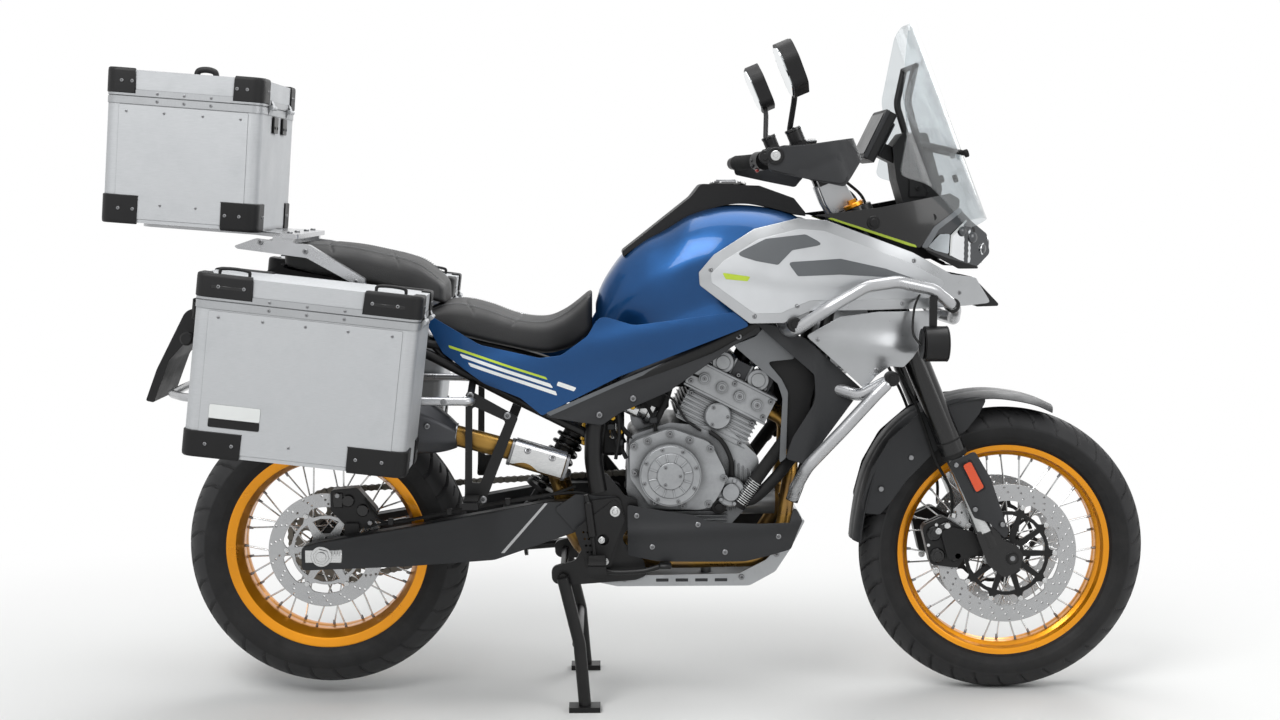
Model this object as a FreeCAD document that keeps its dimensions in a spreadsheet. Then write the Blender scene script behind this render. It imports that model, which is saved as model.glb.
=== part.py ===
import FreeCAD, Part
import math
import os
import Sketcher
from FreeCAD import Placement, Rotation, Vector

# Adventure motorcycle on its centre stand.
# Frame: +X forward, +Y to the rider's left, +Z up, floor at Z = 0, X = 0 at the middle of the length.

doc = FreeCAD.newDocument("adventure_motorcycle")
sheet = doc.addObject("Spreadsheet::Sheet", "Dims")

# Driving dimensions in millimetres, angles in degrees
DIMENSIONS = {
    # Running gear
    "wheelbase": 1548,
    "front_axle_x": 834,
    "rear_tyre_lift": 25,
    "front_tyre_radius": 330,
    "front_tyre_width": 110,
    "front_seat_radius": 241,
    "front_rim_width": 68,
    "rear_tyre_radius": 321,
    "rear_tyre_width": 150,
    "rear_seat_radius": 216,
    "rear_rim_width": 112,
    "flange_height": 14,
    "rim_wall": 5,
    "rim_well_depth": 17,
    "tyre_fit": 0.3,
    "spoke_radius": 2.2,
    "spoke_pairs": 18,
    "hub_shell_radius": 26,
    "hub_flange_radius": 44,
    "hub_flange_wall": 6,
    "front_hub_width": 120,
    "rear_hub_width": 130,
    "axle_radius": 10,
    "axle_bore_radius": 6,
    "axle_running_fit": 0.05,
    "front_disc_radius": 160,
    "rear_disc_radius": 130,
    "disc_wall": 5,
    "disc_track": 36,
    "front_disc_y": 66,
    "rear_disc_y": 72,
    "rear_sprocket_radius": 100,
    "front_sprocket_radius": 36,
    "front_sprocket_x": 25,
    "front_sprocket_z": 452,
    "chain_y": 90,
    "chain_width": 16,
    "chain_height": 16,
    "chain_pitch": 15.9,
    "roller_radius": 4.5,
    # Steering and fork
    "rake_angle": 22.8,
    "leg_lead": 31,
    "stem_offset": 43,
    "leg_half_spacing": 105,
    "stanchion_radius": 21.5,
    "fork_tube_radius": 28,
    "fork_tube_base": 268,
    "fork_tube_top": 868,
    "axle_holder_half": 19,
    "lower_clamp_z": 640,
    "upper_clamp_z": 838,
    "clamp_height": 28,
    "stem_radius": 14,
    "head_tube_radius": 31,
    "head_tube_bore": 22,
    "bearing_fit": 0.3,
    # Swingarm
    "pivot_x": -70,
    "pivot_z": 444,
    "arm_inner_y": 103,
    "arm_width": 30,
    "plate_clearance": 1.5,
    "plate_wall": 12,
    # Stands
    "stand_pivot_x": -178,
    "stand_pivot_z": 300,
    "stand_leg_y": 164,
    "stand_tube_radius": 14,
    "stand_foot_lead": 53,
    # Cases
    "pannier_length": 446,
    "pannier_width": 240,
    "pannier_height": 362,
    "pannier_lid_height": 50,
    "pannier_tilt": 6.5,
    "pannier_inner_y": 250,
    "pannier_rear_x": -933,
    "pannier_base_z": 632,
    "case_wall": 2.5,
    "case_corner_radius": 22,
    "lid_gap": 0.5,
    "hinge_offset": 7,
    "hinge_radius": 5,
    "hinge_pin": 2.5,
    "pin_fit": 0.1,
    "hinge_half": 26,
    "knuckle_gap": 0.3,
    "top_case_length": 330,
    "top_case_width": 390,
    "top_case_height": 324,
    "top_case_lid_height": 56,
    "top_case_tilt": 4.3,
    "top_case_rear_x": -1163,
    "top_case_base_z": 1092,
    # Panels
    "accessory_bar_radius": 6,
    "accessory_bar_x": 606,
    "accessory_bar_z": 1430,
    "panel_wall": 5,
    "cover_wall": 3,
}


class Size:
    """A length that carries its value and the sheet formula it comes from."""

    def __init__(self, value, formula=None):
        self.value = float(value)
        self.formula = formula or repr(float(value))

    def __float__(self):
        return self.value

    def __add__(self, other):
        other = as_size(other)
        return Size(self.value + other.value, "(%s + %s)" % (self.formula, other.formula))

    def __sub__(self, other):
        other = as_size(other)
        return Size(self.value - other.value, "(%s - %s)" % (self.formula, other.formula))

    def __mul__(self, other):
        other = as_size(other)
        return Size(self.value * other.value, "(%s * %s)" % (self.formula, other.formula))

    def __truediv__(self, other):
        other = as_size(other)
        return Size(self.value / other.value, "(%s / %s)" % (self.formula, other.formula))

    def __radd__(self, other):
        return as_size(other) + self

    def __rsub__(self, other):
        return as_size(other) - self

    def __rmul__(self, other):
        return as_size(other) * self

    def __neg__(self):
        return Size(-self.value, "(0 - %s)" % self.formula)


def as_size(value):
    return value if isinstance(value, Size) else Size(value)


class Dimensions:
    """The sheet's cells, each as a Size."""


dims = Dimensions()
for row, (alias, value) in enumerate(DIMENSIONS.items(), start=1):
    sheet.set("A%d" % row, alias.replace("_", " "))
    sheet.set("B%d" % row, str(value))
    sheet.setAlias("B%d" % row, alias)
    setattr(dims, alias, Size(value, "Dims." + alias))
doc.recompute()

NODES = []


# Helpers: documents objects whose sizes are bound to the sheet
def bind(thing, prop, size):
    """Set a property from a size and keep the sheet's formula on it."""
    size = as_size(size)
    thing.setExpression(prop, size.formula)


def node(thing):
    """Mark an object as one sub-part; its label names its file."""
    NODES.append(thing)
    return thing


def new_body(name):
    body = doc.addObject("PartDesign::Body", name)
    body.Label = name
    return body


def origin_plane(body, role):
    return [feature for feature in body.Origin.OriginFeatures if feature.Role == role][0]


def corner_points(before, corner, after, radius):
    """Start, middle, end of the round that touches both sides of a corner."""
    back = (before - corner).normalize()
    ahead = (after - corner).normalize()
    half = back.getAngle(ahead) / 2
    reach = radius / math.tan(half)
    middle_line = (back + ahead).normalize()
    centre = corner + middle_line * (radius / math.sin(half))
    return corner + back * reach, centre - middle_line * radius, corner + ahead * reach


def closed_outline(sketch, outline):
    """Draw a closed outline of (x, y) or (x, y, round) corners, each bound to its sizes."""
    corners = [tuple(as_size(part) for part in corner) for corner in outline]
    places = [Vector(corner[0].value, corner[1].value, 0) for corner in corners]
    count = len(corners)
    first = len(sketch.Geometry)
    ends = []
    arcs = []
    for index, corner in enumerate(corners):
        if len(corner) == 2:
            ends.append((places[index], places[index]))
            arcs.append(None)
            continue
        before, place, after = places[index - 1], places[index], places[(index + 1) % count]
        turn = (before - place).getAngle(after - place)
        largest = 0.48 * min((before - place).Length, (after - place).Length) * math.tan(turn / 2)
        if corner[2].value > largest:
            corners[index] = corner = (corner[0], corner[1], Size(largest))
        start, middle, end = corner_points(before, place, after, corner[2].value)
        ends.append((start, end))
        left_turn = (place - before).cross(after - place).z > 0
        arcs.append((Part.Arc(start, middle, end), 1) if left_turn else (Part.Arc(end, middle, start), 2))
    for place in places:
        sketch.addGeometry(Part.Point(place), True)
    for index in range(count):
        sketch.addGeometry(Part.LineSegment(ends[index][1], ends[(index + 1) % count][0]), False)
    arc_ids = {}
    for index, arc in enumerate(arcs):
        if arc is not None:
            arc_ids[index] = sketch.addGeometry(arc[0], False)
    for index, corner in enumerate(corners):
        point = first + index
        line_in = first + count + (index - 1) % count
        line_out = first + count + index
        for kind, size in (("DistanceX", corner[0]), ("DistanceY", corner[1])):
            constraint = sketch.addConstraint(Sketcher.Constraint(kind, -1, 1, point, 1, size.value))
            sketch.setExpression("Constraints[%d]" % constraint, size.formula)
        if index not in arc_ids:
            sketch.addConstraint(Sketcher.Constraint("Coincident", line_in, 2, point, 1))
            sketch.addConstraint(Sketcher.Constraint("Coincident", line_out, 1, point, 1))
            continue
        arc = arc_ids[index]
        start_end = arcs[index][1]
        sketch.addConstraint(Sketcher.Constraint("Tangent", line_in, 2, arc, start_end))
        sketch.addConstraint(Sketcher.Constraint("Tangent", line_out, 1, arc, 3 - start_end))
        constraint = sketch.addConstraint(Sketcher.Constraint("Radius", arc, corner[2].value))
        sketch.setExpression("Constraints[%d]" % constraint, corner[2].formula)
        sketch.addConstraint(Sketcher.Constraint("PointOnObject", point, 1, line_in))
        sketch.addConstraint(Sketcher.Constraint("PointOnObject", point, 1, line_out))


def closed_circle(sketch, x, y, radius):
    """Draw a circle bound to its centre and radius."""
    x, y, radius = as_size(x), as_size(y), as_size(radius)
    circle = sketch.addGeometry(
        Part.Circle(Vector(x.value, y.value, 0), Vector(0, 0, 1), radius.value), False)
    for constraint, size in (
            (Sketcher.Constraint("DistanceX", -1, 1, circle, 3, x.value), x),
            (Sketcher.Constraint("DistanceY", -1, 1, circle, 3, y.value), y),
            (Sketcher.Constraint("Radius", circle, radius.value), radius)):
        index = sketch.addConstraint(constraint)
        sketch.setExpression("Constraints[%d]" % index, size.formula)


def new_sketch(body, role, name, outlines=(), circles=(), offset=0):
    """A sketch on one of the body's origin planes, moved along that plane's normal."""
    sketch = body.newObject("Sketcher::SketchObject", body.Name + "_" + name)
    sketch.AttachmentSupport = [(origin_plane(body, role), "")]
    sketch.MapMode = "FlatFace"
    bind(sketch, "AttachmentOffset.Base.z", offset)
    for outline in outlines:
        closed_outline(sketch, outline)
    for circle in circles:
        closed_circle(sketch, *circle)
    return sketch


def pad_side(body, name, outlines, y_low, y_high, circles=()):
    """Pad a side-view outline of (X, Z) corners from y_low to y_high."""
    sketch = new_sketch(body, "XZ_Plane", name, outlines, circles, -as_size(y_high))
    pad = body.newObject("PartDesign::Pad", body.Name + "_" + name + "_pad")
    pad.Profile = sketch
    bind(pad, "Length", as_size(y_high) - as_size(y_low))
    return pad


def cut_side(body, name, outlines, y_low, y_high, circles=()):
    """Cut a side-view outline from y_high down to y_low."""
    sketch = new_sketch(body, "XZ_Plane", name, outlines, circles, -as_size(y_high))
    pocket = body.newObject("PartDesign::Pocket", body.Name + "_" + name + "_cut")
    pocket.Profile = sketch
    pocket.Reversed = True
    bind(pocket, "Length", as_size(y_high) - as_size(y_low))
    return pocket


def pad_plan(body, name, outlines, z_low, z_high, circles=()):
    """Pad a plan-view outline of (X, Y) corners from z_low to z_high."""
    sketch = new_sketch(body, "XY_Plane", name, outlines, circles, z_low)
    pad = body.newObject("PartDesign::Pad", body.Name + "_" + name + "_pad")
    pad.Profile = sketch
    bind(pad, "Length", as_size(z_high) - as_size(z_low))
    return pad


def cut_plan(body, name, outlines, z_low, z_high, circles=()):
    """Cut a plan-view outline from z_low up to z_high."""
    sketch = new_sketch(body, "XY_Plane", name, outlines, circles, z_low)
    pocket = body.newObject("PartDesign::Pocket", body.Name + "_" + name + "_cut")
    pocket.Profile = sketch
    pocket.Reversed = True
    bind(pocket, "Length", as_size(z_high) - as_size(z_low))
    return pocket


def pad_front(body, name, outlines, x_low, x_high, circles=()):
    """Pad a front-view outline of (Y, Z) corners from x_low to x_high."""
    sketch = new_sketch(body, "YZ_Plane", name, outlines, circles, x_low)
    pad = body.newObject("PartDesign::Pad", body.Name + "_" + name + "_pad")
    pad.Profile = sketch
    bind(pad, "Length", as_size(x_high) - as_size(x_low))
    return pad


def cut_front(body, name, outlines, x_low, x_high, circles=()):
    """Cut a front-view outline from x_low up to x_high."""
    sketch = new_sketch(body, "YZ_Plane", name, outlines, circles, x_low)
    pocket = body.newObject("PartDesign::Pocket", body.Name + "_" + name + "_cut")
    pocket.Profile = sketch
    pocket.Reversed = True
    bind(pocket, "Length", as_size(x_high) - as_size(x_low))
    return pocket


def revolve(body, name, outline, groove=False):
    """Turn an outline of (axis place, radius) corners about the body's own Y axis."""
    swapped = [(corner[1], corner[0]) + tuple(corner[2:]) for corner in outline]
    sketch = new_sketch(body, "XY_Plane", name, [swapped])
    kind = "PartDesign::Groove" if groove else "PartDesign::Revolution"
    feature = body.newObject(kind, body.Name + "_" + name + "_turn")
    feature.Profile = sketch
    feature.ReferenceAxis = (sketch, ["V_Axis"])
    feature.Angle = 360
    return feature


def loft_stations(body, name, stations):
    """Loft through front-view sections, each given as (X, outline of (Y, Z) corners)."""
    sketches = []
    for index, (place, outline) in enumerate(stations):
        sketches.append(new_sketch(body, "YZ_Plane", "%s%d" % (name, index), [outline], (), place))
    loft = body.newObject("PartDesign::AdditiveLoft", body.Name + "_" + name + "_loft")
    loft.Profile = sketches[0]
    loft.Sections = sketches[1:]
    return loft


def place_at(thing, x=0, y=0, z=0, axis=(0, 1, 0), angle=None):
    """Bind an object's place, and its turn about one axis, to the sheet."""
    if angle is not None:
        thing.Placement = Placement(Vector(0, 0, 0), Rotation(Vector(*axis), 1))
        bind(thing, "Placement.Rotation.Angle", angle)
    bind(thing, "Placement.Base.x", x)
    bind(thing, "Placement.Base.y", y)
    bind(thing, "Placement.Base.z", z)
    return thing


def join(name, things):
    fused = doc.addObject("Part::MultiFuse", name)
    fused.Label = name
    fused.Shapes = things
    return fused


def gather(name, things):
    """Solids that don't touch, in one sub-part."""
    compound = doc.addObject("Part::Compound", name)
    compound.Label = name
    compound.Links = things
    return compound


def cut_from(name, base, tool):
    cut = doc.addObject("Part::Cut", name)
    cut.Label = name
    cut.Base = base
    cut.Tool = tool
    return cut


def overlap_of(name, one, other):
    common = doc.addObject("Part::Common", name)
    common.Label = name
    common.Base = one
    common.Tool = other
    return common


def mirrored(thing):
    """The same object on the other side of the centre plane."""
    mirror = doc.addObject("Part::Mirroring", thing.Name + "_mirrored")
    mirror.Source = thing
    mirror.Normal = Vector(0, 1, 0)
    return mirror


def both_sides(name, thing):
    return gather(name, [thing, mirrored(thing)])


def cylinder(name, radius, length, start, direction):
    """A round bar from a start point along a direction, its sizes bound to the sheet."""
    bar = doc.addObject("Part::Cylinder", name)
    bind(bar, "Radius", radius)
    bind(bar, "Height", length)
    bar.Placement = Placement(Vector(0, 0, 0), Rotation(Vector(0, 0, 1), Vector(*direction)))
    bind(bar, "Placement.Base.x", start[0])
    bind(bar, "Placement.Base.y", start[1])
    bind(bar, "Placement.Base.z", start[2])
    return bar


def tube_path(points, bend):
    """Straight runs joined by tangent arcs of one bend radius, limited by the runs."""
    places = [Vector(*[float(part) for part in point]) for point in points]
    edges = []
    start = places[0]
    for index in range(1, len(places) - 1):
        corner = places[index]
        back = places[index - 1] - corner
        ahead = places[index + 1] - corner
        half = back.getAngle(ahead) / 2
        longest = 0.45 * min(back.Length, ahead.Length) * math.tan(half)
        first, middle, last = corner_points(
            places[index - 1], corner, places[index + 1], min(bend, longest))
        edges.append(Part.makeLine(start, first))
        edges.append(Part.Arc(first, middle, last).toShape())
        start = last
    edges.append(Part.makeLine(start, places[-1]))
    return Part.Wire(edges)


def tube_shape(points, radius, bend):
    """A solid round tube along a path."""
    path = tube_path(points, bend)
    start = path.Edges[0].Vertexes[0].Point
    direction = path.Edges[0].tangentAt(path.Edges[0].FirstParameter)
    circle = Part.Wire([Part.makeCircle(float(radius), start, direction)])
    return path.makePipeShell([circle], True, True)


def as_feature(name, shape):
    feature = doc.addObject("Part::Feature", name)
    feature.Label = name
    feature.Shape = shape
    return feature


def mirror_shape(shape):
    return shape.mirror(Vector(0, 0, 0), Vector(0, 1, 0))


def box_between(name, low, high):
    """A box between two opposite corners, bound to the sheet."""
    low = [as_size(part) for part in low]
    high = [as_size(part) for part in high]
    box = doc.addObject("Part::Box", name)
    for prop, small, large in zip(("Length", "Width", "Height"), low, high):
        bind(box, prop, large - small)
    for axis, small in zip("xyz", low):
        bind(box, "Placement.Base." + axis, small)
    return box


# Places that several pieces share
front_axle_z = dims.front_tyre_radius
rear_axle_x = dims.front_axle_x - dims.wheelbase
rear_axle_z = dims.rear_tyre_radius + dims.rear_tyre_lift
axle_bore = dims.axle_radius + dims.axle_running_fit


def at_front_axle(thing):
    return place_at(thing, dims.front_axle_x, 0, front_axle_z)


def at_rear_axle(thing):
    return place_at(thing, rear_axle_x, 0, rear_axle_z)


def in_fork_frame(thing):
    """The fork's own frame: its origin is the front axle and its Z axis runs up the legs."""
    return place_at(thing, dims.front_axle_x, 0, front_axle_z, (0, 1, 0), -dims.rake_angle)


# Wheels
def make_tyre(name, radius, width, seat_radius, rim_width):
    half_bead = rim_width / 2 - dims.rim_wall - dims.tyre_fit
    bead = seat_radius + dims.tyre_fit
    lip = seat_radius + dims.flange_height + 2 * dims.tyre_fit
    half = [
        (half_bead, bead),
        (half_bead, lip),
        (width * 0.47, lip + 12),
        (width * 0.5, radius - 0.31 * width),
        (width * 0.44, radius - 0.15 * width),
        (width * 0.29, radius - 0.045 * width),
        (width * 0.11, radius),
    ]
    other = [(-side, height) for side, height in reversed(half)]
    tyre = new_body(name)
    revolve(tyre, "carcass", half + other)
    return node(tyre)


def make_rim(name, seat_radius, rim_width):
    half = rim_width / 2
    seat = half - dims.rim_wall
    well = half * 0.42
    slope = 5
    outer = [
        (half, seat_radius + dims.flange_height),
        (seat, seat_radius + dims.flange_height),
        (seat, seat_radius),
        (well + slope, seat_radius),
        (well, seat_radius - dims.rim_well_depth),
    ]
    inner = [
        (well, seat_radius - dims.rim_well_depth - dims.rim_wall),
        (well + slope, seat_radius - dims.rim_wall),
        (half, seat_radius - dims.rim_wall),
    ]
    outline = outer + [(-corner[0], corner[1]) for corner in reversed(outer)]
    outline += [(-corner[0], corner[1]) for corner in reversed(inner)] + inner
    rim = new_body(name)
    revolve(rim, "section", outline)
    return node(rim)


def rod_between(start, end, radius):
    """A straight rod of eight flats, which needs far fewer facets than a round one."""
    along = (end - start).normalize()
    across = along.cross(Vector(0, 1, 0)).normalize()
    rise = along.cross(across)
    corners = []
    for index in range(9):
        turn = math.radians(45 * index)
        corners.append(start + across * (radius * math.cos(turn)) + rise * (radius * math.sin(turn)))
    return Part.Face(Part.makePolygon(corners)).extrude(end - start)


def make_hub(name, hub_width, flange_y, rim_inner_radius, rim_reach):
    outer_flange = flange_y + dims.hub_flange_wall
    shoulder = dims.hub_shell_radius * 0.8
    outline = [
        (hub_width / 2, axle_bore),
        (hub_width / 2, shoulder),
        (outer_flange, shoulder),
        (outer_flange, dims.hub_flange_radius),
        (flange_y, dims.hub_flange_radius),
        (flange_y, dims.hub_shell_radius),
    ]
    outline = outline + [(-corner[0], corner[1]) for corner in reversed(outline)]
    shell = new_body(name + "_shell")
    revolve(shell, "section", outline)
    doc.recompute()
    spokes = []
    count = int(2 * float(dims.spoke_pairs))
    radius = float(dims.spoke_radius)
    hole_circle = float(dims.hub_flange_radius) - 2 * radius
    rim_end = float(rim_inner_radius) - 2 * float(dims.tyre_fit)
    flange_middle = float(flange_y) + float(dims.hub_flange_wall) / 2
    step_out = float(dims.hub_flange_wall) / 2 + 0.5 * radius
    for index in range(count):
        side = 1 if index % 2 else -1
        lean = 1 if (index // 2) % 2 else -1
        rim_angle = 2 * math.pi * index / count
        hub_angle = rim_angle + lean * math.radians(52)
        start = Vector(
            hole_circle * math.cos(hub_angle), side * (flange_middle + lean * step_out),
            hole_circle * math.sin(hub_angle))
        end = Vector(rim_end * math.cos(rim_angle), side * float(rim_reach), rim_end * math.sin(rim_angle))
        spokes.append(rod_between(start, end, radius))
    return node(as_feature(name, shell.Shape.fuse(spokes)))


def make_disc(name, radius, y_low, seat_y):
    """A brake disc on the right side, with its carrier seated on the hub's end."""
    disc = new_body(name)
    y_high = y_low + dims.disc_wall
    pad_side(disc, "ring", [], y_low, y_high, [(0, 0, radius)])
    pad_side(disc, "seat", [], y_high, seat_y, [(0, 0, dims.hub_flange_radius)])
    cut_side(disc, "bore", [], y_low, seat_y, [(0, 0, axle_bore * 1.4)])
    inner = radius - dims.disc_track
    window = [
        (dims.hub_flange_radius * 1.15, -9, 3),
        (inner * 0.92, -0.34 * inner, 5),
        (inner * 0.92, 0.34 * inner, 5),
        (dims.hub_flange_radius * 1.15, 9, 3),
    ]
    cut = cut_side(disc, "window", [window], y_low, y_high)
    pattern = disc.newObject("PartDesign::PolarPattern", disc.Name + "_windows")
    pattern.Originals = [cut]
    pattern.Axis = (origin_axis(disc, "Y_Axis"), [""])
    pattern.Angle = 360
    pattern.Occurrences = 6
    disc.Tip = pattern
    return disc


def origin_axis(body, role):
    return [feature for feature in body.Origin.OriginFeatures if feature.Role == role][0]


def make_wheels():
    front_inner = dims.front_seat_radius - dims.rim_well_depth - dims.rim_wall
    rear_inner = dims.rear_seat_radius - dims.rim_well_depth - dims.rim_wall
    front_flange = dims.front_hub_width / 2 - 24
    rear_flange = dims.rear_hub_width / 2 - 28
    at_front_axle(make_tyre(
        "front_tyre", dims.front_tyre_radius, dims.front_tyre_width,
        dims.front_seat_radius, dims.front_rim_width))
    at_rear_axle(make_tyre(
        "rear_tyre", dims.rear_tyre_radius, dims.rear_tyre_width,
        dims.rear_seat_radius, dims.rear_rim_width))
    at_front_axle(make_rim("front_rim", dims.front_seat_radius, dims.front_rim_width))
    at_rear_axle(make_rim("rear_rim", dims.rear_seat_radius, dims.rear_rim_width))
    at_front_axle(make_hub("front_hub", dims.front_hub_width, front_flange, front_inner, 9))
    at_rear_axle(make_hub("rear_hub", dims.rear_hub_width, rear_flange, rear_inner, 16))
    front_disc = make_disc(
        "front_disc_right", dims.front_disc_radius, -dims.front_disc_y - dims.disc_wall,
        -dims.front_hub_width / 2)
    at_front_axle(node(both_sides("front_discs", front_disc)))
    at_rear_axle(node(make_disc(
        "rear_disc", dims.rear_disc_radius, -dims.rear_disc_y - dims.disc_wall,
        -dims.rear_hub_width / 2)))
    sprocket = node(new_body("rear_sprocket"))
    half = 3
    pad_side(sprocket, "plate", [], dims.chain_y - half, dims.chain_y + half,
             [(0, 0, dims.rear_sprocket_radius)])
    pad_side(sprocket, "carrier", [], dims.rear_hub_width / 2, dims.chain_y - half,
             [(0, 0, dims.hub_flange_radius * 1.2)])
    cut_side(sprocket, "bore", [], dims.rear_hub_width / 2, dims.chain_y + half,
             [(0, 0, axle_bore * 1.4)])
    hole = cut_side(sprocket, "hole", [], dims.chain_y - half, dims.chain_y + half,
                    [(dims.rear_sprocket_radius * 0.72, 0, 13)])
    pattern = sprocket.newObject("PartDesign::PolarPattern", "rear_sprocket_holes")
    pattern.Originals = [hole]
    pattern.Axis = (origin_axis(sprocket, "Y_Axis"), [""])
    pattern.Angle = 360
    pattern.Occurrences = 6
    sprocket.Tip = pattern
    tooth_gap = cut_side(sprocket, "tooth_gap", [], dims.chain_y - half, dims.chain_y + half,
                         [(dims.rear_sprocket_radius + 1, 0, dims.roller_radius)])
    teeth = sprocket.newObject("PartDesign::PolarPattern", "rear_sprocket_teeth")
    teeth.Originals = [tooth_gap]
    teeth.Axis = (origin_axis(sprocket, "Y_Axis"), [""])
    teeth.Angle = 360
    teeth.Occurrences = int(round(2 * math.pi * float(dims.rear_sprocket_radius) / float(dims.chain_pitch)))
    sprocket.Tip = teeth
    at_rear_axle(sprocket)


# Steering: everything here is drawn in the fork's own frame
def make_fork():
    leg_y = dims.leg_half_spacing
    lead = -dims.leg_lead
    tube = cylinder("fork_outer_tube", dims.fork_tube_radius, dims.fork_tube_top - dims.fork_tube_base,
                    (lead, -leg_y, dims.fork_tube_base), (0, 0, 1))
    stanchion = cylinder("fork_stanchion", dims.stanchion_radius, dims.fork_tube_base - 20,
                         (lead, -leg_y, 40), (0, 0, 1))
    holder = new_body("fork_axle_holder")
    half = dims.axle_holder_half
    pad_side(holder, "side", [[
        (lead - 24, 84, 6), (lead - 26, 8, 12), (lead - 2, -36, 16), (6, -32, 14), (26, -4, 14),
        (20, 22, 10), (lead + 26, 48, 10), (lead + 24, 84, 6)]], -leg_y - half, -leg_y + half)
    right = join("fork_leg_right", [tube, stanchion, holder])
    axle_end = leg_y + half + 4
    axle = cylinder("front_axle_bar", dims.axle_radius, axle_end * 2, (0, -axle_end, 0), (0, 1, 0))
    solid = join("fork_legs_solid", [right, mirrored(right), axle])
    bore = cylinder("front_axle_bore", dims.axle_bore_radius, axle_end * 2 + 2,
                    (0, -axle_end - 1, 0), (0, 1, 0))
    in_fork_frame(node(cut_from("fork_legs", solid, bore)))
    return right


def make_clamps():
    leg_y = dims.leg_half_spacing
    lead = -dims.leg_lead
    stem_x = -dims.stem_offset
    hole = dims.fork_tube_radius
    plates = []
    for name, base in (("lower_clamp", dims.lower_clamp_z), ("upper_clamp", dims.upper_clamp_z)):
        plate = new_body(name)
        pad_plan(plate, "plate", [[
            (lead - hole - 9, -leg_y - 26, 22), (lead + hole + 9, -leg_y - 26, 22),
            (lead + hole + 9, -leg_y + 26, 22), (stem_x + 26, 0, 60), (lead + hole + 9, leg_y - 26, 22),
            (lead + hole + 9, leg_y + 26, 22), (lead - hole - 9, leg_y + 26, 22),
            (stem_x - 40, 30, 20), (stem_x - 40, -30, 20)]], base, base + dims.clamp_height)
        cut_plan(plate, "legs", [], base, base + dims.clamp_height,
                 [(lead, -leg_y, hole), (lead, leg_y, hole)])
        plates.append(plate)
    stem = cylinder("steering_stem", dims.stem_radius,
                    dims.upper_clamp_z - dims.lower_clamp_z, (stem_x, 0, dims.lower_clamp_z), (0, 0, 1))
    race_radius = dims.head_tube_bore - dims.bearing_fit
    race_height = 22
    lower_race = cylinder("lower_bearing", race_radius, race_height,
                          (stem_x, 0, dims.lower_clamp_z + dims.clamp_height), (0, 0, 1))
    upper_race = cylinder("upper_bearing", race_radius, race_height,
                          (stem_x, 0, dims.upper_clamp_z - race_height), (0, 0, 1))
    in_fork_frame(node(join("triple_clamps", plates + [stem, lower_race, upper_race])))


def make_handlebar():
    top = dims.upper_clamp_z + dims.clamp_height
    riser = new_body("bar_riser")
    pad_side(riser, "side", [[
        (-74, top, 3), (-18, top, 3), (-26, top + 60, 20), (-32, top + 96, 10), (-56, top + 108, 14),
        (-78, top + 100, 10), (-78, top + 74, 10)]], -56, -30)
    right = [(-55, 0, top + 85), (-55, -62, top + 85), (-46, -150, top + 132), (-144, -290, top + 168),
             (-198, -424, top + 185)]
    left = [(x, -y, z) for x, y, z in reversed(right)]
    bar = tube_shape(right[::-1][:-1] + left[1:], 11, 60)
    grips = []
    for side in (-1, 1):
        inner = Vector(-152, side * 305, float(top + 170))
        outer = Vector(-197, side * 424, float(top + 185))
        grips.append(Part.makeCylinder(17, (outer - inner).Length, inner, outer - inner))
        switch = inner + (inner - outer).normalize() * 34
        grips.append(Part.makeCylinder(23, 34, switch, outer - inner))
        perch = switch + Vector(22, side * -12, 4)
        reservoir = Part.makeCylinder(17, 34, perch + Vector(8, 0, 8), Vector(0, 0, 1))
        master = Part.makeCylinder(13, 62, perch + Vector(6, side * 16, 6), Vector(0, side * -1, 0.1))
        lever = tube_shape([
            tuple(perch + Vector(4, side * 8, 6)), tuple(perch + Vector(34, side * 34, 2)),
            tuple(perch + Vector(28, side * 100, 6)), tuple(perch + Vector(0, side * 168, 14))], 5.5, 30)
        grips += [reservoir, master, lever]
    controls = as_feature("bar_and_grips", bar.fuse(grips))
    handlebar = join("handlebar_solid", [riser, mirrored(riser), controls])
    in_fork_frame(node(gather("handlebar", [handlebar])))
    return handlebar


def make_handguards(handlebar):
    guard = new_body("handguard_plan")
    top = dims.upper_clamp_z + dims.clamp_height
    pad_plan(guard, "strip", [[
        (-205, -442, 8), (-150, -452, 10), (-60, -440, 20), (-18, -400, 40), (-10, -300, 40), (-30, -215, 6),
        (-36, -218, 5), (-17, -300, 36), (-25, -396, 36), (-66, -434, 18), (-150, -446, 10),
        (-205, -436, 2)]], top + 66, top + 206)
    side = new_body("handguard_side")
    pad_side(side, "outline", [[
        (-206, top + 158, 8), (-196, top + 205, 10), (-110, top + 176, 20), (-10, top + 150, 10),
        (-8, top + 112, 10), (-78, top + 70, 10), (-140, top + 112, 30), (-206, top + 160, 8)][:-1]],
        -460, -200)
    panel = overlap_of("handguard_shell", guard, side)
    inner_stay = cylinder("handguard_inner_stay", 7, 72, (-92, -214, top + 150), (62, -3, -30))
    outer_stay = cylinder("handguard_outer_stay", 9, 20, (-196, -418, top + 184), (-2, -20, 0))
    stayed = join("handguard_stayed", [panel, inner_stay, outer_stay])
    in_fork_frame(node(both_sides("handguards", cut_from("handguard_right", stayed, handlebar))))


def make_mirrors(handlebar):
    glass = new_body("mirror_housing")
    pad_front(glass, "face", [[
        (-300, 1150, 20), (-300, 1225, 30), (-330, 1258, 26), (-400, 1252, 24), (-418, 1215, 24),
        (-404, 1160, 20), (-350, 1138, 20)]], -92, -60)
    stem = as_feature("mirror_stem", tube_shape(
        [(-118, -250, 1036), (-118, -262, 1080), (-92, -300, 1130), (-76, -340, 1168)], 6, 30))
    right = join("mirror_joined", [glass, stem])
    fitted = cut_from("mirror_right", right, handlebar)
    in_fork_frame(node(both_sides("mirrors", fitted)))


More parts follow.
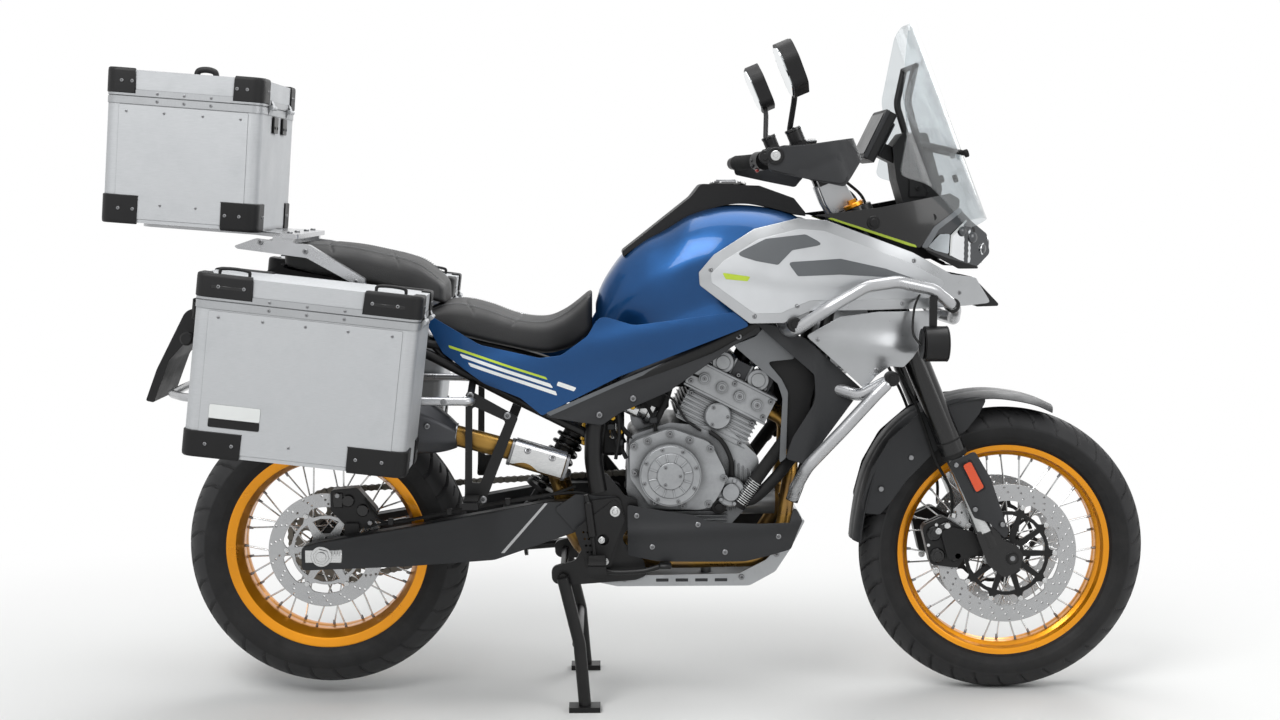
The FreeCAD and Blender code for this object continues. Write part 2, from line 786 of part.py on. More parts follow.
def make_fender(leg):
    fender = new_body("front_fender_arch")
    outer = [(238, 270), (160, 338, 60), (40, 386, 120), (-90, 384, 90), (-215, 310, 80), (-292, 200, 60),
             (-318, 168)]
    inner = [(-292, 160), (-268, 204, 60), (-196, 292, 70), (-84, 366, 80), (38, 369, 120), (150, 324, 60),
             (232, 262)]
    pad_side(fender, "arch", [outer + inner], -72, 72)
    doc.recompute()
    sides = new_body("fender_sides")
    pad_side(sides, "cheek", [[
        (96, 358, 20), (-60, 372, 40), (-190, 305, 40), (-262, 208, 20), (-235, 196, 10),
        (-150, 250, 40), (-60, 290, 30), (20, 300, 20)]], -76, -70)
    boss = cylinder("fender_boss", 9, 24, (-dims.leg_lead, -68, 330), (0, -1, 0))
    cheek = cut_from("fender_cheek_right", join("fender_cheek_boss", [sides, boss]), leg)
    cheeks = both_sides("fender_cheeks", cheek)
    in_fork_frame(node(join("front_fender", [fender, cheeks])))


def make_fork_guards():
    lead = -dims.leg_lead
    outer = -dims.leg_half_spacing - dims.fork_tube_radius
    guard = new_body("fork_guard_right")
    pad_side(guard, "side", [[
        (lead - 22, 262, 8), (lead + 42, 262, 8), (lead + 52, 190, 20), (lead + 44, 60, 14),
        (lead + 30, 50, 8), (lead + 10, 100, 20), (lead - 16, 120, 10)]], outer - 3, outer + 1)
    holder_face = -dims.leg_half_spacing - dims.axle_holder_half
    pad_side(guard, "seat", [[
        (lead + 15, 58, 2), (lead + 40, 58, 3), (lead + 40, 80, 3), (lead + 15, 80, 2)]], outer, holder_face)
    in_fork_frame(node(both_sides("fork_guards", guard)))


def make_front_calipers(leg):
    caliper = new_body("front_caliper_right")
    y_in = -dims.front_disc_y + 14
    y_out = -dims.front_disc_y - dims.disc_wall - 12
    pad_side(caliper, "side", [[
        (-172, 48, 12), (-158, 138, 16), (-104, 140, 16), (-72, 96, 10), (-78, 40, 10),
        (-118, 16, 12)]], y_out, y_in)
    cut_side(caliper, "slot", [[
        (-160, 20), (-146, 146), (-60, 146), (-60, 10), (-110, 0)]],
        -dims.front_disc_y - dims.disc_wall - 2, -dims.front_disc_y + 2)
    pad_side(caliper, "lug", [[
        (-132, 44, 8), (-124, 112, 12), (-96, 112, 12), (-44, 72, 8), (-44, 36, 8), (-90, 30, 8)]],
        y_out - 10, y_out)
    fitted = cut_from("front_caliper_fitted", caliper, leg)
    in_fork_frame(node(both_sides("front_calipers", fitted)))


def make_rear_caliper():
    """The rear caliper over its disc, with a lug on the inside of the swingarm."""
    caliper = new_body("rear_caliper")
    disc_y = -dims.rear_disc_y
    y_out = disc_y - dims.disc_wall - 15
    outline = [(14, 140, 10), (74, 146, 14), (118, 94, 14), (110, 54, 10), (54, 52, 10), (14, 94, 10)]
    pad_side(caliper, "side", [[
        (rear_axle_x + x, rear_axle_z + z, r) for x, z, r in outline]], y_out, disc_y + 14)
    cut_side(caliper, "slot", [], disc_y - dims.disc_wall - 2.5, disc_y + 2.5,
             [(rear_axle_x, rear_axle_z, dims.rear_disc_radius + 3)])
    outline = [(46, 66, 4), (78, 66, 4), (78, 26, 4), (46, 26, 4)]
    pad_side(caliper, "lug", [[
        (rear_axle_x + x, rear_axle_z + z, r) for x, z, r in outline]],
        -dims.arm_inner_y, y_out + 8)
    node(caliper)


# Frame and swingarm
def make_main_frame():
    rake = math.radians(float(dims.rake_angle))
    up = Vector(-math.sin(rake), 0, math.cos(rake))
    ahead = Vector(math.cos(rake), 0, math.sin(rake))
    axle = Vector(float(dims.front_axle_x), 0, float(front_axle_z))
    foot = axle - ahead * float(dims.stem_offset)
    low = foot + up * (float(dims.lower_clamp_z + dims.clamp_height) + 6)
    high = foot + up * (float(dims.upper_clamp_z) - 6)
    head = Part.makeCylinder(float(dims.head_tube_radius), (high - low).Length, low, up)
    pivot = Vector(float(dims.pivot_x), 0, float(dims.pivot_z))
    parts = [head]
    neck = low + up * 60 - ahead * 20
    for side in (-1, 1):
        beam = tube_shape([
            (neck.x, side * 14, neck.z), (neck.x - 86, side * 74, neck.z - 46),
            (330, side * 140, 905), (150, side * 150, 815), (-30, side * 142, 735),
            (-108, side * 136, 660), (-110, side * 140, 560), (-98, side * 140, pivot.z + 46)], 20, 160)
        parts.append(beam)
        lower = tube_shape([
            (neck.x + 4, side * 9, neck.z - 8), (430, side * 60, 930), (392, side * 150, 800),
            (392, side * 158, 700), (372, side * 164, 585), (330, side * 160, 470)], 14, 100)
        parts.append(lower)
    plate = new_body("pivot_plate_right")
    plate_inner = dims.arm_inner_y + dims.arm_width + dims.plate_clearance
    plate_outer = plate_inner + dims.plate_wall
    pad_side(plate, "side", [[
        (-116, 530, 10), (-80, 530, 10), (-40, 480, 14), (-12, 470, 6), (-10, 444, 6), (-50, 380, 20),
        (2, 334, 12),
        (10, 300, 12), (-16, 290, 12), (-150, 280, 12), (-202, 282, 16), (-204, 320, 16), (-150, 334, 20),
        (-112, 400, 20)]], -plate_outer, -plate_inner,
        [])
    cut_side(plate, "stand_hole", [], -plate_outer, -plate_inner,
             [(dims.stand_pivot_x, dims.stand_pivot_z, 8.1)])
    doc.recompute()
    parts += [plate.Shape, mirror_shape(plate.Shape)]
    parts.append(Part.makeCylinder(8, 66, Vector(-10, float(plate_outer) - 2, 310), Vector(0, 1, 0)))
    for place, height in ((-40, 732), (-112, 668)):
        parts.append(Part.makeCylinder(14, 270, Vector(place, -135, height), Vector(0, 1, 0)))
    solid = parts[0].fuse(parts[1:])
    bore = Part.makeCylinder(float(dims.head_tube_bore), 400, foot + up * 560, up)
    return node(as_feature("main_frame", solid.cut(bore)))


def arm_x(reach):
    """The place at a reach behind the pivot, on an arm drawn 644 mm long, at its real length."""
    return dims.pivot_x - (dims.pivot_x - rear_axle_x) / 644 * reach


def make_swingarm():
    inner = dims.arm_inner_y
    outer = inner + dims.arm_width
    arm = new_body("swingarm_right")
    pad_side(arm, "side", [[
        (rear_axle_x - 44, rear_axle_z + 20, 10), (rear_axle_x - 44, rear_axle_z - 32, 10),
        (arm_x(464), 322, 40), (arm_x(260), 336, 60), (arm_x(40), 414, 30), (-44, 420, 20),
        (-44, 468, 20), (arm_x(141), 466, 40), (arm_x(464), 408, 60),
        (rear_axle_x - 8, rear_axle_z + 30, 20)]], -outer, -inner)
    both = both_sides("swingarm_arms", arm)
    brace = box_between(
        "swingarm_brace", (arm_x(252), -inner, 358), (arm_x(180), inner, 420))
    pivot_reach = outer + dims.plate_clearance
    pivot = cylinder("swingarm_pivot", 21, 2 * pivot_reach,
                     (dims.pivot_x, -pivot_reach, dims.pivot_z), (0, 1, 0))
    axle = cylinder("rear_axle_bar", dims.axle_radius, 2 * outer + 16,
                    (rear_axle_x, -outer - 8, rear_axle_z), (0, 1, 0))
    solid = join("swingarm_solid", [both, brace, pivot, axle])
    bore = cylinder("rear_axle_bore", dims.axle_bore_radius, 2 * outer + 20,
                    (rear_axle_x, -outer - 10, rear_axle_z), (0, 1, 0))
    return node(cut_from("swingarm", solid, bore))


def chain_loop(grow):
    """The closed line round both sprockets, moved outwards from the rollers' centres."""
    rear = Vector(float(rear_axle_x), 0, float(rear_axle_z))
    front = Vector(float(dims.front_sprocket_x), 0, float(dims.front_sprocket_z))
    half = float(dims.chain_height) / 2
    big = float(dims.rear_sprocket_radius) + half + 1 + grow
    small = float(dims.front_sprocket_radius) + half + 1 + grow
    line = front - rear
    tilt = math.asin((big - small) / line.Length)
    base = math.atan2(line.z, line.x)
    upper = base + math.pi / 2 - tilt
    lower = base - math.pi / 2 + tilt
    points = []
    for centre, radius, angle in ((rear, big, upper), (front, small, upper),
                                  (front, small, lower), (rear, big, lower)):
        points.append(centre + Vector(radius * math.cos(angle), 0, radius * math.sin(angle)))
    nose = front + Vector(small * math.cos(base), 0, small * math.sin(base))
    tail = rear - Vector(big * math.cos(base), 0, big * math.sin(base))
    return Part.Wire([
        Part.makeLine(points[0], points[1]), Part.Arc(points[1], nose, points[2]).toShape(),
        Part.makeLine(points[2], points[3]), Part.Arc(points[3], tail, points[0]).toShape()])


def make_chain():
    """The chain: a band of rollers all the way round, with a pair of side plates on every other pitch."""
    middle = float(dims.chain_y)
    width = float(dims.chain_width)
    band_half = float(dims.chain_height) / 2 - 3
    band_width = width - 6
    band = []
    for grow in (band_half, -band_half):
        face = Part.Face(chain_loop(grow))
        face.translate(Vector(0, middle - band_width / 2, 0))
        band.append(face.extrude(Vector(0, band_width, 0)))
    centres = chain_loop(0)
    count = 2 * int(round(centres.Length / float(dims.chain_pitch) / 2))
    spots = centres.discretize(Number=count + 1)
    plate_half = float(dims.chain_height) / 2 - 0.5
    plates = []
    for start, end in zip(spots[::2], spots[1::2]):
        along = (end - start).normalize()
        rise = along.cross(Vector(0, 1, 0)) * plate_half
        ends = (start - along * 3, end + along * 3)
        corners = [ends[0] + rise, ends[1] + rise, ends[1] - rise, ends[0] - rise, ends[0] + rise]
        outline = Part.Face(Part.makePolygon(corners))
        outline.translate(Vector(0, middle - width / 2, 0))
        plates.append(outline.extrude(Vector(0, width, 0)))
    node(as_feature("drive_chain", band[0].cut(band[1]).fuse(plates)))


def make_subframe(frame):
    right = []
    main = [(-112, -120, 610), (-300, -128, 705), (-480, -140, 800), (-620, -140, 838), (-820, -120, 900)]
    upper = [(-118, -120, 690), (-210, -126, 755), (-330, -132, 790), (-486, -132, 822)]
    right.append(tube_shape(main, 11, 200))
    right.append(tube_shape(upper, 10, 150))
    shapes = right + [mirror_shape(shape) for shape in right]
    for place, height, reach in ((-440, 779, 136), (-700, 863, 132)):
        shapes.append(Part.makeCylinder(9, 2 * reach, Vector(place, -reach, height), Vector(0, 1, 0)))
    for side in (-1, 1):
        shapes.append(Part.makeCylinder(7, 130, Vector(-400, side * 132, 752), Vector(-60, 0, 60)))
    return node(as_feature("subframe", shapes[0].fuse(shapes[1:]).cut(frame.Shape)))


def make_shock(frame, arm):
    doc.recompute()
    damper = tube_shape([(-112, 0, 668), (-170, 0, 575), (-262, 0, 424)], 18, 60)
    coil = Part.makeCylinder(36, 140, Vector(-146, 0, 614), Vector(-82, 0, -134))
    reservoir = Part.makeCylinder(20, 80, Vector(-120, -76, 592), Vector(6, 0, 60))
    hose = tube_shape([(-150, 0, 610), (-136, -40, 612), (-120, -76, 596)], 6, 30)
    shape = damper.fuse([coil, reservoir, hose]).cut([frame.Shape, arm.Shape])
    return node(as_feature("rear_shock", shape))


# Engine
def make_engine():
    case = new_body("crankcase_block")
    pad_side(case, "side", [[
        (-36, 488, 10), (-30, 610, 20), (60, 640, 20), (190, 628, 20), (262, 560, 30), (250, 468, 30),
        (190, 400, 30), (40, 388, 30), (-20, 420, 20)]], -118, 118)
    clutch = new_body("clutch_cover")
    pad_side(clutch, "plate", [[
        (-30, 600, 30), (-28, 520, 20), (20, 452, 40), (150, 448, 50), (190, 520, 50), (150, 600, 40),
        (60, 632, 50)]], -150, -118)
    pad_side(case, "mount_right", [], -134.4, -118, [(-26, 458, 12)])
    pad_side(case, "mount_left", [], 118, 134.4, [(-26, 458, 12)])
    pad_side(clutch, "bosses", [], -153, -118, [
        (x, z, 8) for x, z in ((-20, 592), (-18, 532), (26, 466), (88, 458), (146, 462), (180, 520),
                               (150, 586), (104, 606), (60, 620), (10, 604))])
    pad_side(clutch, "dome", [], -178, -150, [(60, 530, 68)])
    pad_side(clutch, "cap", [], -186, -178, [(60, 530, 26)])
    generator = new_body("generator_cover")
    pad_side(generator, "plate", [[
        (60, 600, 40), (60, 452, 40), (190, 440, 50), (240, 520, 50), (190, 604, 50)]], 118, 150)
    pad_side(generator, "dome", [], 150, 168, [(150, 520, 62)])
    sprocket_cover = new_body("sprocket_cover")
    pad_side(sprocket_cover, "plate", [[
        (-40, 520, 30), (-20, 410, 30), (50, 400, 30), (56, 500, 20), (40, 530, 20)]], 118, 132)
    cut_side(case, "chain_space", [], 76, 118, [(dims.front_sprocket_x, dims.front_sprocket_z, 62)])
    cut_side(case, "chain_path", [[
        (-40, 505), (40, 515), (40, 392), (-40, 370)]], 76, 118)
    pad_side(case, "starter", [], -70, 60, [(6, 646, 32)])
    pad_front(case, "oil_filter", [], 200, 306, [(0, 446, 34)])
    pad_side(case, "sprocket", [], 76, dims.chain_y + dims.chain_width / 2,
             [(dims.front_sprocket_x, dims.front_sprocket_z, dims.front_sprocket_radius + 0.7)])
    crankcase = node(join("engine_crankcase", [case, clutch, generator, sprocket_cover]))

    block = new_body("cylinder_parts")
    for name, half, low, high, wide in (
            ("barrel", 84, 96, 172, 116), ("head", 100, 172, 232, 124), ("cover", 76, 232, 272, 112)):
        pad_side(block, name, [[
            (-half, low, 6), (half, low, 6), (half, high, 8), (-half, high, 8)]], -wide, wide)
    fins = new_body("cylinder_bosses")
    for index, place in enumerate((-66, -22, 22, 66)):
        pad_side(fins, "boss%d" % index, [], -132, -124, [(place, 202, 12)])
    intakes = [
        cylinder("intake_%s" % side, 24, 74, (-96, y, 196), (-0.995, 0, 0.1))
        for side, y in (("right", -54), ("left", 54))]
    barrel = join("cylinder_upright", [block, fins] + intakes)
    place_at(barrel, 104, 0, 530, (0, 1, 0), 27)
    return crankcase, node(cut_from("cylinder_block", barrel, case))


def make_exhaust(block, subframe):
    parts = []
    for y in (-62, 62):
        parts.append(tube_shape([
            (262, y, 673), (338, y, 632), (334, y * 1.4, 520), (318, y * 1.6, 400), (270, y * 1.6, 326),
            (60, y * 1.5, 322), (-20, y * 0.9, 324)], 17, 60))
    collector = Part.makeCylinder(40, 110, Vector(20, -28, 326), Vector(-1, 0, 0.03))
    link = Part.makeCylinder(40, 110, Vector(20, 28, 326), Vector(-1, 0, 0.03))
    doc.recompute()
    headers = node(as_feature("header_pipes", parts[0].fuse([parts[1], collector, link]).cut(block.Shape)))
    pipe = tube_shape([
        (-92, -34, 332), (-130, -52, 345), (-166, -66, 410), (-180, -70, 490), (-198, -122, 552),
        (-250, -160, 576), (-416, -170, 622)], 23, 60)
    shield = Part.makeCylinder(29, 128, Vector(-292, -165, 584), Vector(128, 8, -40)).cut(
        Part.makeCylinder(26, 140, Vector(-298, -165, 586), Vector(128, 8, -40)))
    muffler = new_body("muffler_can")
    loft_stations(muffler, "can", [
        (-408, oval(-168, 620, 26, 26)), (-490, oval(-168, 645, 52, 62)),
        (-600, oval(-168, 672, 56, 66)), (-800, oval(-168, 728, 56, 66))])
    strap = cylinder("muffler_strap", 8, 100, (-560, -140, 818), (-6, -22, -97))
    node(cut_from("muffler", join("muffler_strapped", [muffler, strap]), subframe))
    doc.recompute()
    node(as_feature("exhaust_pipe", pipe.fuse(shield).cut([headers.Shape, muffler.Shape])))


def oval(y, z, half_y, half_z, flat=0.45):
    """An eight-cornered rounded section about a centre, for lofts along X."""
    y, z, half_y, half_z = (as_size(part) for part in (y, z, half_y, half_z))
    round_size = 0.45 * half_y
    return [
        (y - half_y, z - flat * half_z, round_size), (y - flat * half_y, z - half_z, round_size),
        (y + flat * half_y, z - half_z, round_size), (y + half_y, z - flat * half_z, round_size),
        (y + half_y, z + flat * half_z, round_size), (y + flat * half_y, z + half_z, round_size),
        (y - flat * half_y, z + half_z, round_size), (y - half_y, z + flat * half_z, round_size)]


def make_radiator(frame):
    core = new_body("radiator_core")
    pad_side(core, "core", [[
        (358, 560, 4), (392, 554, 4), (416, 790, 4), (382, 796, 4)]], -128, 128)
    upper = cylinder("radiator_upper_pins", 8, 300, (393, -150, 740), (0, 1, 0))
    node(cut_from("radiator", join("radiator_pinned", [core, upper]), frame))


def panel_pair(name, plan, outline, z_low, z_high, y_out=330):
    """A moulded panel on each side: a bent sheet seen from above, trimmed to a side outline."""
    strip = new_body(name + "_sheet")
    wall = dims.panel_wall
    outer = [(x, -y) + tuple(rest) for x, y, *rest in plan]
    inner = [(corner[0], corner[1] + wall) + tuple(corner[2:]) for corner in reversed(outer)]
    pad_plan(strip, "strip", [outer + inner], z_low, z_high)
    side = new_body(name + "_trim")
    pad_side(side, "outline", [outline], -y_out, -10)
    right = overlap_of(name + "_right", strip, side)
    return right


def make_covers(crash_bars, crankcase):
    shroud = panel_pair(
        "radiator_shroud", [(236, 172), (300, 190, 80), (400, 206, 80), (486, 196)],
        [(243, 868), (284, 862), (353, 834, 10), (479, 723, 10), (356, 557, 14), (312, 568, 10),
         (327, 615, 20), (376, 700, 60), (372, 756, 20), (327, 795, 30)], 540, 880)
    node(both_sides("radiator_shrouds", cut_from("radiator_shroud_fitted", shroud, crash_bars)))

    belly = panel_pair(
        "belly_cover", [(-40, 166), (60, 196, 80), (240, 196, 80), (356, 150)],
        [(-35, 463, 6), (109, 445, 20), (148, 430, 20), (326, 421), (338, 460, 8), (356, 424, 10),
         (330, 360, 10), (225, 340, 10), (30, 340, 10), (-34, 350, 6)], 335, 470)

    skid = new_body("skid_tray")
    wide = 130
    pad_side(skid, "outer", [[
        (364, 420, 4), (332, 356, 14), (298, 304, 20), (240, 272, 30), (-57, 272, 14), (-112, 284, 4),
        (-112, 298, 4), (-57, 296, 10), (216, 300, 20), (276, 330, 20), (318, 372, 10), (352, 424, 4)]],
        -wide, wide)
    cut_side(skid, "inside", [[
        (370, 470), (328, 356, 14), (295, 307, 20), (238, 276, 30), (-57, 276, 14), (-130, 290),
        (-130, 470)]], 4 - wide, wide - 4)
    post = cylinder("skid_post", 12, 140, (150, 0, 273), (0, 0, 1))
    node(cut_from("skid_plate", join("skid_posted", [skid, post]), crankcase))
    peg = cylinder("belly_peg", 8, 76, (120, -116, 424), (0, -1, 0))
    pegged = cut_from("belly_cover_pegged", join("belly_with_peg", [belly, peg]), crankcase)
    node(both_sides("belly_covers", cut_from("belly_cover_fitted", pegged, skid)))


def make_hangers(subframe):
    plate_y = 152
    frame_face = dims.arm_inner_y + dims.arm_width + dims.plate_clearance + dims.plate_wall
    hanger = new_body("rider_hanger")
    pad_side(hanger, "plate", [[
        (-130, 470, 12), (-52, 480, 12), (-40, 430, 10), (-66, 340, 10), (-78, 300, 12), (-118, 296, 12),
        (-112, 350, 12), (-118, 420, 10)]], -plate_y - 8, -plate_y, [])
    cut_side(hanger, "holes", [], -plate_y - 8, -plate_y, [(-88, 385, 13)])
    peg = box_between("rider_peg", (-122, -plate_y - 112, 330), (-82, -plate_y - 8, 346))
    pad_side(hanger, "seats", [], -plate_y, -frame_face, [(-84, 452, 10), (-98, 322, 9)])
    right = join("rider_hanger_right", [hanger, peg])
    pillion = new_body("pillion_hanger")
    outer = 196
    pad_side(pillion, "frame", [[
        (-386, 728, 10), (-272, 664, 10), (-278, 650, 8), (-342, 486, 8), (-350, 470, 6), (-392, 470, 6),
        (-390, 500, 6)]], -outer - 7, -outer)
    cut_side(pillion, "window", [[(-372, 690, 6), (-300, 656, 6), (-356, 520, 6), (-374, 520, 4)]],
             -outer - 7, -outer)
    pillion_peg = box_between("pillion_peg", (-390, -outer - 90, 476), (-356, -outer - 7, 490))
    stay = cylinder("pillion_stay", 8, outer - 118, (-376, -outer, 710), (0, 1, 0.35))
    pillion_joined = join("pillion_hanger_joined", [pillion, pillion_peg, stay])
    pillion_right = cut_from("pillion_hanger_right", pillion_joined, subframe)
    return node(gather("foot_hangers", [right, mirrored(right), pillion_right, mirrored(pillion_right)]))


# Tank, seats and body panels
def make_tank(frame, subframe):
    tank = new_body("fuel_tank_shell")
    stations = []
    for place, low, middle, high, half_low, half, half_high in (
            (-104, 800, 850, 925, 60, 80, 50), (-48, 800, 900, 1004, 84, 112, 70),
            (50, 822, 930, 1066, 100, 158, 96), (184, 880, 990, 1122, 110, 176, 110),
            (290, 936, 1010, 1116, 108, 170, 110), (368, 972, 1018, 1098, 90, 128, 84)):
        stations.append((place, [
            (-half_low, low, 16), (half_low, low, 16), (half, middle, 30), (half_high, high, 26),
            (-half_high, high, 26), (-half, middle, 30)]))
    loft_stations(tank, "shell", stations)
    foot = cylinder("tank_foot", 12, 74, (184, -122, 900), (0, -22, -66))
    footed = join("fuel_tank_footed", [tank, both_sides("tank_feet", foot)])
    fuel_tank = node(cut_from("fuel_tank", footed, frame))

    console = new_body("tank_console_block")
    pad_side(console, "side", [[
        (40, 1040, 4), (-40, 1004, 4), (-46, 1018, 8), (109, 1141, 30), (132, 1170, 14), (262, 1166, 14),
        (340, 1138, 10), (366, 1106, 6), (366, 1085, 4)]], -64, 64)
    doc.recompute()
    node(cut_from("tank_console", console, tank))
    peg = cylinder("side_panel_peg", 8, 25, (-330, -131, 790), (0, -1, 0))

    lower = panel_pair(
        "tank_lower_panel", [(-480, 152), (-300, 160, 200), (-100, 168, 200), (100, 182, 200), (236, 188)],
        [(-490, 896, 6), (-465, 846, 20), (-440, 800, 20), (-347, 732, 30), (-270, 701, 20),
         (-222, 662, 6), (-50, 750, 40), (232, 862, 6), (200, 892, 10), (-20, 860, 60), (-104, 880, 30),
         (-120, 836, 30), (-180, 794, 30), (-226, 788, 30), (-358, 816, 60)], 650, 900)
    pegged = cut_from("tank_panel_pegged", join("tank_panel_with_peg", [lower, peg]), subframe)
    node(both_sides("tank_side_panels", pegged))
    return fuel_tank


def make_seats(subframe):
    rider = new_body("rider_seat_block")
    stations = []
    for place, low, high, half in (
            (-486, 856, 884, 118), (-400, 832, 908, 134), (-290, 806, 876, 132), (-208, 790, 866, 112),
            (-150, 808, 900, 84), (-112, 838, 932, 62)):
        stations.append((place, [
            (-half, low, 10), (half, low, 10), (half * 0.94, high - 14, 14), (half * 0.7, high, 16),
            (-half * 0.7, high, 16), (-half * 0.94, high - 14, 14)]))
    loft_stations(rider, "cushion", stations)
    passenger = node(new_body("passenger_seat"))
    foot = cylinder("rider_seat_foot", 8, 34, (-330, -126, 792), (0, 0, 1))
    footed = join("rider_seat_footed", [rider, both_sides("rider_seat_feet", foot)])
    node(cut_from("rider_seat", cut_from("rider_seat_seated", footed, subframe), passenger))
    stations = []
    for place, low, high, half in (
            (-792, 984, 1036, 104), (-700, 966, 1036, 122), (-590, 944, 1022, 128),
            (-490, 918, 996, 122), (-438, 900, 950, 104)):
        stations.append((place, [
            (-half, low, 10), (half, low, 10), (half * 0.94, high - 14, 14), (half * 0.7, high, 16),
            (-half * 0.7, high, 16), (-half * 0.94, high - 14, 14)]))
    loft_stations(passenger, "cushion", stations)
    return passenger


def make_fairings(crash_bars, fuel_tank):
    side = panel_pair(
        "side_fairing", [(118, 184), (240, 218, 120), (420, 244, 160), (600, 206, 200), (720, 118, 100),
                         (800, 44)],
        [(120, 978, 6), (152, 1017, 12), (237, 1073, 30), (330, 1096, 40), (390, 1092, 20),
         (582, 1022, 60), (678, 972, 20), (745, 962, 14), (792, 902, 6), (720, 900, 20), (362, 898, 40),
         (302, 870, 14), (230, 868, 10), (122, 950, 10)], 860, 1104)
    tank_peg = cylinder("fairing_peg", 8, 51, (240, -164, 1000), (0, -1, 0))
    pegged = cut_from("side_fairing_pegged", join("side_fairing_with_peg", [side, tank_peg]), fuel_tank)
    side_fairings = node(both_sides("side_fairings", pegged))
    wing = panel_pair(
        "fairing_wing", [(346, 214), (470, 236, 100), (600, 206, 160), (672, 160)],
        [(351, 842, 6), (424, 884, 40), (504, 895, 20), (663, 894, 8), (633, 858, 20), (585, 792, 20),
         (566, 772, 8), (534, 775, 8), (504, 754, 8), (480, 726, 8)], 720, 898)
    node(both_sides("fairing_wings", cut_from("fairing_wing_fitted", wing, crash_bars)))
    cockpit = panel_pair(
        "cockpit_panel", [(362, 150), (500, 152, 100), (640, 132, 80), (706, 108)],
        [(368, 1100, 4), (681, 1149, 10), (703, 1118, 8), (690, 1060, 10), (610, 1030, 6),
         (584, 1034, 10), (400, 1098, 6)], 1020, 1152)

    beak = new_body("beak_block")
    pad_side(beak, "side", [[
        (634, 982, 8), (700, 970, 10), (749, 961, 10), (820, 893, 4), (760, 893, 4), (712, 926, 20),
        (664, 944, 8)]], -96, 96)
    cut_plan(beak, "nose", [[
        (560, -140), (900, -140), (900, -10), (828, -16, 10), (700, -70, 60), (560, -96)]], 880, 1000)
    cut_plan(beak, "nose_left", [[
        (560, 140), (900, 140), (900, 10), (828, 16, 10), (700, 70, 60), (560, 96)]], 880, 1000)
    rod = cylinder("beak_cross_rod", 8, 2 * 128, (690, -128, 952), (0, 1, 0))
    fitted_beak = node(cut_from("beak", join("beak_with_rod", [beak, rod]), side_fairings))

    lamp = node(new_body("headlight"))
    pad_side(lamp, "side", [[
        (622, 1030, 6), (650, 1074, 10), (704, 1118, 10), (736, 1088, 10), (778, 1058, 10),
        (787, 1014, 12), (756, 986, 8), (707, 986, 10)]], -100, 100)
    cut_plan(lamp, "right", [[(600, -160), (900, -160), (900, -20), (800, -36, 20), (720, -84, 40),
                              (600, -101)]], 970, 1130)
    cut_plan(lamp, "left", [[(600, 160), (900, 160), (900, 20), (800, 36, 20), (720, 84, 40),
                             (600, 101)]], 970, 1130)
    return fitted_beak, lamp, cockpit


def make_cockpit(frame, beak, lamp, cockpit):
    mount = new_body("screen_mount_centre")
    pad_side(mount, "side", [[
        (590, 1120, 6), (572, 1180, 6), (562, 1252, 6), (585, 1284, 10), (640, 1284, 10), (676, 1160, 20),
        (668, 1120, 6)]], -48, 48)
    spine = new_body("head_stay")
    pad_side(spine, "side", [[
        (535, 996), (514, 1046), (588, 1080, 10), (600, 1124, 4), (666, 1124, 4), (690, 1080, 4),
        (690, 1000, 4), (640, 1000, 10), (566, 990, 10)]], -16, 16)
    parts = []
    for side in (-1, 1):
        parts.append(tube_shape([
            (640, side * 40, 1150), (612, side * 62, 1280), (590, side * 70, 1352),
            (dims.accessory_bar_x, side * 70, dims.accessory_bar_z)], 8, 60))
        parts.append(Part.makeCylinder(6, 112, Vector(612, side * 60, 1262), Vector(110, side * 4, -24)))
    cross = Part.makeCylinder(
        dims.accessory_bar_radius, 170, Vector(dims.accessory_bar_x, -85, dims.accessory_bar_z), Vector(0, 1, 0))
    panel_rod = Part.makeCylinder(8, 262, Vector(640, -131, 1096), Vector(0, 1, 0))
    stays = as_feature("screen_stays", parts[0].fuse(parts[1:] + [cross, panel_rod]))
    whole = join("screen_mount_whole", [mount, spine, stays])
    clear = cut_from("screen_mount_clear", cut_from("screen_mount_back", whole, frame), lamp)
    screen_mount = node(cut_from("screen_mount", clear, beak))
    node(both_sides("cockpit_panels", cut_from("cockpit_panel_fitted", cockpit, screen_mount)))

    sheet_body = new_body("screen_sheet")
    wall = dims.cover_wall
    front = [(-230, -176), (-120, -150, 80), (-22, -76, 70), (0, 0, 300), (-22, 76, 70),
             (-120, 150, 80), (-230, 176)]
    back = [(corner[0] - wall, corner[1]) + tuple(corner[2:]) for corner in reversed(front)]
    pad_plan(sheet_body, "sheet", [front + back], -10, 500)
    face = new_body("screen_face")
    pad_front(face, "face", [[
        (-112, 0, 20), (-164, 170, 60), (-140, 330, 80), (-80, 472, 40), (80, 472, 40), (140, 330, 80),
        (164, 170, 60), (112, 0, 20)]], -300, 100)
    screen = overlap_of("windscreen_sheet", sheet_body, face)
    place_at(screen, 790, 0, 1096, (0, 1, 0), -21.6)
    node(cut_from("windscreen", screen, screen_mount))

    display = new_body("display_slab")
    pad_plan(display, "slab", [[(-14, -92, 8), (14, -92, 8), (14, 92, 8), (-14, 92, 8)]], -58, 58)
    pad_plan(display, "arm", [[(14, -28, 4), (76, -28, 4), (76, 28, 4), (14, 28, 4)]], -36, -4)
    place_at(display, 528, 0, 1275, (0, 1, 0), 26)
    node(cut_from("display", display, screen_mount))


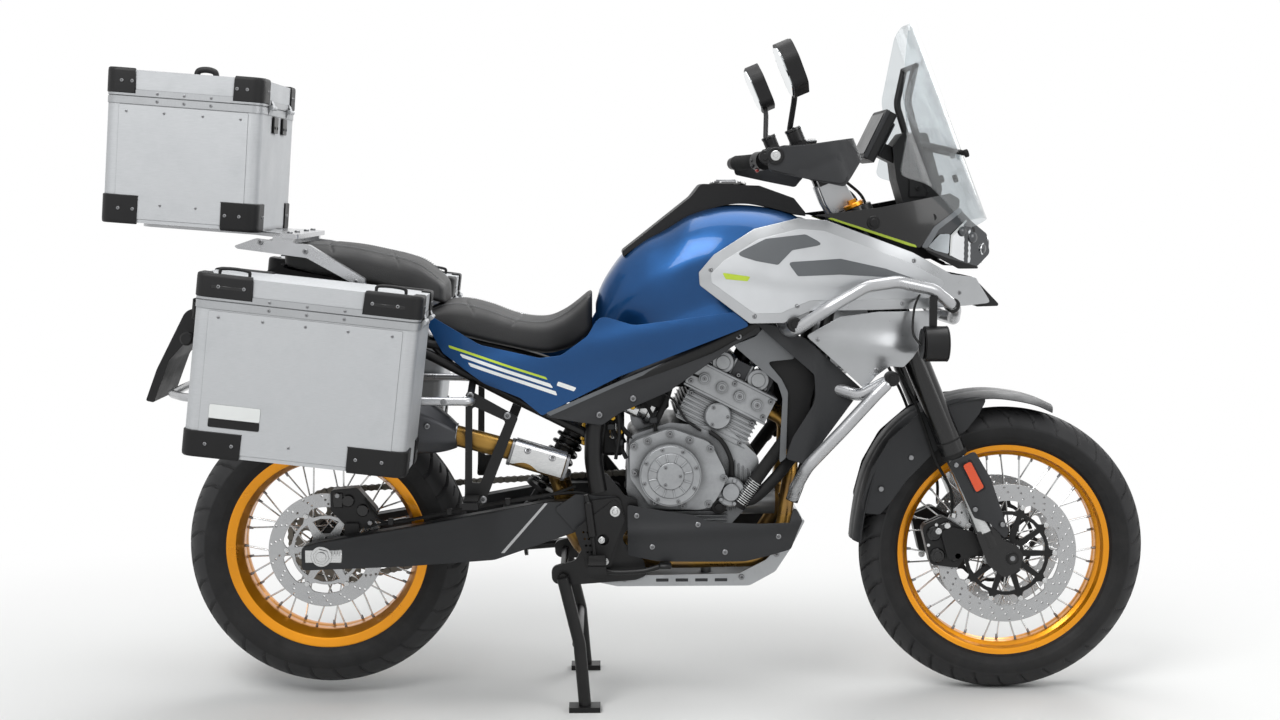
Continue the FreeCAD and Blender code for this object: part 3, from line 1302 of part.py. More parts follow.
def make_crash_bars(frame):
    right = [
        tube_shape([(300, -140, 880), (312, -180, 852), (322, -232, 852), (395, -266, 906),
                    (471, -272, 952), (540, -268, 962), (620, -250, 944), (676, -214, 902),
                    (690, -130, 872), (690, 0, 870)], 13.5, 60),
        tube_shape([(393, -156, 730), (470, -225, 712), (534, -250, 752), (500, -256, 720),
                    (430, -246, 640), (356, -232, 558), (336, -186, 505), (332, -162, 478)], 13.5, 40)]
    shapes = right + [mirror_shape(shape) for shape in right]
    bars = shapes[0].fuse(shapes[1:]).cut(frame.Shape)
    solids = sorted(bars.Solids, key=lambda solid: -solid.Volume)
    large = [solid for solid in solids if solid.Volume > 0.1 * solids[0].Volume]
    crash_bars = node(as_feature("crash_bars", Part.makeCompound(large)))
    lamps = new_body("fog_lamp_right")
    pad_front(lamps, "drum", [], 600, 646, [(-262, 828, 38)])
    pad_side(lamps, "bracket", [[(612, 860, 2), (628, 860, 2), (628, 930, 2), (612, 930, 2)]], -258, -250)
    node(both_sides("fog_lamps", cut_from("fog_lamp_fitted", lamps, crash_bars)))
    return crash_bars


def make_rear(subframe, passenger):
    carrier_arm = new_body("carrier_arm")
    pad_side(carrier_arm, "arm", [[
        (-884, 1036, 4), (-838, 1052, 6), (-722, 1038, 20), (-590, 956, 6), (-628, 954, 6),
        (-728, 1010, 20), (-876, 1030, 4)]], -182, -158)
    stay = cylinder("carrier_stay", 9, 122, (-612, -156, 838), (0, -2, 122))
    spacer = box_between("carrier_spacer", (-800, -181, 1034), (-756, -159, 1058))
    arm = cut_from("carrier_arm_fitted", join("carrier_arm_right", [carrier_arm, stay, spacer]), subframe)
    plate = new_body("rack_plate")
    pad_plan(plate, "plate", [[
        (63, -110, 30), (313, -120, 20), (383, -184, 20), (420, -184, 10), (420, 184, 10), (383, 184, 20),
        (313, 120, 20), (63, 110, 30)]], -10, 0)
    place_at(plate, dims.top_case_rear_x, 0, dims.top_case_base_z, (0, 1, 0), dims.top_case_tilt)
    both = both_sides("carrier_arms", arm)
    node(join("rear_carrier", [both, plate]))

    tail = new_body("tail_unit_block")
    pad_side(tail, "side", [[
        (-800, 992, 6), (-868, 960, 10), (-900, 910, 10), (-1010, 892, 30), (-1078, 760, 10),
        (-1104, 690, 4), (-1086, 686, 4), (-1050, 780, 20), (-985, 850, 30), (-860, 856, 30),
        (-600, 810, 10), (-500, 810, 10), (-500, 890, 10), (-590, 952, 10)]], -98, 98)
    clear = cut_from("tail_unit_clear", tail, subframe)
    node(cut_from("tail_unit", clear, passenger))
    lamp = new_body("tail_lamp_block")
    pad_side(lamp, "side", [[(-862, 958), (-890, 914), (-924, 910, 4), (-900, 960, 6)]], -70, 70)
    node(cut_from("tail_lamp", lamp, tail))


def make_case(name, length, width, height, lid_height):
    """A hollow box and its lid, drawn from the rear, bottom, inner corner."""
    wall = dims.case_wall
    corner = dims.case_corner_radius
    half = width / 2
    outer = [(0, -half, corner), (length, -half, corner), (length, half, corner), (0, half, corner)]
    inner = [(wall, wall - half, corner - wall), (length - wall, wall - half, corner - wall),
             (length - wall, half - wall, corner - wall), (wall, half - wall, corner - wall)]
    split = height - lid_height
    box = new_body(name + "_box")
    pad_plan(box, "outer", [outer], 0, split)
    cut_plan(box, "inner", [inner], wall, split)
    lid = new_body(name + "_lid")
    pad_plan(lid, "outer", [outer], split + dims.lid_gap, height)
    cut_plan(lid, "inner", [inner], split + dims.lid_gap, height - wall)
    axis_x = length + dims.hinge_offset
    knuckle = dims.hinge_radius
    leaf = 16
    for index, place in enumerate((-0.27, 0.27)):
        middle = width * place
        start, finish = middle - dims.hinge_half, middle - dims.knuckle_gap
        pad_side(box, "leaf%d" % index, [[
            (length - 1, split - leaf), (length + 2, split - leaf), (axis_x, split - 3),
            (axis_x, split), (length - 1, split)]], start, finish)
        pad_side(box, "knuckle%d" % index, [], start, finish, [(axis_x, split, knuckle)])
        pad_side(box, "pin%d" % index, [], finish, middle + dims.hinge_half, [(axis_x, split, dims.hinge_pin)])
        start, finish = middle + dims.knuckle_gap, middle + dims.hinge_half
        pad_side(lid, "leaf%d" % index, [[
            (length - 1, split + leaf), (length + 2, split + leaf), (axis_x, split + 3.5),
            (axis_x, split + dims.lid_gap), (length - 1, split + dims.lid_gap)]], start, finish)
        pad_side(lid, "knuckle%d" % index, [], start, finish, [(axis_x, split, knuckle)])
        cut_side(lid, "bore%d" % index, [], start, finish,
                 [(axis_x, split, dims.hinge_pin + dims.pin_fit)])
    return box, lid


def make_cases():
    pannier_y = dims.pannier_inner_y + dims.pannier_width / 2
    boxes = []
    for side, label in ((-1, "right"), (1, "left")):
        box, lid = make_case("pannier_" + label, dims.pannier_length, dims.pannier_width,
                             dims.pannier_height, dims.pannier_lid_height)
        for thing in (box, lid):
            place_at(thing, dims.pannier_rear_x, side * pannier_y, dims.pannier_base_z,
                     (0, 1, 0), dims.pannier_tilt)
        boxes.append(box)
        lid.Label = "pannier_lid_" + label
        node(lid)
    node(gather("pannier_boxes", boxes))
    box, lid = make_case("top_case", dims.top_case_length, dims.top_case_width,
                         dims.top_case_height, dims.top_case_lid_height)
    for thing in (box, lid):
        place_at(thing, dims.top_case_rear_x, 0, dims.top_case_base_z, (0, 1, 0), dims.top_case_tilt)
    box.Label = "top_case_box"
    lid.Label = "top_case_lid"
    node(box)
    node(lid)


def make_pannier_racks(subframe, hangers):
    radius = 9
    outer = float(dims.pannier_inner_y) - 0.3 - radius
    hanger_face = 203.3
    lower = [(-374, -hanger_face, 700), (-376, -hanger_face - 24, 702), (-430, -outer, 704),
             (-900, -outer, 712), (-985, -outer + 14, 712), (-1034, -150, 712), (-1034, 0, 712)]
    upper = [(-480, -138, 800), (-540, -outer, 850), (-700, -outer, 866), (-830, -outer, 880),
             (-800, -122, 892)]
    right = [tube_shape(lower, radius, 60), tube_shape(upper, radius, 60)]
    link = Part.makeCylinder(7, 155, Vector(-700, -outer, 710), Vector(0, 0, 1))
    right.append(link)
    shapes = right + [mirror_shape(shape) for shape in right]
    doc.recompute()
    node(as_feature("pannier_racks", shapes[0].fuse(shapes[1:]).cut([subframe.Shape, hangers.Shape])))


# Stands
def make_stands():
    y = float(dims.stand_leg_y)
    pivot = (float(dims.stand_pivot_x), float(dims.stand_pivot_z))
    lead = float(dims.stand_foot_lead)
    radius = float(dims.stand_tube_radius)
    parts = []
    for side in (-1, 1):
        parts.append(tube_shape([
            (pivot[0], side * y, pivot[1]), (pivot[0] + 0.5 * lead + 10, side * y, 0.5 * pivot[1]),
            (pivot[0] + lead - 4, side * (y + 6), 6)], radius, 60).common(
                Part.makeBox(600, 600, 600, Vector(pivot[0] - 300, -300, 0))))
        foot = Part.makeBox(70, 44, 12, Vector(pivot[0] + lead - 40, side * (y + 6) - 22, 0))
        parts.append(foot)
    parts.append(Part.makeCylinder(8, 2 * y, Vector(pivot[0], -y, pivot[1]), Vector(0, 1, 0)))
    parts.append(Part.makeCylinder(12, 2 * y, Vector(pivot[0] + 0.5 * lead + 6, -y, 0.5 * pivot[1]),
                                   Vector(0, 1, 0)))
    node(as_feature("centre_stand", parts[0].fuse(parts[1:])))
    side_y = 200
    leg = tube_shape([(-10, side_y, 310), (-120, side_y, 309), (-276, side_y + 6, 296)], 11, 60)
    eye = Part.makeCylinder(17, 22, Vector(-10, side_y - 11, 310), Vector(0, 1, 0))
    foot = Part.makeCylinder(24, 8, Vector(-272, side_y + 6, 296), Vector(-1, 0, -0.1))
    bore = Part.makeCylinder(8.1, 30, Vector(-10, side_y - 15, 310), Vector(0, 1, 0))
    node(as_feature("side_stand", leg.fuse([eye, foot]).cut(bore)))


def main():
    make_wheels()
    leg = make_fork()
    make_clamps()
    handlebar = make_handlebar()
    make_handguards(handlebar)
    make_mirrors(handlebar)
    make_fender(leg)
    make_fork_guards()
    make_front_calipers(leg)
    make_rear_caliper()
    frame = make_main_frame()
    arm = make_swingarm()
    make_chain()
    subframe = make_subframe(frame)
    make_shock(frame, arm)
    crankcase, block = make_engine()
    make_exhaust(block, subframe)
    make_radiator(frame)
    crash_bars = make_crash_bars(frame)
    make_covers(crash_bars, crankcase)
    hangers = make_hangers(subframe)
    fuel_tank = make_tank(frame, subframe)
    passenger = make_seats(subframe)
    beak, lamp, cockpit = make_fairings(crash_bars, fuel_tank)
    make_cockpit(frame, beak, lamp, cockpit)
    make_rear(subframe, passenger)
    make_cases()
    make_pannier_racks(subframe, hangers)
    make_stands()
    doc.recompute()
    write_parts()


def write_parts():
    """Check every object and every sub-part, then write one STEP file for each."""
    faults = [thing.Label + " failed" for thing in doc.Objects
              if "Invalid" in thing.State or "Error" in thing.State]
    faults += [thing.Label + " has no valid shape" for thing in NODES
               if thing.Shape.isNull() or not thing.Shape.isValid()]
    if faults:
        raise RuntimeError("; ".join(faults))
    os.makedirs("parts", exist_ok=True)
    for thing in NODES:
        thing.Shape.exportStep(os.path.join("parts", thing.Label + ".step"))
    print("%d sub-parts written" % len(NODES))


main()
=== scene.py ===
import math

import bmesh
import bpy
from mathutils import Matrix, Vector
from mathutils.geometry import delaunay_2d_cdt


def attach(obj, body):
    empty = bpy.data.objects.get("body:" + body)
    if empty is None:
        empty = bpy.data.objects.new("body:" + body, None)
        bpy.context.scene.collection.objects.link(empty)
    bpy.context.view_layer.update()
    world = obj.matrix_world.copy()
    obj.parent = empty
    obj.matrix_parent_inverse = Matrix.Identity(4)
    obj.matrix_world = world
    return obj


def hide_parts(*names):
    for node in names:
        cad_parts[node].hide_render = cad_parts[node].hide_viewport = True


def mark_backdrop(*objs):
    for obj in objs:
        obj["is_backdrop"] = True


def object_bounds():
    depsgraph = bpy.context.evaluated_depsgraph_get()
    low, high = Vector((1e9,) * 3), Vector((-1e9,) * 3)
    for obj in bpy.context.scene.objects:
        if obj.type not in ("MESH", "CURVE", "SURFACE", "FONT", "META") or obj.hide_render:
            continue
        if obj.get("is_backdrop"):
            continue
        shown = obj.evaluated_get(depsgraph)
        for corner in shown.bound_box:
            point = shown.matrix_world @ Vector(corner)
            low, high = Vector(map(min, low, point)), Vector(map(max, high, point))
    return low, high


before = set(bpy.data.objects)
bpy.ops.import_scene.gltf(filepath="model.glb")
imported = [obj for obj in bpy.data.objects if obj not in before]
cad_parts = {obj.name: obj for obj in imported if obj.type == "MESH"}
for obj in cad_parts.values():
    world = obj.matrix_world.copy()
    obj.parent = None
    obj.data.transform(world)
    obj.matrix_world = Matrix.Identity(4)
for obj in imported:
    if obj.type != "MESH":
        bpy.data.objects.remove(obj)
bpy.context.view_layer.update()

# Shared with the machine underneath: the axles in metres, other places in millimetres
MM = 0.001
FRONT_AXLE = Vector((0.834, 0, 0.330))
REAR_AXLE = Vector((-0.714, 0, 0.346))
RAKE = math.radians(22.8)
LEAN = math.radians(27)
HEAD_FOOT = (104, 530)
CLAMP_TOP = 866
LEG_X, LEG_Y = -31, 105
DISPLAY_LEAN = math.radians(26)
SIDES = ((-1, "right"), (1, "left"))
OUT = (0, 1, 0)
UP = (0, 0, 1)


def feed(tree, socket, value):
    """Links a socket to another one, or gives it a plain value."""
    if hasattr(value, "is_linked"):
        tree.links.new(value, socket)
    else:
        socket.default_value = value


def blended(tree, factor, one, two):
    """A shader between two others."""
    item = tree.nodes.new("ShaderNodeMixShader")
    for socket, value in zip(item.inputs, (factor, one, two)):
        feed(tree, socket, value)
    return item.outputs[0]


# Materials
def rgb(hexa):
    """A linear colour from a screen colour written as six hex digits."""
    parts = [int(hexa[i:i + 2], 16) / 255 for i in (0, 2, 4)]
    return tuple(p / 12.92 if p <= 0.04045 else ((p + 0.055) / 1.055) ** 2.4 for p in parts) + (1,)


def toned(colour, share, lift=0.0):
    """A colour made lighter or darker, no brighter than white."""
    return tuple(min(1, c * share + lift) for c in colour[:3]) + (1,)


class Nodes:
    """Short names for the shader nodes that every material is built from."""

    def __init__(self, name):
        self.material = bpy.data.materials.new(name)
        self.material.use_nodes = True
        self.tree = self.material.node_tree
        self.shader = self.tree.nodes["Principled BSDF"]
        self.place = self.add("ShaderNodeTexCoord").outputs["Object"]

    def add(self, kind, **inputs):
        """A new node, its sockets fed by name, with _ for a space."""
        item = self.tree.nodes.new(kind)
        for key, value in inputs.items():
            feed(self.tree, item.inputs[key.replace("_", " ")], value)
        return item

    def scaled(self, scale):
        return self.add("ShaderNodeMapping", Vector=self.place, Scale=scale).outputs[0]

    def noise(self, scale, detail=4, rough=0.55, place=None):
        return self.add("ShaderNodeTexNoise", Scale=scale, Detail=detail, Roughness=rough,
                        Vector=place or self.place).outputs["Fac"]

    def ramp(self, value, low, high, start, end):
        return self.add("ShaderNodeMapRange", Value=value, From_Min=low, From_Max=high,
                        To_Min=start, To_Max=end).outputs["Result"]

    def cloud(self, scale, detail, rough, low, high, start, end):
        return self.ramp(self.noise(scale, detail, rough), low, high, start, end)

    def mix(self, factor, one, two, blend="MIX"):
        item = self.add("ShaderNodeMix")
        item.data_type, item.blend_type = "RGBA", blend
        for key, value in (("Factor", factor), (6, one), (7, two)):
            feed(self.tree, item.inputs[key], value)
        return item.outputs[2]

    def sums(self, operation, one, two=0.0):
        item = self.add("ShaderNodeMath")
        item.operation = operation
        feed(self.tree, item.inputs[0], one)
        feed(self.tree, item.inputs[1], two)
        return item.outputs[0]

    def axis(self, name):
        return self.add("ShaderNodeSeparateXYZ", Vector=self.place).outputs[name]

    def bump(self, height, strength, distance, after=None):
        item = self.add("ShaderNodeBump", Height=height, Strength=strength, Distance=distance)
        if after:
            feed(self.tree, item.inputs["Normal"], after)
        return item.outputs["Normal"]

    def set(self, **values):
        for key, value in values.items():
            feed(self.tree, self.shader.inputs[key.replace("_", " ")], value)
        return self.material

    def shade_hollows(self, colour, depth=0.02, share=0.75):
        """The colour, darkened with painted shade where other surfaces stand close."""
        near = self.add("ShaderNodeAmbientOcclusion", Distance=depth)
        near.samples = 8
        dark = toned((0.5, 0.5, 0.5), 1 - share)
        shade = self.mix(self.ramp(near.outputs["AO"], 0.25, 0.85, 0, 1), dark, (1, 1, 1, 1))
        return self.mix(1, colour, shade, "MULTIPLY")

    def dusted(self, colour, amount=0.25, tone="8a7f70"):
        """Colour with a little road dust, more of it low down and in patches."""
        low = self.ramp(self.axis("Z"), 0.75, 0.1, 0.15, 1)
        patch = self.cloud(22, 6, 0.6, 0.35, 0.9, 0, amount * 0.5)
        return self.mix(self.sums("MULTIPLY", patch, low), colour, rgb(tone))

    def surface(self, shader):
        """Puts another shader in place of the usual one."""
        out = [item for item in self.tree.nodes if item.type == "OUTPUT_MATERIAL"][0]
        self.tree.links.new(shader, out.inputs[0])


def coat(name, colour, metallic=0.0, rough=0.4, flake=0.0, clear=0.0, grain=0.0, dust=0.0, corner_shade=0.6,
         shine=0.5):
    """Paint or plastic with slight unevenness, fine grain, dust and painted shade in its corners."""
    nodes, colour = Nodes(name), rgb(colour)
    base = nodes.mix(nodes.cloud(3.5, 5, 0.55, 0.3, 0.7, 0, 1), toned(colour, 0.82), toned(colour, 1.1, 0.002))
    if flake:
        base = nodes.mix(nodes.cloud(2600, 2, 0.55, 0.45, 0.7, 0, flake), base, toned(colour, 2.4, 0.03))
    base = nodes.dusted(base, dust)
    # Painted shade: the colour is darkened where other surfaces stand close.
    if corner_shade:
        base = nodes.shade_hollows(base, 0.016, corner_shade)
    if clear:
        nodes.set(Coat_Weight=clear, Coat_Roughness=0.06)
    normal = nodes.bump(nodes.noise(45, 3), 0.04, 0.0006)
    if grain:
        normal = nodes.bump(nodes.noise(1500, 3, 0.6), grain, 0.00035, normal)
    smear = nodes.cloud(14, 6, 0.7, 0.3, 0.75, rough * 0.85, min(1, rough * 1.25))
    return nodes.set(Base_Color=base, Metallic=metallic, Roughness=smear, Specular_IOR_Level=shine,
                     Normal=normal)


def brushed(name, colour, stretch=(1, 1, 60), rough=0.3, dust=0.1, scratch=0.35, metallic=0.9):
    """Bare metal with fine brushing along one direction, smears, light scratches and painted shade in its
    corners.
    """
    nodes, colour = Nodes(name), rgb(colour)
    lines = nodes.noise(55, 6, 0.7, nodes.scaled(stretch))
    tone = nodes.mix(nodes.ramp(lines, 0.3, 0.7, 0, 1), toned(colour, 0.84), colour)
    tone = nodes.mix(nodes.cloud(7, 5, 0.55, 0.35, 0.75, 0, 0.08), tone, toned(colour, 0.7))
    # The base colour carries painted shade where other surfaces stand close.
    return nodes.set(Base_Color=nodes.shade_hollows(nodes.dusted(tone, dust), 0.014, 0.8), Metallic=metallic,
                     Roughness=nodes.cloud(10, 5, 0.6, 0.3, 0.7, rough * 0.8, rough * 1.3),
                     Normal=nodes.bump(lines, scratch, 0.00025, nodes.bump(nodes.noise(30, 3), 0.04, 0.0008)))


def rubber(name, colour, rough, bump, dust, axle=None, tread=0.0):
    """Rubber; with an axle's place, the tread beyond its radius is scuffed grey and its grooves are darkened
    with painted shade.
    """
    nodes = Nodes(name)
    base = nodes.mix(nodes.cloud(30, 6, 0.7, 0.35, 0.7, 0, 1), rgb(colour), rgb("1b1b1c"))
    if axle:
        dx, dz = (nodes.sums("SUBTRACT", nodes.axis(name), at) for name, at in (("X", axle.x), ("Z", axle.z)))
        squares = nodes.sums("ADD", nodes.sums("MULTIPLY", dx, dx), nodes.sums("MULTIPLY", dz, dz))
        far = nodes.ramp(nodes.sums("SQRT", squares), tread, tread + 0.006, 0, 1)
        # Painted shade darkens the tread's grooves and the places where other surfaces stand close.
        base = nodes.shade_hollows(nodes.mix(far, base, rgb("2b2b2c")), 0.009, 0.9)
    return nodes.set(Base_Color=nodes.dusted(base, dust, "6d655a"), Specular_IOR_Level=0.3,
                     Roughness=nodes.cloud(18, 5, 0.55, 0.3, 0.7, rough * 0.85, rough * 1.15),
                     Normal=nodes.bump(nodes.noise(700, 4, 0.7), bump, 0.0005))


def seat_cloth(name):
    """Grained seat cover: a fine pebble pattern with small wrinkles."""
    nodes = Nodes(name)
    cells = nodes.add("ShaderNodeTexVoronoi", Scale=620.0, Vector=nodes.place)
    base = nodes.mix(nodes.cloud(12, 5, 0.55, 0.35, 0.7, 0, 1), rgb("1a1a1b"), rgb("262626"))
    wrinkle = nodes.bump(nodes.noise(22, 4, 0.5), 0.1, 0.003)
    return nodes.set(Base_Color=nodes.dusted(base, 0.12),
                     Roughness=nodes.cloud(9, 4, 0.55, 0.3, 0.7, 0.5, 0.68),
                     Normal=nodes.bump(cells.outputs["Distance"], 0.5, 0.0006, wrinkle))


def cast_metal(name, colour, rough=0.5, cover=None):
    """Sand-cast alloy with painted shade in its corners; a cover colour paints what lies above the cam boxes'
    joint.
    """
    nodes, colour = Nodes(name), rgb(colour)
    base = nodes.mix(nodes.cloud(20, 6, 0.7, 0.3, 0.7, 0, 1), toned(colour, 0.75), colour)
    if cover:
        height = nodes.sums("ADD", nodes.sums("MULTIPLY", nodes.axis("X"), math.sin(LEAN)),
                            nodes.sums("MULTIPLY", nodes.axis("Z"), math.cos(LEAN)))
        joint = (HEAD_FOOT[0] * math.sin(LEAN) + HEAD_FOOT[1] * math.cos(LEAN) + 236) * MM
        base = nodes.mix(nodes.ramp(height, joint - 0.0005, joint + 0.0005, 0, 1), base, rgb(cover))
    # The base colour carries deep painted shade in the corners between the castings.
    return nodes.set(Base_Color=nodes.shade_hollows(nodes.dusted(base, 0.12, "6b6255"), 0.035, 0.94), Metallic=0.7,
                     Roughness=nodes.cloud(15, 4, 0.55, 0.3, 0.7, rough * 0.85, rough * 1.2),
                     Normal=nodes.bump(nodes.noise(420, 4, 0.6), 0.35, 0.0006))


def heated(name):
    """Exhaust steel gone bronze from heat, with blue and straw bands, and painted shade where other surfaces
    stand close.
    """
    nodes = Nodes(name)
    base = nodes.mix(nodes.cloud(6, 3, 0.55, 0.35, 0.65, 0, 1), rgb("80602c"), rgb("b18c48"))
    base = nodes.mix(nodes.cloud(11, 3, 0.55, 0.52, 0.68, 0, 0.5), base, rgb("4a4552"))
    # The base colour carries painted shade where other surfaces stand close.
    return nodes.set(Base_Color=nodes.shade_hollows(nodes.dusted(base, 0.1)), Metallic=0.9,
                     Roughness=nodes.cloud(24, 5, 0.55, 0.3, 0.7, 0.24, 0.44),
                     Normal=nodes.bump(nodes.noise(160, 3), 0.06, 0.0005))


def clear_sheet(name):
    """Tinted screen: seen through, with a thin gloss that grows towards its edges."""
    nodes = Nodes(name)
    nodes.set(Base_Color=rgb("e9eff0"), Roughness=nodes.cloud(8, 6, 0.7, 0.35, 0.8, 0.01, 0.07), IOR=1.2,
              Transmission_Weight=1.0, Alpha=1.0, Normal=nodes.bump(nodes.noise(5, 3), 0.02, 0.002))
    clear = nodes.add("ShaderNodeBsdfTransparent", Color=(0.84, 0.86, 0.87, 1)).outputs[0]
    gloss = nodes.add("ShaderNodeBsdfGlossy", Roughness=0.05).outputs[0]
    facing = nodes.ramp(nodes.add("ShaderNodeLayerWeight", Blend=0.22).outputs["Facing"], 0, 1, 0.02, 0.6)
    sheet = blended(nodes.tree, facing, clear, gloss)
    nodes.surface(blended(nodes.tree, 0.05, sheet, nodes.shader.outputs[0]))
    return nodes.material


blue = coat("blue_paint", "083f70", metallic=0.8, rough=0.34, flake=0.25, clear=0.35, corner_shade=0)
silver = coat("silver_paint", "b0b2b4", metallic=0.8, rough=0.3, clear=0.3, corner_shade=0)
inset_silver = coat("inset_silver", "c6c8ca", metallic=0.35, clear=0.2, corner_shade=0)
silver_bar = coat("silver_bar", "b4b5b7", metallic=0.8, rough=0.28, clear=0.2, dust=0.03, corner_shade=0)
black_satin = coat("black_satin", "0e0e0f", metallic=0.1, rough=0.36, dust=0.03, shine=0.35)
black_gloss = coat("black_gloss", "0a0a0b", rough=0.2, clear=0.3, dust=0.03, shine=0.35)
plastic = coat("plastic_black", "111112", rough=0.5, grain=0.35, dust=0.03, shine=0.28)
frame_grey = coat("frame_grey", "6a6c6e", metallic=0.3, rough=0.42, grain=0.2, shine=0.45)
plastic_grey = coat("plastic_grey", "262729", rough=0.48, grain=0.3, dust=0.02, shine=0.35)
gold = coat("rim_gold", "e39308", metallic=0.75, rough=0.3, clear=0.3, corner_shade=0)
reservoir_gold = coat("reservoir_gold", "c69a1e", metallic=0.8, rough=0.25, clear=0.3, dust=0.1)
white_band = coat("white_band", "e6e8e6", rough=0.3, clear=0.4, dust=0.05)
lime_band = coat("lime_band", "b8cf2a", rough=0.3, clear=0.4, dust=0.05)
grey_band = coat("grey_band", "5e6164", metallic=0.4, rough=0.35, clear=0.3, corner_shade=0)
red_bit = coat("red_bit", "b3231b", rough=0.3, clear=0.4, dust=0.02)
orange_lens = coat("orange_lens", "d9480a", rough=0.22, clear=0.5, corner_shade=0)
aluminium = brushed("case_aluminium", "bcbec0", (1, 1, 40), 0.56, 0.02, 0.2, 0.6)
aluminium_band = brushed("case_band", "acaeb0", (40, 1, 1), 0.42, 0.03, metallic=0.75)
steel = brushed("disc_steel", "b4b5b6", (30, 1, 30), 0.24, 0.08)
bright_steel = brushed("bright_steel", "cfd0d0", (1, 1, 8), 0.18, 0.05, 0.15)
bolt_steel = brushed("bolt_steel", "8f9092", (1, 1, 1), scratch=0.1)
chain_steel = brushed("chain_steel", "77746d", (4, 1, 4), 0.4, 0.3)
engine_grey = cast_metal("engine_grey", "a2a4a6", 0.38)
engine_head = cast_metal("engine_head", "a2a4a6", 0.38, "3c3d3f")
# Dark metal used only for the slots: painted shade standing in for their openings.
engine_dark = cast_metal("engine_dark", "3a3b3d")
bronze = heated("exhaust_bronze")
muffler_dark = coat("muffler_dark", "3c3d40", metallic=0.7, rough=0.38, dust=0.2)
front_rubber = rubber("front_tyre_rubber", "121213", 0.62, 0.25, 0.1, FRONT_AXLE, 0.285)
rear_rubber = rubber("rear_tyre_rubber", "121213", 0.62, 0.25, 0.1, REAR_AXLE, 0.272)
grip_rubber = rubber("grip_rubber", "161616", 0.8, 0.35, 0.1)
seat_cover = seat_cloth("seat_cover")
screen_clear = clear_sheet("clear_screen")
lens_clear = coat("lens_clear", "cfd6da", rough=0.06, clear=1.0, dust=0.03)
reflector = coat("reflector", "e6e8ea", metallic=1.0, rough=0.08)
lamp_glass = coat("lamp_glass", "2a2e33", metallic=0.2, rough=0.07, clear=1.0, dust=0.03)
lamp_red = coat("lamp_red", "8c1016", rough=0.12, clear=1.0, dust=0.03)
mirror_face = coat("mirror_face", "dfe4e6", metallic=1.0, rough=0.03, dust=0.02)
screen_face = coat("display_face", "0b0d10", rough=0.3, dust=0.03, corner_shade=0, shine=0.3)
core_fins = cast_metal("core_fins", "2b2c2e", 0.6)


# Shapes. Points are written in millimetres and stored in metres.
def world_place(x, y, z):
    return Vector((x, y, z)) * MM


def fork_place(x, y, z):
    """A place along the fork: x ahead, y left, z up the legs, from the front axle."""
    c, s = math.cos(RAKE), math.sin(RAKE)
    return FRONT_AXLE + Vector((x * c - z * s, y, x * s + z * c)) * MM


def head_place(x, y, z):
    """A place on the leaning cylinders, from the foot of their centre line."""
    c, s = math.cos(LEAN), math.sin(LEAN)
    return Vector((HEAD_FOOT[0] + x * c + z * s, y, HEAD_FOOT[1] - x * s + z * c)) * MM


def turns(count, shift=0.0):
    """Angles all the way round."""
    return [2 * math.pi * (k + shift) / count for k in range(count)]


def polar(radius, angle, x=0.0, z=0.0):
    return x + radius * math.cos(angle), z + radius * math.sin(angle)


def circle(x, z, radius, count=16):
    return [polar(radius, a, x, z) for a in turns(count)]


def ring(centre, across, other, radius, sides):
    return [centre + (across * math.cos(a) + other * math.sin(a)) * radius for a in turns(sides)]


def square_to(way):
    """Two directions at right angles to a way and to each other."""
    across = way.orthogonal().normalized()
    return across, way.cross(across)


def bulge(value, middle, width):
    """A soft bump: 1 at its middle, falling away on both sides."""
    return math.exp(-((value - middle) / width) ** 2)


def piece(name, points, faces, material, body, angle=35):
    """A mesh piece from points in metres, riding on one body."""
    mesh = bpy.data.meshes.new(name)
    mesh.from_pydata([tuple(p) for p in points], [], faces)
    mesh.validate()
    cleaner = bmesh.new()
    cleaner.from_mesh(mesh)
    bmesh.ops.recalc_face_normals(cleaner, faces=cleaner.faces)
    cleaner.to_mesh(mesh)
    cleaner.free()
    mesh.polygons.foreach_set("use_smooth", [True] * len(mesh.polygons))
    mesh.set_sharp_from_angle(angle=math.radians(angle))
    mesh.materials.append(material)
    thing = bpy.data.objects.new(name, mesh)
    bpy.context.scene.collection.objects.link(thing)
    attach(thing, body)
    return thing


def softened(thing, width, segments):
    """Rounds a thing's sharp edges a little."""
    soft = thing.modifiers.new("edge", "BEVEL")
    soft.width = width * MM
    soft.segments = segments
    soft.limit_method = "ANGLE"
    soft.harden_normals = True
    soft.angle_limit = math.radians(50)


def shown_for(things, node):
    """Each thing is seen in place of a node of the frame."""
    for thing in things:
        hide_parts(node)


def smooth_path(points, count):
    """Points along a soft curve through the given places."""
    places = [Vector(p) for p in points]
    ghost = [places[0] * 2 - places[1]] + places + [places[-1] * 2 - places[-2]]
    spans = len(places) - 1
    out = []
    for k in range(count + 1):
        t = k / count * spans
        i = min(spans - 1, int(t))
        u = t - i
        a, b, c, d = ghost[i:i + 4]
        out.append(0.5 * ((2 * b) + (c - a) * u + (2 * a - 5 * b + 4 * c - d) * u * u
                          + (3 * b - a - 3 * c + d) * u ** 3))
    return out


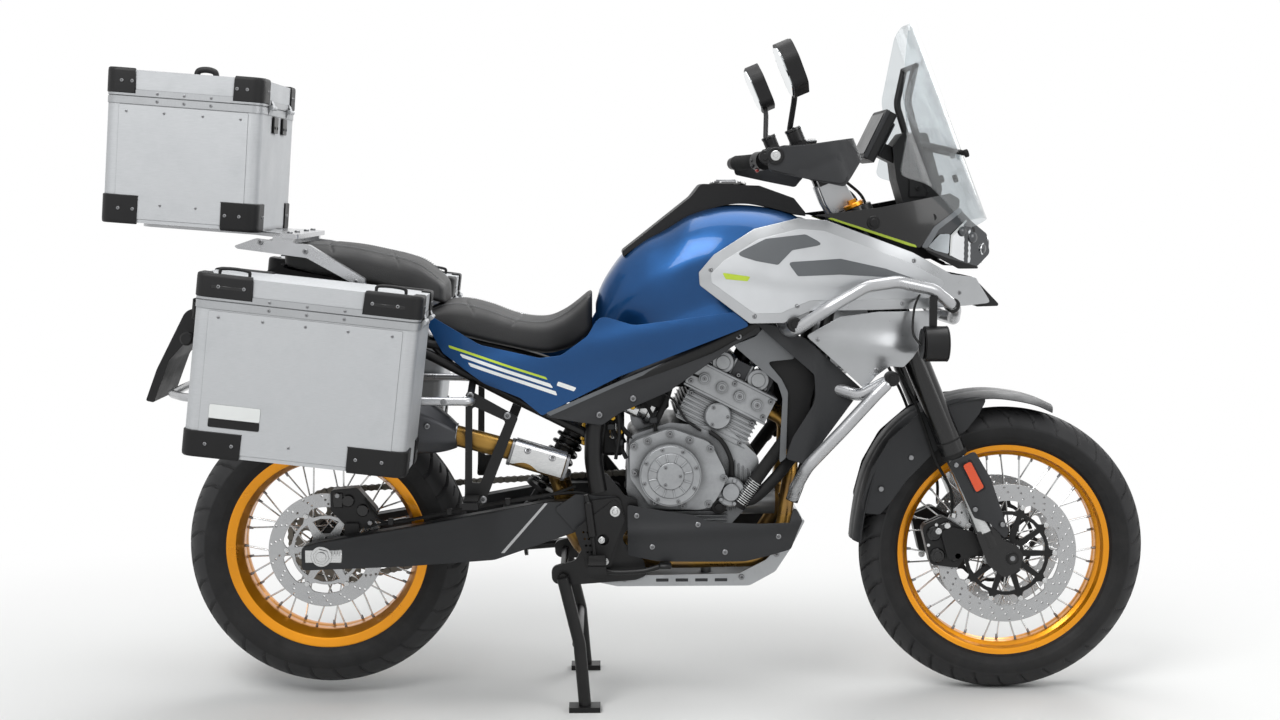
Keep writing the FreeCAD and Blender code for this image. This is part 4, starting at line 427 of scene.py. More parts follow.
class Pile:
    """Many small shapes gathered into one mesh piece; both repeats each of them on the other side."""

    def __init__(self, place=world_place, both=False):
        self.points, self.faces, self.place = [], [], place
        self.sides = (-1, 1) if both else (1,)

    def mirrored(self, *places):
        """The places on each side in turn, as vectors."""
        for side in self.sides:
            yield [Vector((p[0], p[1] * side, p[2])) for p in places]

    def add(self, points, faces):
        start = len(self.points)
        self.points += [self.place(*p) for p in points]
        self.faces += [[start + i for i in face] for face in faces]

    def grid(self, rows, caps=False, placed=False, closed=True):
        """Joins rows of points of equal length with faces."""
        start, width = len(self.points), len(rows[0])
        for row in rows:
            self.points += row if placed else [self.place(*p) for p in row]
        for i in range(len(rows) - 1):
            for j in range(width if closed else width - 1):
                k, low = (j + 1) % width, start + i * width
                self.faces.append([low + j, low + k, low + width + k, low + width + j])
        if caps:
            last = len(self.points) - width
            self.faces += [[start + j for j in range(width)][::-1], [last + j for j in range(width)]]

    def box(self, low, high, bevel=1.0):
        """A box with chamfered edges."""
        b = min(bevel, min(abs(h - l) for l, h in zip(low, high)) * 0.45)
        for one, two in self.mirrored(low, high):
            (x0, x1), (y0, y1), (z0, z1) = (sorted(pair) for pair in zip(one, two))
            rows = []
            for z, inset in ((z0, b), (z0 + b, 0), (z1 - b, 0), (z1, b)):
                i, c = inset, inset + b * (inset == 0)
                rows.append([(x0 + c, y0 + i, z), (x1 - c, y0 + i, z), (x1 - i, y0 + c, z), (x1 - i, y1 - c, z),
                             (x1 - c, y1 - i, z), (x0 + c, y1 - i, z), (x0 + i, y1 - c, z),
                             (x0 + i, y0 + c, z)])
            self.grid(rows, caps=True)

    def rod(self, start, end, radius, sides=16, bevel=0.0, end_radius=None):
        r0, r1, b = radius * MM, (radius if end_radius is None else end_radius) * MM, bevel * MM
        for one, two in self.mirrored(start, end):
            one, two = self.place(*one), self.place(*two)
            length, axis = (two - one).length, (two - one).normalized()
            steps = [(0, r0 - b), (b, r0), (length - b, r1), (length, r1 - b)] if b else [(0, r0), (length, r1)]
            self.grid([ring(one + axis * along, *square_to(axis), r, sides) for along, r in steps], True, True)

    def pin(self, x, z, y0, y1, *size):
        """A rod straight across the machine."""
        self.rod((x, y0, z), (x, y1, z), *size)

    def bolt(self, at, direction, radius=5.0, height=3.5):
        """A socket-head screw: a low domed head with a hexagonal recess."""
        r, h = radius * MM, height * MM
        for spot, way in self.mirrored(at, direction):
            spot, tip = self.place(*spot), way.normalized()
            across, other = square_to(tip)
            rows = []
            for along, size in ((-0.001, r), (h * 0.7, r), (h, r * 0.82), (h, r * 0.5), (h * 0.35, r * 0.5)):
                row = []
                for a in turns(18):
                    corner = 0.92 / math.cos(a % (math.pi / 3) - math.pi / 6) if size <= r * 0.5 else 1
                    outward = across * math.cos(a) + other * math.sin(a)
                    row.append(spot + tip * along + outward * size * corner)
                rows.append(row)
            self.grid(rows, True, True)

    def hose(self, points, radius, count=24, sides=12, soft=True):
        """A round hose or pipe through the given places."""
        for places in self.mirrored(*points):
            path = smooth_path(places, count) if soft else places
            up = Vector((0, 1, 0.01))
            rows = []
            for i, p in enumerate(path):
                along = (path[min(i + 1, len(path) - 1)] - path[max(i - 1, 0)]).normalized()
                across = along.cross(up)
                if across.length < 1e-3:
                    across = along.orthogonal()
                across.normalize()
                up = across.cross(along).normalized()
                rows.append([tuple(q) for q in ring(p, across, up, radius, sides)])
            self.grid(rows, caps=True)

    def dome(self, at, nose, radius, height, rings=7, last=7, sides=36, sink=0.0, spread=0.0):
        """A lens that bulges from a place towards its nose."""
        for base, way in self.mirrored(at, nose):
            way.normalize()
            rows = []
            for k in range(rings):
                a = math.pi / 2 * k / last
                rows.append([tuple(q) for q in ring(base + way * (math.sin(a) * height - sink), *square_to(way),
                                                    math.cos(a) * radius + spread, sides)])
            self.grid(rows, caps=True)

    def done(self, name, material, body="root", angle=40):
        return piece(name, self.points, self.faces, material, body, angle)


def made(name, material, *shapes, body="root", place=world_place, both=False, angle=40):
    """One piece from (kind, values...) rows, where a kind names one of the pile's shapes."""
    pile = Pile(place, both)
    for kind, *values in shapes:
        getattr(pile, kind)(*values)
    return pile.done(name, material, body, angle)


def rounded(outline, step=6.0):
    """An outline of (a, b[, radius]) corners, rounded and cut into short runs."""
    points = []
    corners = [Vector(c[:2]) for c in outline]
    for i, corner in enumerate(outline):
        here, before, after = corners[i], corners[i - 1], corners[(i + 1) % len(outline)]
        radius = corner[2] if len(corner) > 2 else 0
        if radius <= 0:
            points.append(here)
            continue
        u, v = (before - here), (after - here)
        shorter = min(u.length, v.length)
        u.normalize()
        v.normalize()
        half = max(1e-3, math.acos(max(-1, min(1, u.dot(v)))) / 2)
        reach = min(radius / math.tan(half), 0.48 * shorter) if half < 1.56 else 0
        a, b = here + u * reach, here + v * reach
        n = max(2, int((a - b).length / step) + 2)
        for t in (k / n for k in range(n + 1)):
            points.append(a * (1 - t) ** 2 + here * 2 * t * (1 - t) + b * t * t)
    fine = []
    for i, p in enumerate(points):
        q = points[(i + 1) % len(points)]
        gap = (q - p).length
        if gap >= 1e-4:
            n = max(1, int(gap / (step * 1.6)))
            fine += [p.lerp(q, k / n) for k in range(n)]
    return fine


def inside(p, polygon):
    """Whether a point lies in a closed outline."""
    hit = False
    for i, b in enumerate(polygon):
        a = polygon[i - 1]
        if (a.y > p.y) != (b.y > p.y) and p.x < (a.x - b.x) * (p.y - b.y) / (a.y - b.y) + b.x:
            hit = not hit
    return hit


def edge_gap(p, polygon):
    """How far a point lies from an outline's nearest edge."""
    best = 1e9
    for i, b in enumerate(polygon):
        a = polygon[i - 1]
        d = b - a
        t = max(0, min(1, (p - a).dot(d) / max(1e-9, d.length_squared)))
        best = min(best, (a + d * t - p).length)
    return best


def joined(loops):
    """All points of the loops, and the edges that close each of them."""
    points, edges = [], []
    for loop in loops:
        start, count = len(points), len(loop)
        points += loop
        edges += [(start + i, start + (i + 1) % count) for i in range(count)]
    return points, edges


def filled(outline, holes, step):
    """Triangles that fill a rounded outline, with points inside it so that it can be bent."""
    border, *gaps = loops = [rounded(loop) for loop in (outline, *holes)]
    points, edges = joined(loops)
    xs, ys = [p.x for p in border], [p.y for p in border]
    row, y = 0, min(ys) + step * 0.5
    while y < max(ys):
        x = min(xs) + step * (0.5 if row % 2 else 0.0)
        while x < max(xs):
            p = Vector((x, y))
            if inside(p, border) and edge_gap(p, border) > step * 0.45:
                if not any(inside(p, h) or edge_gap(p, h) < step * 0.45 for h in gaps):
                    points.append(p)
            x += step
        y += step * 0.87
        row += 1
    result = delaunay_2d_cdt(points, edges, [], 2, 1e-5)
    return result[0], [list(face) for face in result[2]]


def skin(name, outline, surface, thick, material, step=12.0, bevel=1.2, body="root", place=world_place,
         holes=()):
    """A bent sheet on each side: its side outline is filled, and surface(x, z) says how far out it lies."""
    flat, faces = filled(outline, holes, step)
    things = []
    for side, label in SIDES:
        points = [place(p.x, side * surface(p.x, p.y), p.y) for p in flat]
        thing = piece(name + "_" + label, points, [face if side < 0 else face[::-1] for face in faces],
                      material, body, 50)
        if sum(face.normal.y * face.area for face in thing.data.polygons) * side < 0:
            thing.data.flip_normals()
        solid = thing.modifiers.new("thick", "SOLIDIFY")
        solid.thickness = thick * MM
        solid.offset = -1
        softened(thing, bevel, 2)
        things.append(thing)
    return things


def slab(name, loops, y0, y1, material, body="root", chamfer=0.5, centre=Vector((0, 0, 0)), place=world_place):
    """A flat plate standing on edge: the first loop is its outline, the others are holes."""
    outline, *holes = loops = [[Vector(p) for p in loop] for loop in loops]
    result = delaunay_2d_cdt(*joined(loops), [], 0, 1e-5)
    flat, faces = result[0], []
    boxes = [(min(p.x for p in h), max(p.x for p in h), min(p.y for p in h), max(p.y for p in h))
             for h in holes]
    for face in result[2]:
        middle = sum((flat[i] for i in face), Vector((0, 0))) / len(face)
        near = [h for h, box in zip(holes, boxes) if box[0] < middle.x < box[1] and box[2] < middle.y < box[3]]
        if inside(middle, outline) and not any(inside(middle, h) for h in near):
            faces.append(face)
    pile, c = Pile(place), centre * 1000
    for y in (y0, y1):
        pile.add([(p.x + c.x, y + c.y, p.y + c.z) for p in flat], faces)
    for loop in loops:
        pile.grid([[(p.x + c.x, y + c.y, p.y + c.z) for p in loop] for y in (y0, y1)])
    thing = pile.done(name, material, body, 35)
    thing.modifiers.new("weld", "WELD").merge_threshold = 0.00002
    softened(thing, chamfer, 1)
    return thing


def along_line(table, x):
    """A value read from a table of (place, value) pairs, on straight lines between them."""
    if x <= table[0][0]:
        return table[0][1]
    for (x0, v0), (x1, v1) in zip(table, table[1:]):
        if x <= x1:
            return v0 + (v1 - v0) * (x - x0) / (x1 - x0)
    return table[-1][1]


def curve(*table):
    """A function that reads a table of (place, value) pairs with a soft curve through its values."""
    xs, vs = zip(*table)
    last = len(xs) - 1

    def slope(k):
        lo, hi = max(0, k - 1), min(last, k + 1)
        return (vs[hi] - vs[lo]) / (xs[hi] - xs[lo])

    def value(x):
        if x <= xs[0] or x >= xs[-1]:
            return vs[0] if x <= xs[0] else vs[-1]
        i = max(k for k in range(last) if xs[k] <= x)
        h = xs[i + 1] - xs[i]
        t = (x - xs[i]) / h
        return ((2 * t ** 3 - 3 * t * t + 1) * vs[i] + (t ** 3 - 2 * t * t + t) * h * slope(i)
                + (-2 * t ** 3 + 3 * t * t) * vs[i + 1] + (t ** 3 - t * t) * h * slope(i + 1))

    return value


def rise(value):
    """A soft step from 0 to 1 about a value of 0."""
    return 1 / (1 + math.exp(-value))


def revolved(name, profile, centre, material, body, steps, angle, height=None):
    """A ring about a wheel axle from (sideways, radius) points, lowered by height(turn, sideways, radius)."""
    points, faces, width = [], [], len(profile)
    for k, turn in enumerate(turns(steps)):
        here, after = k * width, (k + 1) % steps * width
        for j, (y, r) in enumerate(profile):
            x, z = polar(r - (height(turn, y, r) if height else 0), turn)
            points.append(centre + Vector((x, y, z)) * MM)
            faces.append([here + j, here + (j + 1) % width, after + (j + 1) % width, after + j])
    return piece(name, points, faces, material, body, angle)


def about(spot, radius, angle, y):
    """A place round an (x, z) spot."""
    x, z = polar(radius, angle, *spot)
    return x, y, z


# Wheels
SPOKES = 36
SPOKE_SPREAD = 0.36


def tyre(node, body, centre, material, radius, half, seat, bead, blocks):
    """A tyre with cut grooves, wide at its shoulders and stepped on its walls."""
    side = [
        (0.0, 0.0), (0.10, 0.4), (0.20, 1.4), (0.30, 3.2), (0.40, 5.6), (0.50, 8.8), (0.60, 13.0),
        (0.70, 18.0), (0.79, 24.0), (0.87, 31.0), (0.93, 38.5), (0.975, 47.0)]
    top, fine = radius - 1.0, 22
    profile = [(s * half, top - along_line(side, s)) for s in (k / fine * 0.975 for k in range(fine + 1))]
    wall = [(0.992, 0.56), (1.0, 0.50), (0.995, 0.42), (0.975, 0.34), (0.955, 0.30), (0.95, 0.28), (0.93, 0.26),
            (0.88, 0.19), (0.82, 0.12), (0.80, 0.105), (0.78, 0.10), (0.70, 0.05)]
    profile += [(s * (half - 0.8), seat + t * (top - seat)) for s, t in wall]
    profile += [(bead + 1, seat + 2), (bead - 4, seat + 0.6), (bead - 10, seat + 3)]

    def groove(turn, y, r):
        s = abs(y) / half
        if r < top - 44:
            return 0.0
        if 0.07 < s < 0.12:
            return 3.2
        phase = (turn * blocks / (2 * math.pi) + 0.9 * s + (0.25 if y > 0 else 0.0)) % 1
        if 0.16 < s < 0.97 and phase < 0.085 + 0.06 * s:
            return 6.0
        if 0.30 < s < 0.62 and 0.50 < phase < 0.56:
            return 3.4
        return 0.0

    ring = profile + [(-y, r) for y, r in reversed(profile) if y > 0]
    shown_for([revolved(node + "_looks", ring, centre, material, body, 720, 28, groove)], node)


def rim(node, body, centre, seat, half):
    """A rim with its spokes' nipples, sunk on both sides of a middle rib."""
    name = node + "_looks"
    well, lip = 17, 14
    loop = [
        (half + 4, seat + lip - 0.4), (half + 5, seat + lip - 2.2), (half + 5, seat + lip - 5),
        (half + 3.4, seat + 4),
        (half + 3, seat - 3), (half + 1, seat - 8.5), (half - 5, seat - 11.5), (half - 10, seat - 13),
        (half * 0.56, seat - well - 3.6), (half * 0.4, seat - well - 5), (6, seat - well - 5),
        (4, seat - well - 4.2), (0, seat - well - 4.2)]
    inner = [
        (0, seat - well), (half * 0.4, seat - well), (half * 0.62, seat - 6), (half - 8, seat - 4.5),
        (half - 4, seat - 0.6), (half, seat - 0.4), (half + 1.6, seat + 3), (half + 2, seat + lip - 2)]
    ring = loop + [(-y, r) for y, r in reversed(loop[:-1])] + [(-y, r) for y, r in reversed(inner)] + inner[1:]
    shown_for([revolved(name, ring, centre, gold, body, 200, 40)], node)
    nipples = Pile()
    for k, a in enumerate(turns(SPOKES)):
        side, out = 1 if k % 2 else -1, Vector((math.cos(a), 0, math.sin(a)))
        p = centre * 1000 + out * (seat - well - 3) + Vector((0, side * half * SPOKE_SPREAD, 0))
        nipples.rod(p, p - out * 11 + Vector((0, side * 1.6, 0)), 3.4, 10, 0.6, 2.7)
    nipples.done(name + "_nipples", bolt_steel, body, 35)


def hub(node, body, centre, width, flange, rim_radius, rim_half):
    """A hub shell and its laced spokes."""
    name = node + "_looks"
    half = [
        (width / 2, 11), (width / 2, 23), (width / 2 - 2, 25), (flange + 8, 26), (flange + 6, 30),
        (flange + 6, 44),
        (flange + 4.5, 45.5), (flange + 1.5, 45.5), (flange, 44), (flange, 30), (flange - 3, 24),
        (flange * 0.5, 25),
        (0, 25.5)]
    revolved(name + "_shell", half + [(-y, r) for y, r in reversed(half[:-1])], centre, black_satin,
             body, 96, 35)
    wires, c = Pile(), centre * 1000
    for k, a in enumerate(turns(SPOKES)):
        side, lean = 1 if k % 2 else -1, 1 if k // 2 % 2 else -1
        start = Vector(about((c.x, c.z), 39, a + lean * math.radians(52), side * (flange + 3 + lean * 4.2)))
        end = Vector(about((c.x, c.z), rim_radius, a, side * rim_half * SPOKE_SPREAD))
        wires.rod(start, end, 2.0, 8)
        head = start + (start - end).normalized() * 2
        wires.rod(head, head + (end - start).normalized() * 6, 3.0, 8, 0.5)
    shown_for([wires.done(name + "_spokes", bright_steel, body, 35)], node)


def brake_disc(name, node, body, centre, radius, y_in, y_out, seat_y, buttons, carrier_metal):
    """A drilled ring with lugs at its buttons, on an open carrier of thin arms."""
    track, c = radius * 0.76, centre * 1000
    spot, middle, sign = (c.x, c.z), (y_in + y_out) / 2, -1 if y_out < 0 else 1
    fine = turns(buttons * 16)
    lugs = [polar(track - 13 * max(0.0, math.cos(a * buttons)) ** 3, a) for a in fine]
    holes = [circle(*polar(track + (radius - track) * share, a + shift), 2.6, 10)
             for a in turns(buttons * 3, 0.5) for share, shift in ((0.22, -0.06), (0.52, 0), (0.82, 0.06))]
    ring = slab(name + "_ring", [circle(0, 0, radius - 0.6, 160), lugs] + holes, y_in, y_out, steel, body,
                0.4, centre)
    shown_for([ring], node)
    edge = [polar(track * (0.80 + 0.13 * max(0.0, math.cos(a * buttons)) ** 4), a) for a in fine]
    windows = [[polar(r, a + t * math.pi / buttons) for r, t in (
        (39, -0.42), (39, 0.42), (track * 0.52, 0.66), (track * 0.72, 0.80), (track * 0.735, 0.3),
        (track * 0.735, -0.3), (track * 0.72, -0.80), (track * 0.52, -0.66))] for a in turns(buttons, 0.5)]
    slab(name + "_carrier", [edge, circle(0, 0, 15, 32)] + windows, middle - 2.6, middle + 2.6, carrier_metal,
         body, 0.5, centre)
    small = Pile()
    for a in turns(buttons):
        for y0, y1, size, sides, soft in ((y_in - 1.4 * sign, y_out + 1.6 * sign, 6.2, 20, 0.8),
                                          (y_out + 1.4 * sign, y_out + 2.2 * sign, 3, 12, 0.3)):
            small.rod(about(spot, track * 0.905, a, y0), about(spot, track * 0.905, a, y1), size, sides, soft)
    for a in turns(6):
        small.bolt(about(spot, 28, a + 0.5, y_out - 0.4 * sign), (0, sign, 0), 5.0, 4)
    small.done(name + "_buttons", bright_steel, body, 35)
    made(name + "_seat", black_satin, ("pin", c.x, c.z, seat_y, middle, 36, 40, 1), body=body, angle=35)


tyre("front_tyre", "front_wheel", FRONT_AXLE, front_rubber, 330, 55, 241, 34, 34)
tyre("rear_tyre", "rear_wheel", REAR_AXLE, rear_rubber, 321, 75, 216, 56, 32)
rim("front_rim", "front_wheel", FRONT_AXLE, 241, 34)
rim("rear_rim", "rear_wheel", REAR_AXLE, 216, 56)
hub("front_hub", "front_wheel", FRONT_AXLE, 120, 36, 218.4, 34)
hub("rear_hub", "rear_wheel", REAR_AXLE, 130, 37, 193.4, 56)
for sign, label in SIDES:
    brake_disc("front_disc_" + label, "front_discs", "front_wheel", FRONT_AXLE, 160, 66 * sign, 71 * sign,
               60 * sign,
               10, black_satin)
brake_disc("rear_disc_looks", "rear_disc", "rear_wheel", REAR_AXLE, 130, -72, -77, -65, 6, steel)


def sprocket():
    outer = []
    for k, a in enumerate(turns(46 * 6)):
        phase = k % 6
        outer.append(polar(103.2 if phase in (2, 3) else 97 if phase in (0, 5) else 100, a))
    holes = [circle(0, 0, 30, 40)]
    for a in turns(6):
        holes += [circle(*polar(72, a), 13, 24), circle(*polar(72, a + math.pi / 6), 8, 16)]
    wheel = slab("rear_sprocket_looks", [outer] + holes, 86.5, 93, chain_steel, "rear_wheel", 0.5, REAR_AXLE)
    shown_for([wheel], "rear_sprocket")
    c = REAR_AXLE * 1000
    made("sprocket_carrier", black_satin, ("pin", c.x, c.z, 64, 87, 50, 48, 1.5),
         *[("bolt", about((c.x, c.z), 42, a, 92.6), OUT, 7, 5) for a in turns(6, 0.5)], body="rear_wheel",
         angle=35)


def chain():
    """Links with side plates and rollers all the way round both sprockets."""
    pitch_wanted, lane = 15.875, 90
    rear, front = Vector((REAR_AXLE.x, REAR_AXLE.z)) * 1000, Vector((25, 452))
    big, small = 109, 45
    line = front - rear
    tilt, base = math.asin((big - small) / line.length), math.atan2(line.y, line.x)
    upper, lower = base + math.pi / 2 - tilt, base - math.pi / 2 + tilt
    path = []
    for centre, radius, start, end, steps in ((front, small, upper, lower, 24),
                                              (rear, big, lower, upper - 2 * math.pi, 60)):
        path += [centre + Vector(polar(radius, start + (end - start) * k / steps)) for k in range(steps + 1)]
    path.append(path[0])
    total = sum((b - a).length for a, b in zip(path, path[1:]))
    count = 2 * round(total / pitch_wanted / 2)
    spots, goal, walked = [], 0.0, 0.0
    for a, b in zip(path, path[1:]):
        gap = (b - a).length
        while goal <= walked + gap and len(spots) < count and gap > 1e-6:
            spots.append(a.lerp(b, (goal - walked) / gap))
            goal += total / count
        walked += gap
    plates, rollers = Pile(), Pile()
    for k, spot in enumerate(spots):
        step = spots[(k + 1) % count] - spot
        along, length = step.normalized(), step.length
        across = Vector((-along.y, along.x))
        shape = [polar(7, math.pi / 2 + math.pi * j / 8) for j in range(9)] + [(length / 2, -5.2)]
        shape += [polar(7, -math.pi / 2 + math.pi * j / 8, length) for j in range(9)] + [(length / 2, 5.2)]
        ring_of = [spot + along * u + across * v for u, v in shape]
        wide = 7.6 if k % 2 else 5.4
        for side in (-1, 1):
            plates.grid([[(p.x, lane + side * out, p.y) for p in ring_of] for out in (wide - 1.7, wide)],
                        caps=True)
        rollers.pin(spot.x, spot.y, lane - 7, lane + 7, 4.6, 10)
    shown_for([plates.done("chain_plates", chain_steel, angle=35)], "drive_chain")
    rollers.done("chain_rollers", bolt_steel, angle=35)


sprocket()
chain()

# Bodywork
tank_half = curve((-130, 74), (-104, 82), (-48, 114), (50, 158), (130, 174), (184, 178), (290, 170), (368, 128))
tank_top = curve((-104, 925), (-48, 1006), (0, 1045), (50, 1070), (109, 1104), (184, 1122), (277, 1118),
                 (368, 1094))
tank_low = curve((-104, 727), (-50, 757), (120, 822), (224, 864), (300, 900), (368, 930))


def quarter(share):
    """The height of a round end, 0 at its tip and 1 where it meets the body."""
    return math.sqrt(max(0.0, 1 - (1 - share) ** 2))


def tank():
    """A soft shell whose sections narrow towards the seat and towards the steering head."""
    stations, count, ends = 60, 44, 0.06
    rows = []
    for k in range(stations + 1):
        t = k / stations
        x = -104 + 470 * t
        half, top, low = tank_half(x), tank_top(x), tank_low(x)
        pull = quarter(min(1, t / ends, (1 - t) / ends)) * 0.25 + 0.75
        row = []
        for j in range(count + 1):
            s, c = math.sin(math.pi * j / count), math.cos(math.pi * j / count)
            lift = abs(s) ** 0.72
            waist = 1 - 0.10 * bulge(lift, 0.30, 0.18) + 0.02 * bulge(lift, 0.66, 0.12)
            y = half * math.copysign(abs(c) ** 0.55, c) * waist * pull
            row.append((x, y, low + (top - low) * lift * (0.5 + 0.5 * pull)))
        rows.append(row)
    shell = Pile()
    shell.grid(rows, caps=True)
    shown_for([shell.done("tank_shell", blue, angle=50)], "fuel_tank")


tank()

# What each node of the frame is made of; every other one is black plastic
FINISHES = {
    black_satin: "main_frame subframe triple_clamps handlebar front_calipers rear_caliper foot_hangers "
                 "centre_stand side_stand fog_lamps rear_shock",
    plastic_grey: "swingarm belly_covers radiator_shrouds front_fender fork_guards handguards",
    silver_bar: "pannier_racks crash_bars rear_carrier",
    aluminium: "pannier_boxes pannier_lid_right pannier_lid_left top_case_box top_case_lid",
    black_gloss: "fork_legs cockpit_panels",
    bronze: "header_pipes exhaust_pipe",
    silver: "side_fairings fairing_wings",
    blue: "tank_side_panels fuel_tank",
    seat_cover: "rider_seat passenger_seat",
    aluminium_band: "skid_plate",
    core_fins: "radiator",
    engine_grey: "engine_crankcase",
    engine_head: "cylinder_block",
    muffler_dark: "muffler",
    chain_steel: "drive_chain",
    lamp_glass: "headlight",
    screen_clear: "windscreen",
    lamp_red: "tail_lamp",
}
FINISH_OF = {node: material for material, nodes in FINISHES.items() for node in nodes.split()}
for label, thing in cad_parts.items():
    material = FINISH_OF.get(label, plastic)
    for index in range(len(thing.data.materials)):
        thing.data.materials[index] = material
    if not thing.data.materials:
        thing.data.materials.append(material)


def band(name, outline, surface, material, lift=0.7):
    """A thin painted shape that lies just off a skin on both sides."""
    return skin(name, outline, lambda x, z: surface(x, z) + lift, 0.9, material, 10, 0.2)


def side_bolts(name, places, radius=5.0, height=3.5, material=bolt_steel):
    """Screw heads that face outwards on both sides, from places on the left."""
    return made(name, material, *[("bolt", at, OUT, radius, height) for at in places], both=True)


def lying_on(surface, spots, sink=0.6):
    """Places on a skin at (x, z) spots, sunk a little into it."""
    return [(x, surface(x, z) - sink, z) for x, z in spots]


# Blue lower panels with their bands
lower_y = curve((-490, 150), (-300, 161), (-100, 170), (100, 184), (236, 190))


def lower_surface(x, z):
    return lower_y(x) - 4 + 9 * bulge(z, 790 + 0.22 * (x + 200), 36) - 0.0009 * max(0, z - 830) ** 2


shown_for(skin("lower_panel", [
    (-490, 896, 6), (-465, 846, 20), (-440, 800, 20), (-347, 732, 30), (-270, 701, 20), (-222, 662, 6),
    (-50, 750, 40), (232, 862, 6), (200, 892, 10), (-20, 862, 60), (-96, 884, 30), (-122, 838, 30),
    (-180, 796, 30), (-226, 790, 30), (-358, 818, 60)], lower_surface, 4, blue), "tank_side_panels")
band("lime_line", [(-428, 818, 2), (-214, 748, 2), (-208, 741, 2), (-424, 811, 2)], lower_surface, lime_band)
band("white_line_upper", [(-404, 800, 2), (-204, 733, 2), (-196, 722, 2), (-396, 790, 2)], lower_surface,
     white_band)
band("white_line_lower", [(-386, 781, 2), (-192, 716, 2), (-188, 706, 2), (-378, 771, 2)], lower_surface,
     white_band)
band("white_tip", [(-186, 738, 2), (-146, 724, 2), (-152, 716, 2), (-190, 729, 2)], lower_surface, white_band)

# Silver side fairings
fairing_y = curve((118, 184), (180, 204), (240, 220), (330, 236), (420, 244), (510, 233), (600, 205),
                  (660, 170),
                  (720, 122), (800, 44))


def fairing_surface(x, z):
    line = 948 + 0.02 * (x - 300) + 26 * bulge(x, 180, 90)
    roll = 0.0011 * max(0, z - 985) ** 2 + 0.0012 * max(0, 930 - z) ** 2
    return fairing_y(x) - 7 * rise((line - z) / 4) - roll + 2


BAND_LIFT = 2.3
shown_for(skin("side_fairing", [
    (120, 978, 6), (152, 1017, 12), (237, 1073, 30), (330, 1096, 40), (390, 1092, 20), (582, 1022, 60),
    (678, 972, 20), (745, 962, 14), (792, 902, 6), (720, 900, 20), (362, 898, 40), (302, 870, 14),
    (230, 868, 10),
    (122, 950, 10)], fairing_surface, 4, silver, 9), "side_fairings")
skin("fairing_inset", [
    (146, 976, 6), (174, 1005, 12), (247, 1051, 30), (332, 1073, 40), (386, 1069, 20), (574, 1000, 60),
    (664, 955, 12), (636, 922, 14), (358, 920, 40), (296, 892, 14), (240, 890, 10), (148, 956, 8)],
    lambda x, z: fairing_surface(x, z) + 1.6, 2.4, inset_silver, 9, 0.7)
band("fairing_band", [(196, 1018, 8), (262, 1052, 12), (346, 1062, 14), (386, 1040, 6), (318, 1028, 10),
                      (288, 996, 6), (242, 1004, 8)], fairing_surface, grey_band, BAND_LIFT)
band("fairing_band_two", [(308, 1002, 6), (420, 1010, 8), (520, 988, 8), (630, 950, 4), (520, 970, 8),
                          (420, 976, 8), (330, 972, 6)], fairing_surface, grey_band, BAND_LIFT)
band("fairing_lime", [(170, 978, 2), (230, 970, 2), (224, 960, 2), (178, 964, 2)], fairing_surface, lime_band,
     BAND_LIFT)
side_bolts("fairing_screws", lying_on(fairing_surface, (
    (146, 984), (240, 884), (330, 908), (560, 912), (700, 930), (584, 1004))), 5.2, 2.6)

# Silver wings under the fairings
wing_y = curve((346, 214), (410, 228), (470, 235), (540, 226), (600, 206), (672, 162))


def wing_surface(x, z):
    return wing_y(x) - 0.05 * max(0, 880 - z) + 9 * bulge(z, 842 - 0.16 * (x - 350), 26) - 5


shown_for(skin("fairing_wing", [
    (351, 842, 6), (424, 884, 40), (504, 895, 20), (663, 894, 8), (633, 858, 20), (585, 792, 20), (566, 772, 8),
    (534, 775, 8), (504, 754, 8), (480, 726, 8)], wing_surface, 4, silver, 9), "fairing_wings")
side_bolts("wing_screws", lying_on(wing_surface, ((376, 834), (636, 882), (504, 768))), 5, 2.4)

# Black cockpit panels with a lime edge
cockpit_y = curve((362, 150), (430, 153), (500, 152), (570, 145), (640, 131), (706, 108))


def cockpit_surface(x, z):
    return cockpit_y(x) - 0.0012 * max(0, z - 1070) ** 2 + 1.5


shown_for(skin("cockpit_panel", [
    (368, 1100, 4), (520, 1118, 60), (681, 1149, 10), (704, 1136, 6), (703, 1118, 6), (642, 1076, 10),
    (612, 1030, 6), (584, 1034, 10), (400, 1098, 6)], cockpit_surface, 4, black_gloss, 9),
    "cockpit_panels")
band("cockpit_lime", [(412, 1096, 1), (600, 1036, 2), (604, 1030, 1), (586, 1034, 2), (404, 1094, 1)],
     cockpit_surface, lime_band)
y = cockpit_surface(505, 1085) - 1
made("cockpit_caps", black_satin, ("pin", 505, 1085, y, y + 4, 15, 32, 1.2),
     ("pin", 505, 1085, y + 4, y + 6.5, 9, 24, 1.0), both=True, angle=35)

# Shrouds beside the radiator, and the belly covers
shroud_y = curve((236, 172), (300, 188), (350, 198), (400, 203), (486, 196))
shown_for(skin("shroud", [
    (243, 868), (284, 862), (353, 834, 10), (479, 723, 10), (356, 557, 14), (312, 568, 10), (327, 615, 20),
    (376, 700, 60), (372, 756, 20), (327, 795, 30)],
    lambda x, z: shroud_y(x) - 6 + 8 * bulge(x, 372 + 0.12 * (z - 700), 22), 4, plastic_grey, 9,
    holes=[[(404, 716, 4), (444, 716, 6), (424, 686, 4), (398, 690, 4)],
           [(388, 672, 4), (416, 676, 4), (394, 642, 4), (380, 646, 3)]]), "radiator_shrouds")
belly_y = curve((-40, 166), (0, 182), (60, 194), (150, 198), (240, 194), (300, 176), (356, 150))


def belly_surface(x, z):
    return belly_y(x) - 5 + 5 * bulge(z, 404 + 0.05 * x, 15) - 0.002 * max(0, 372 - z) ** 2


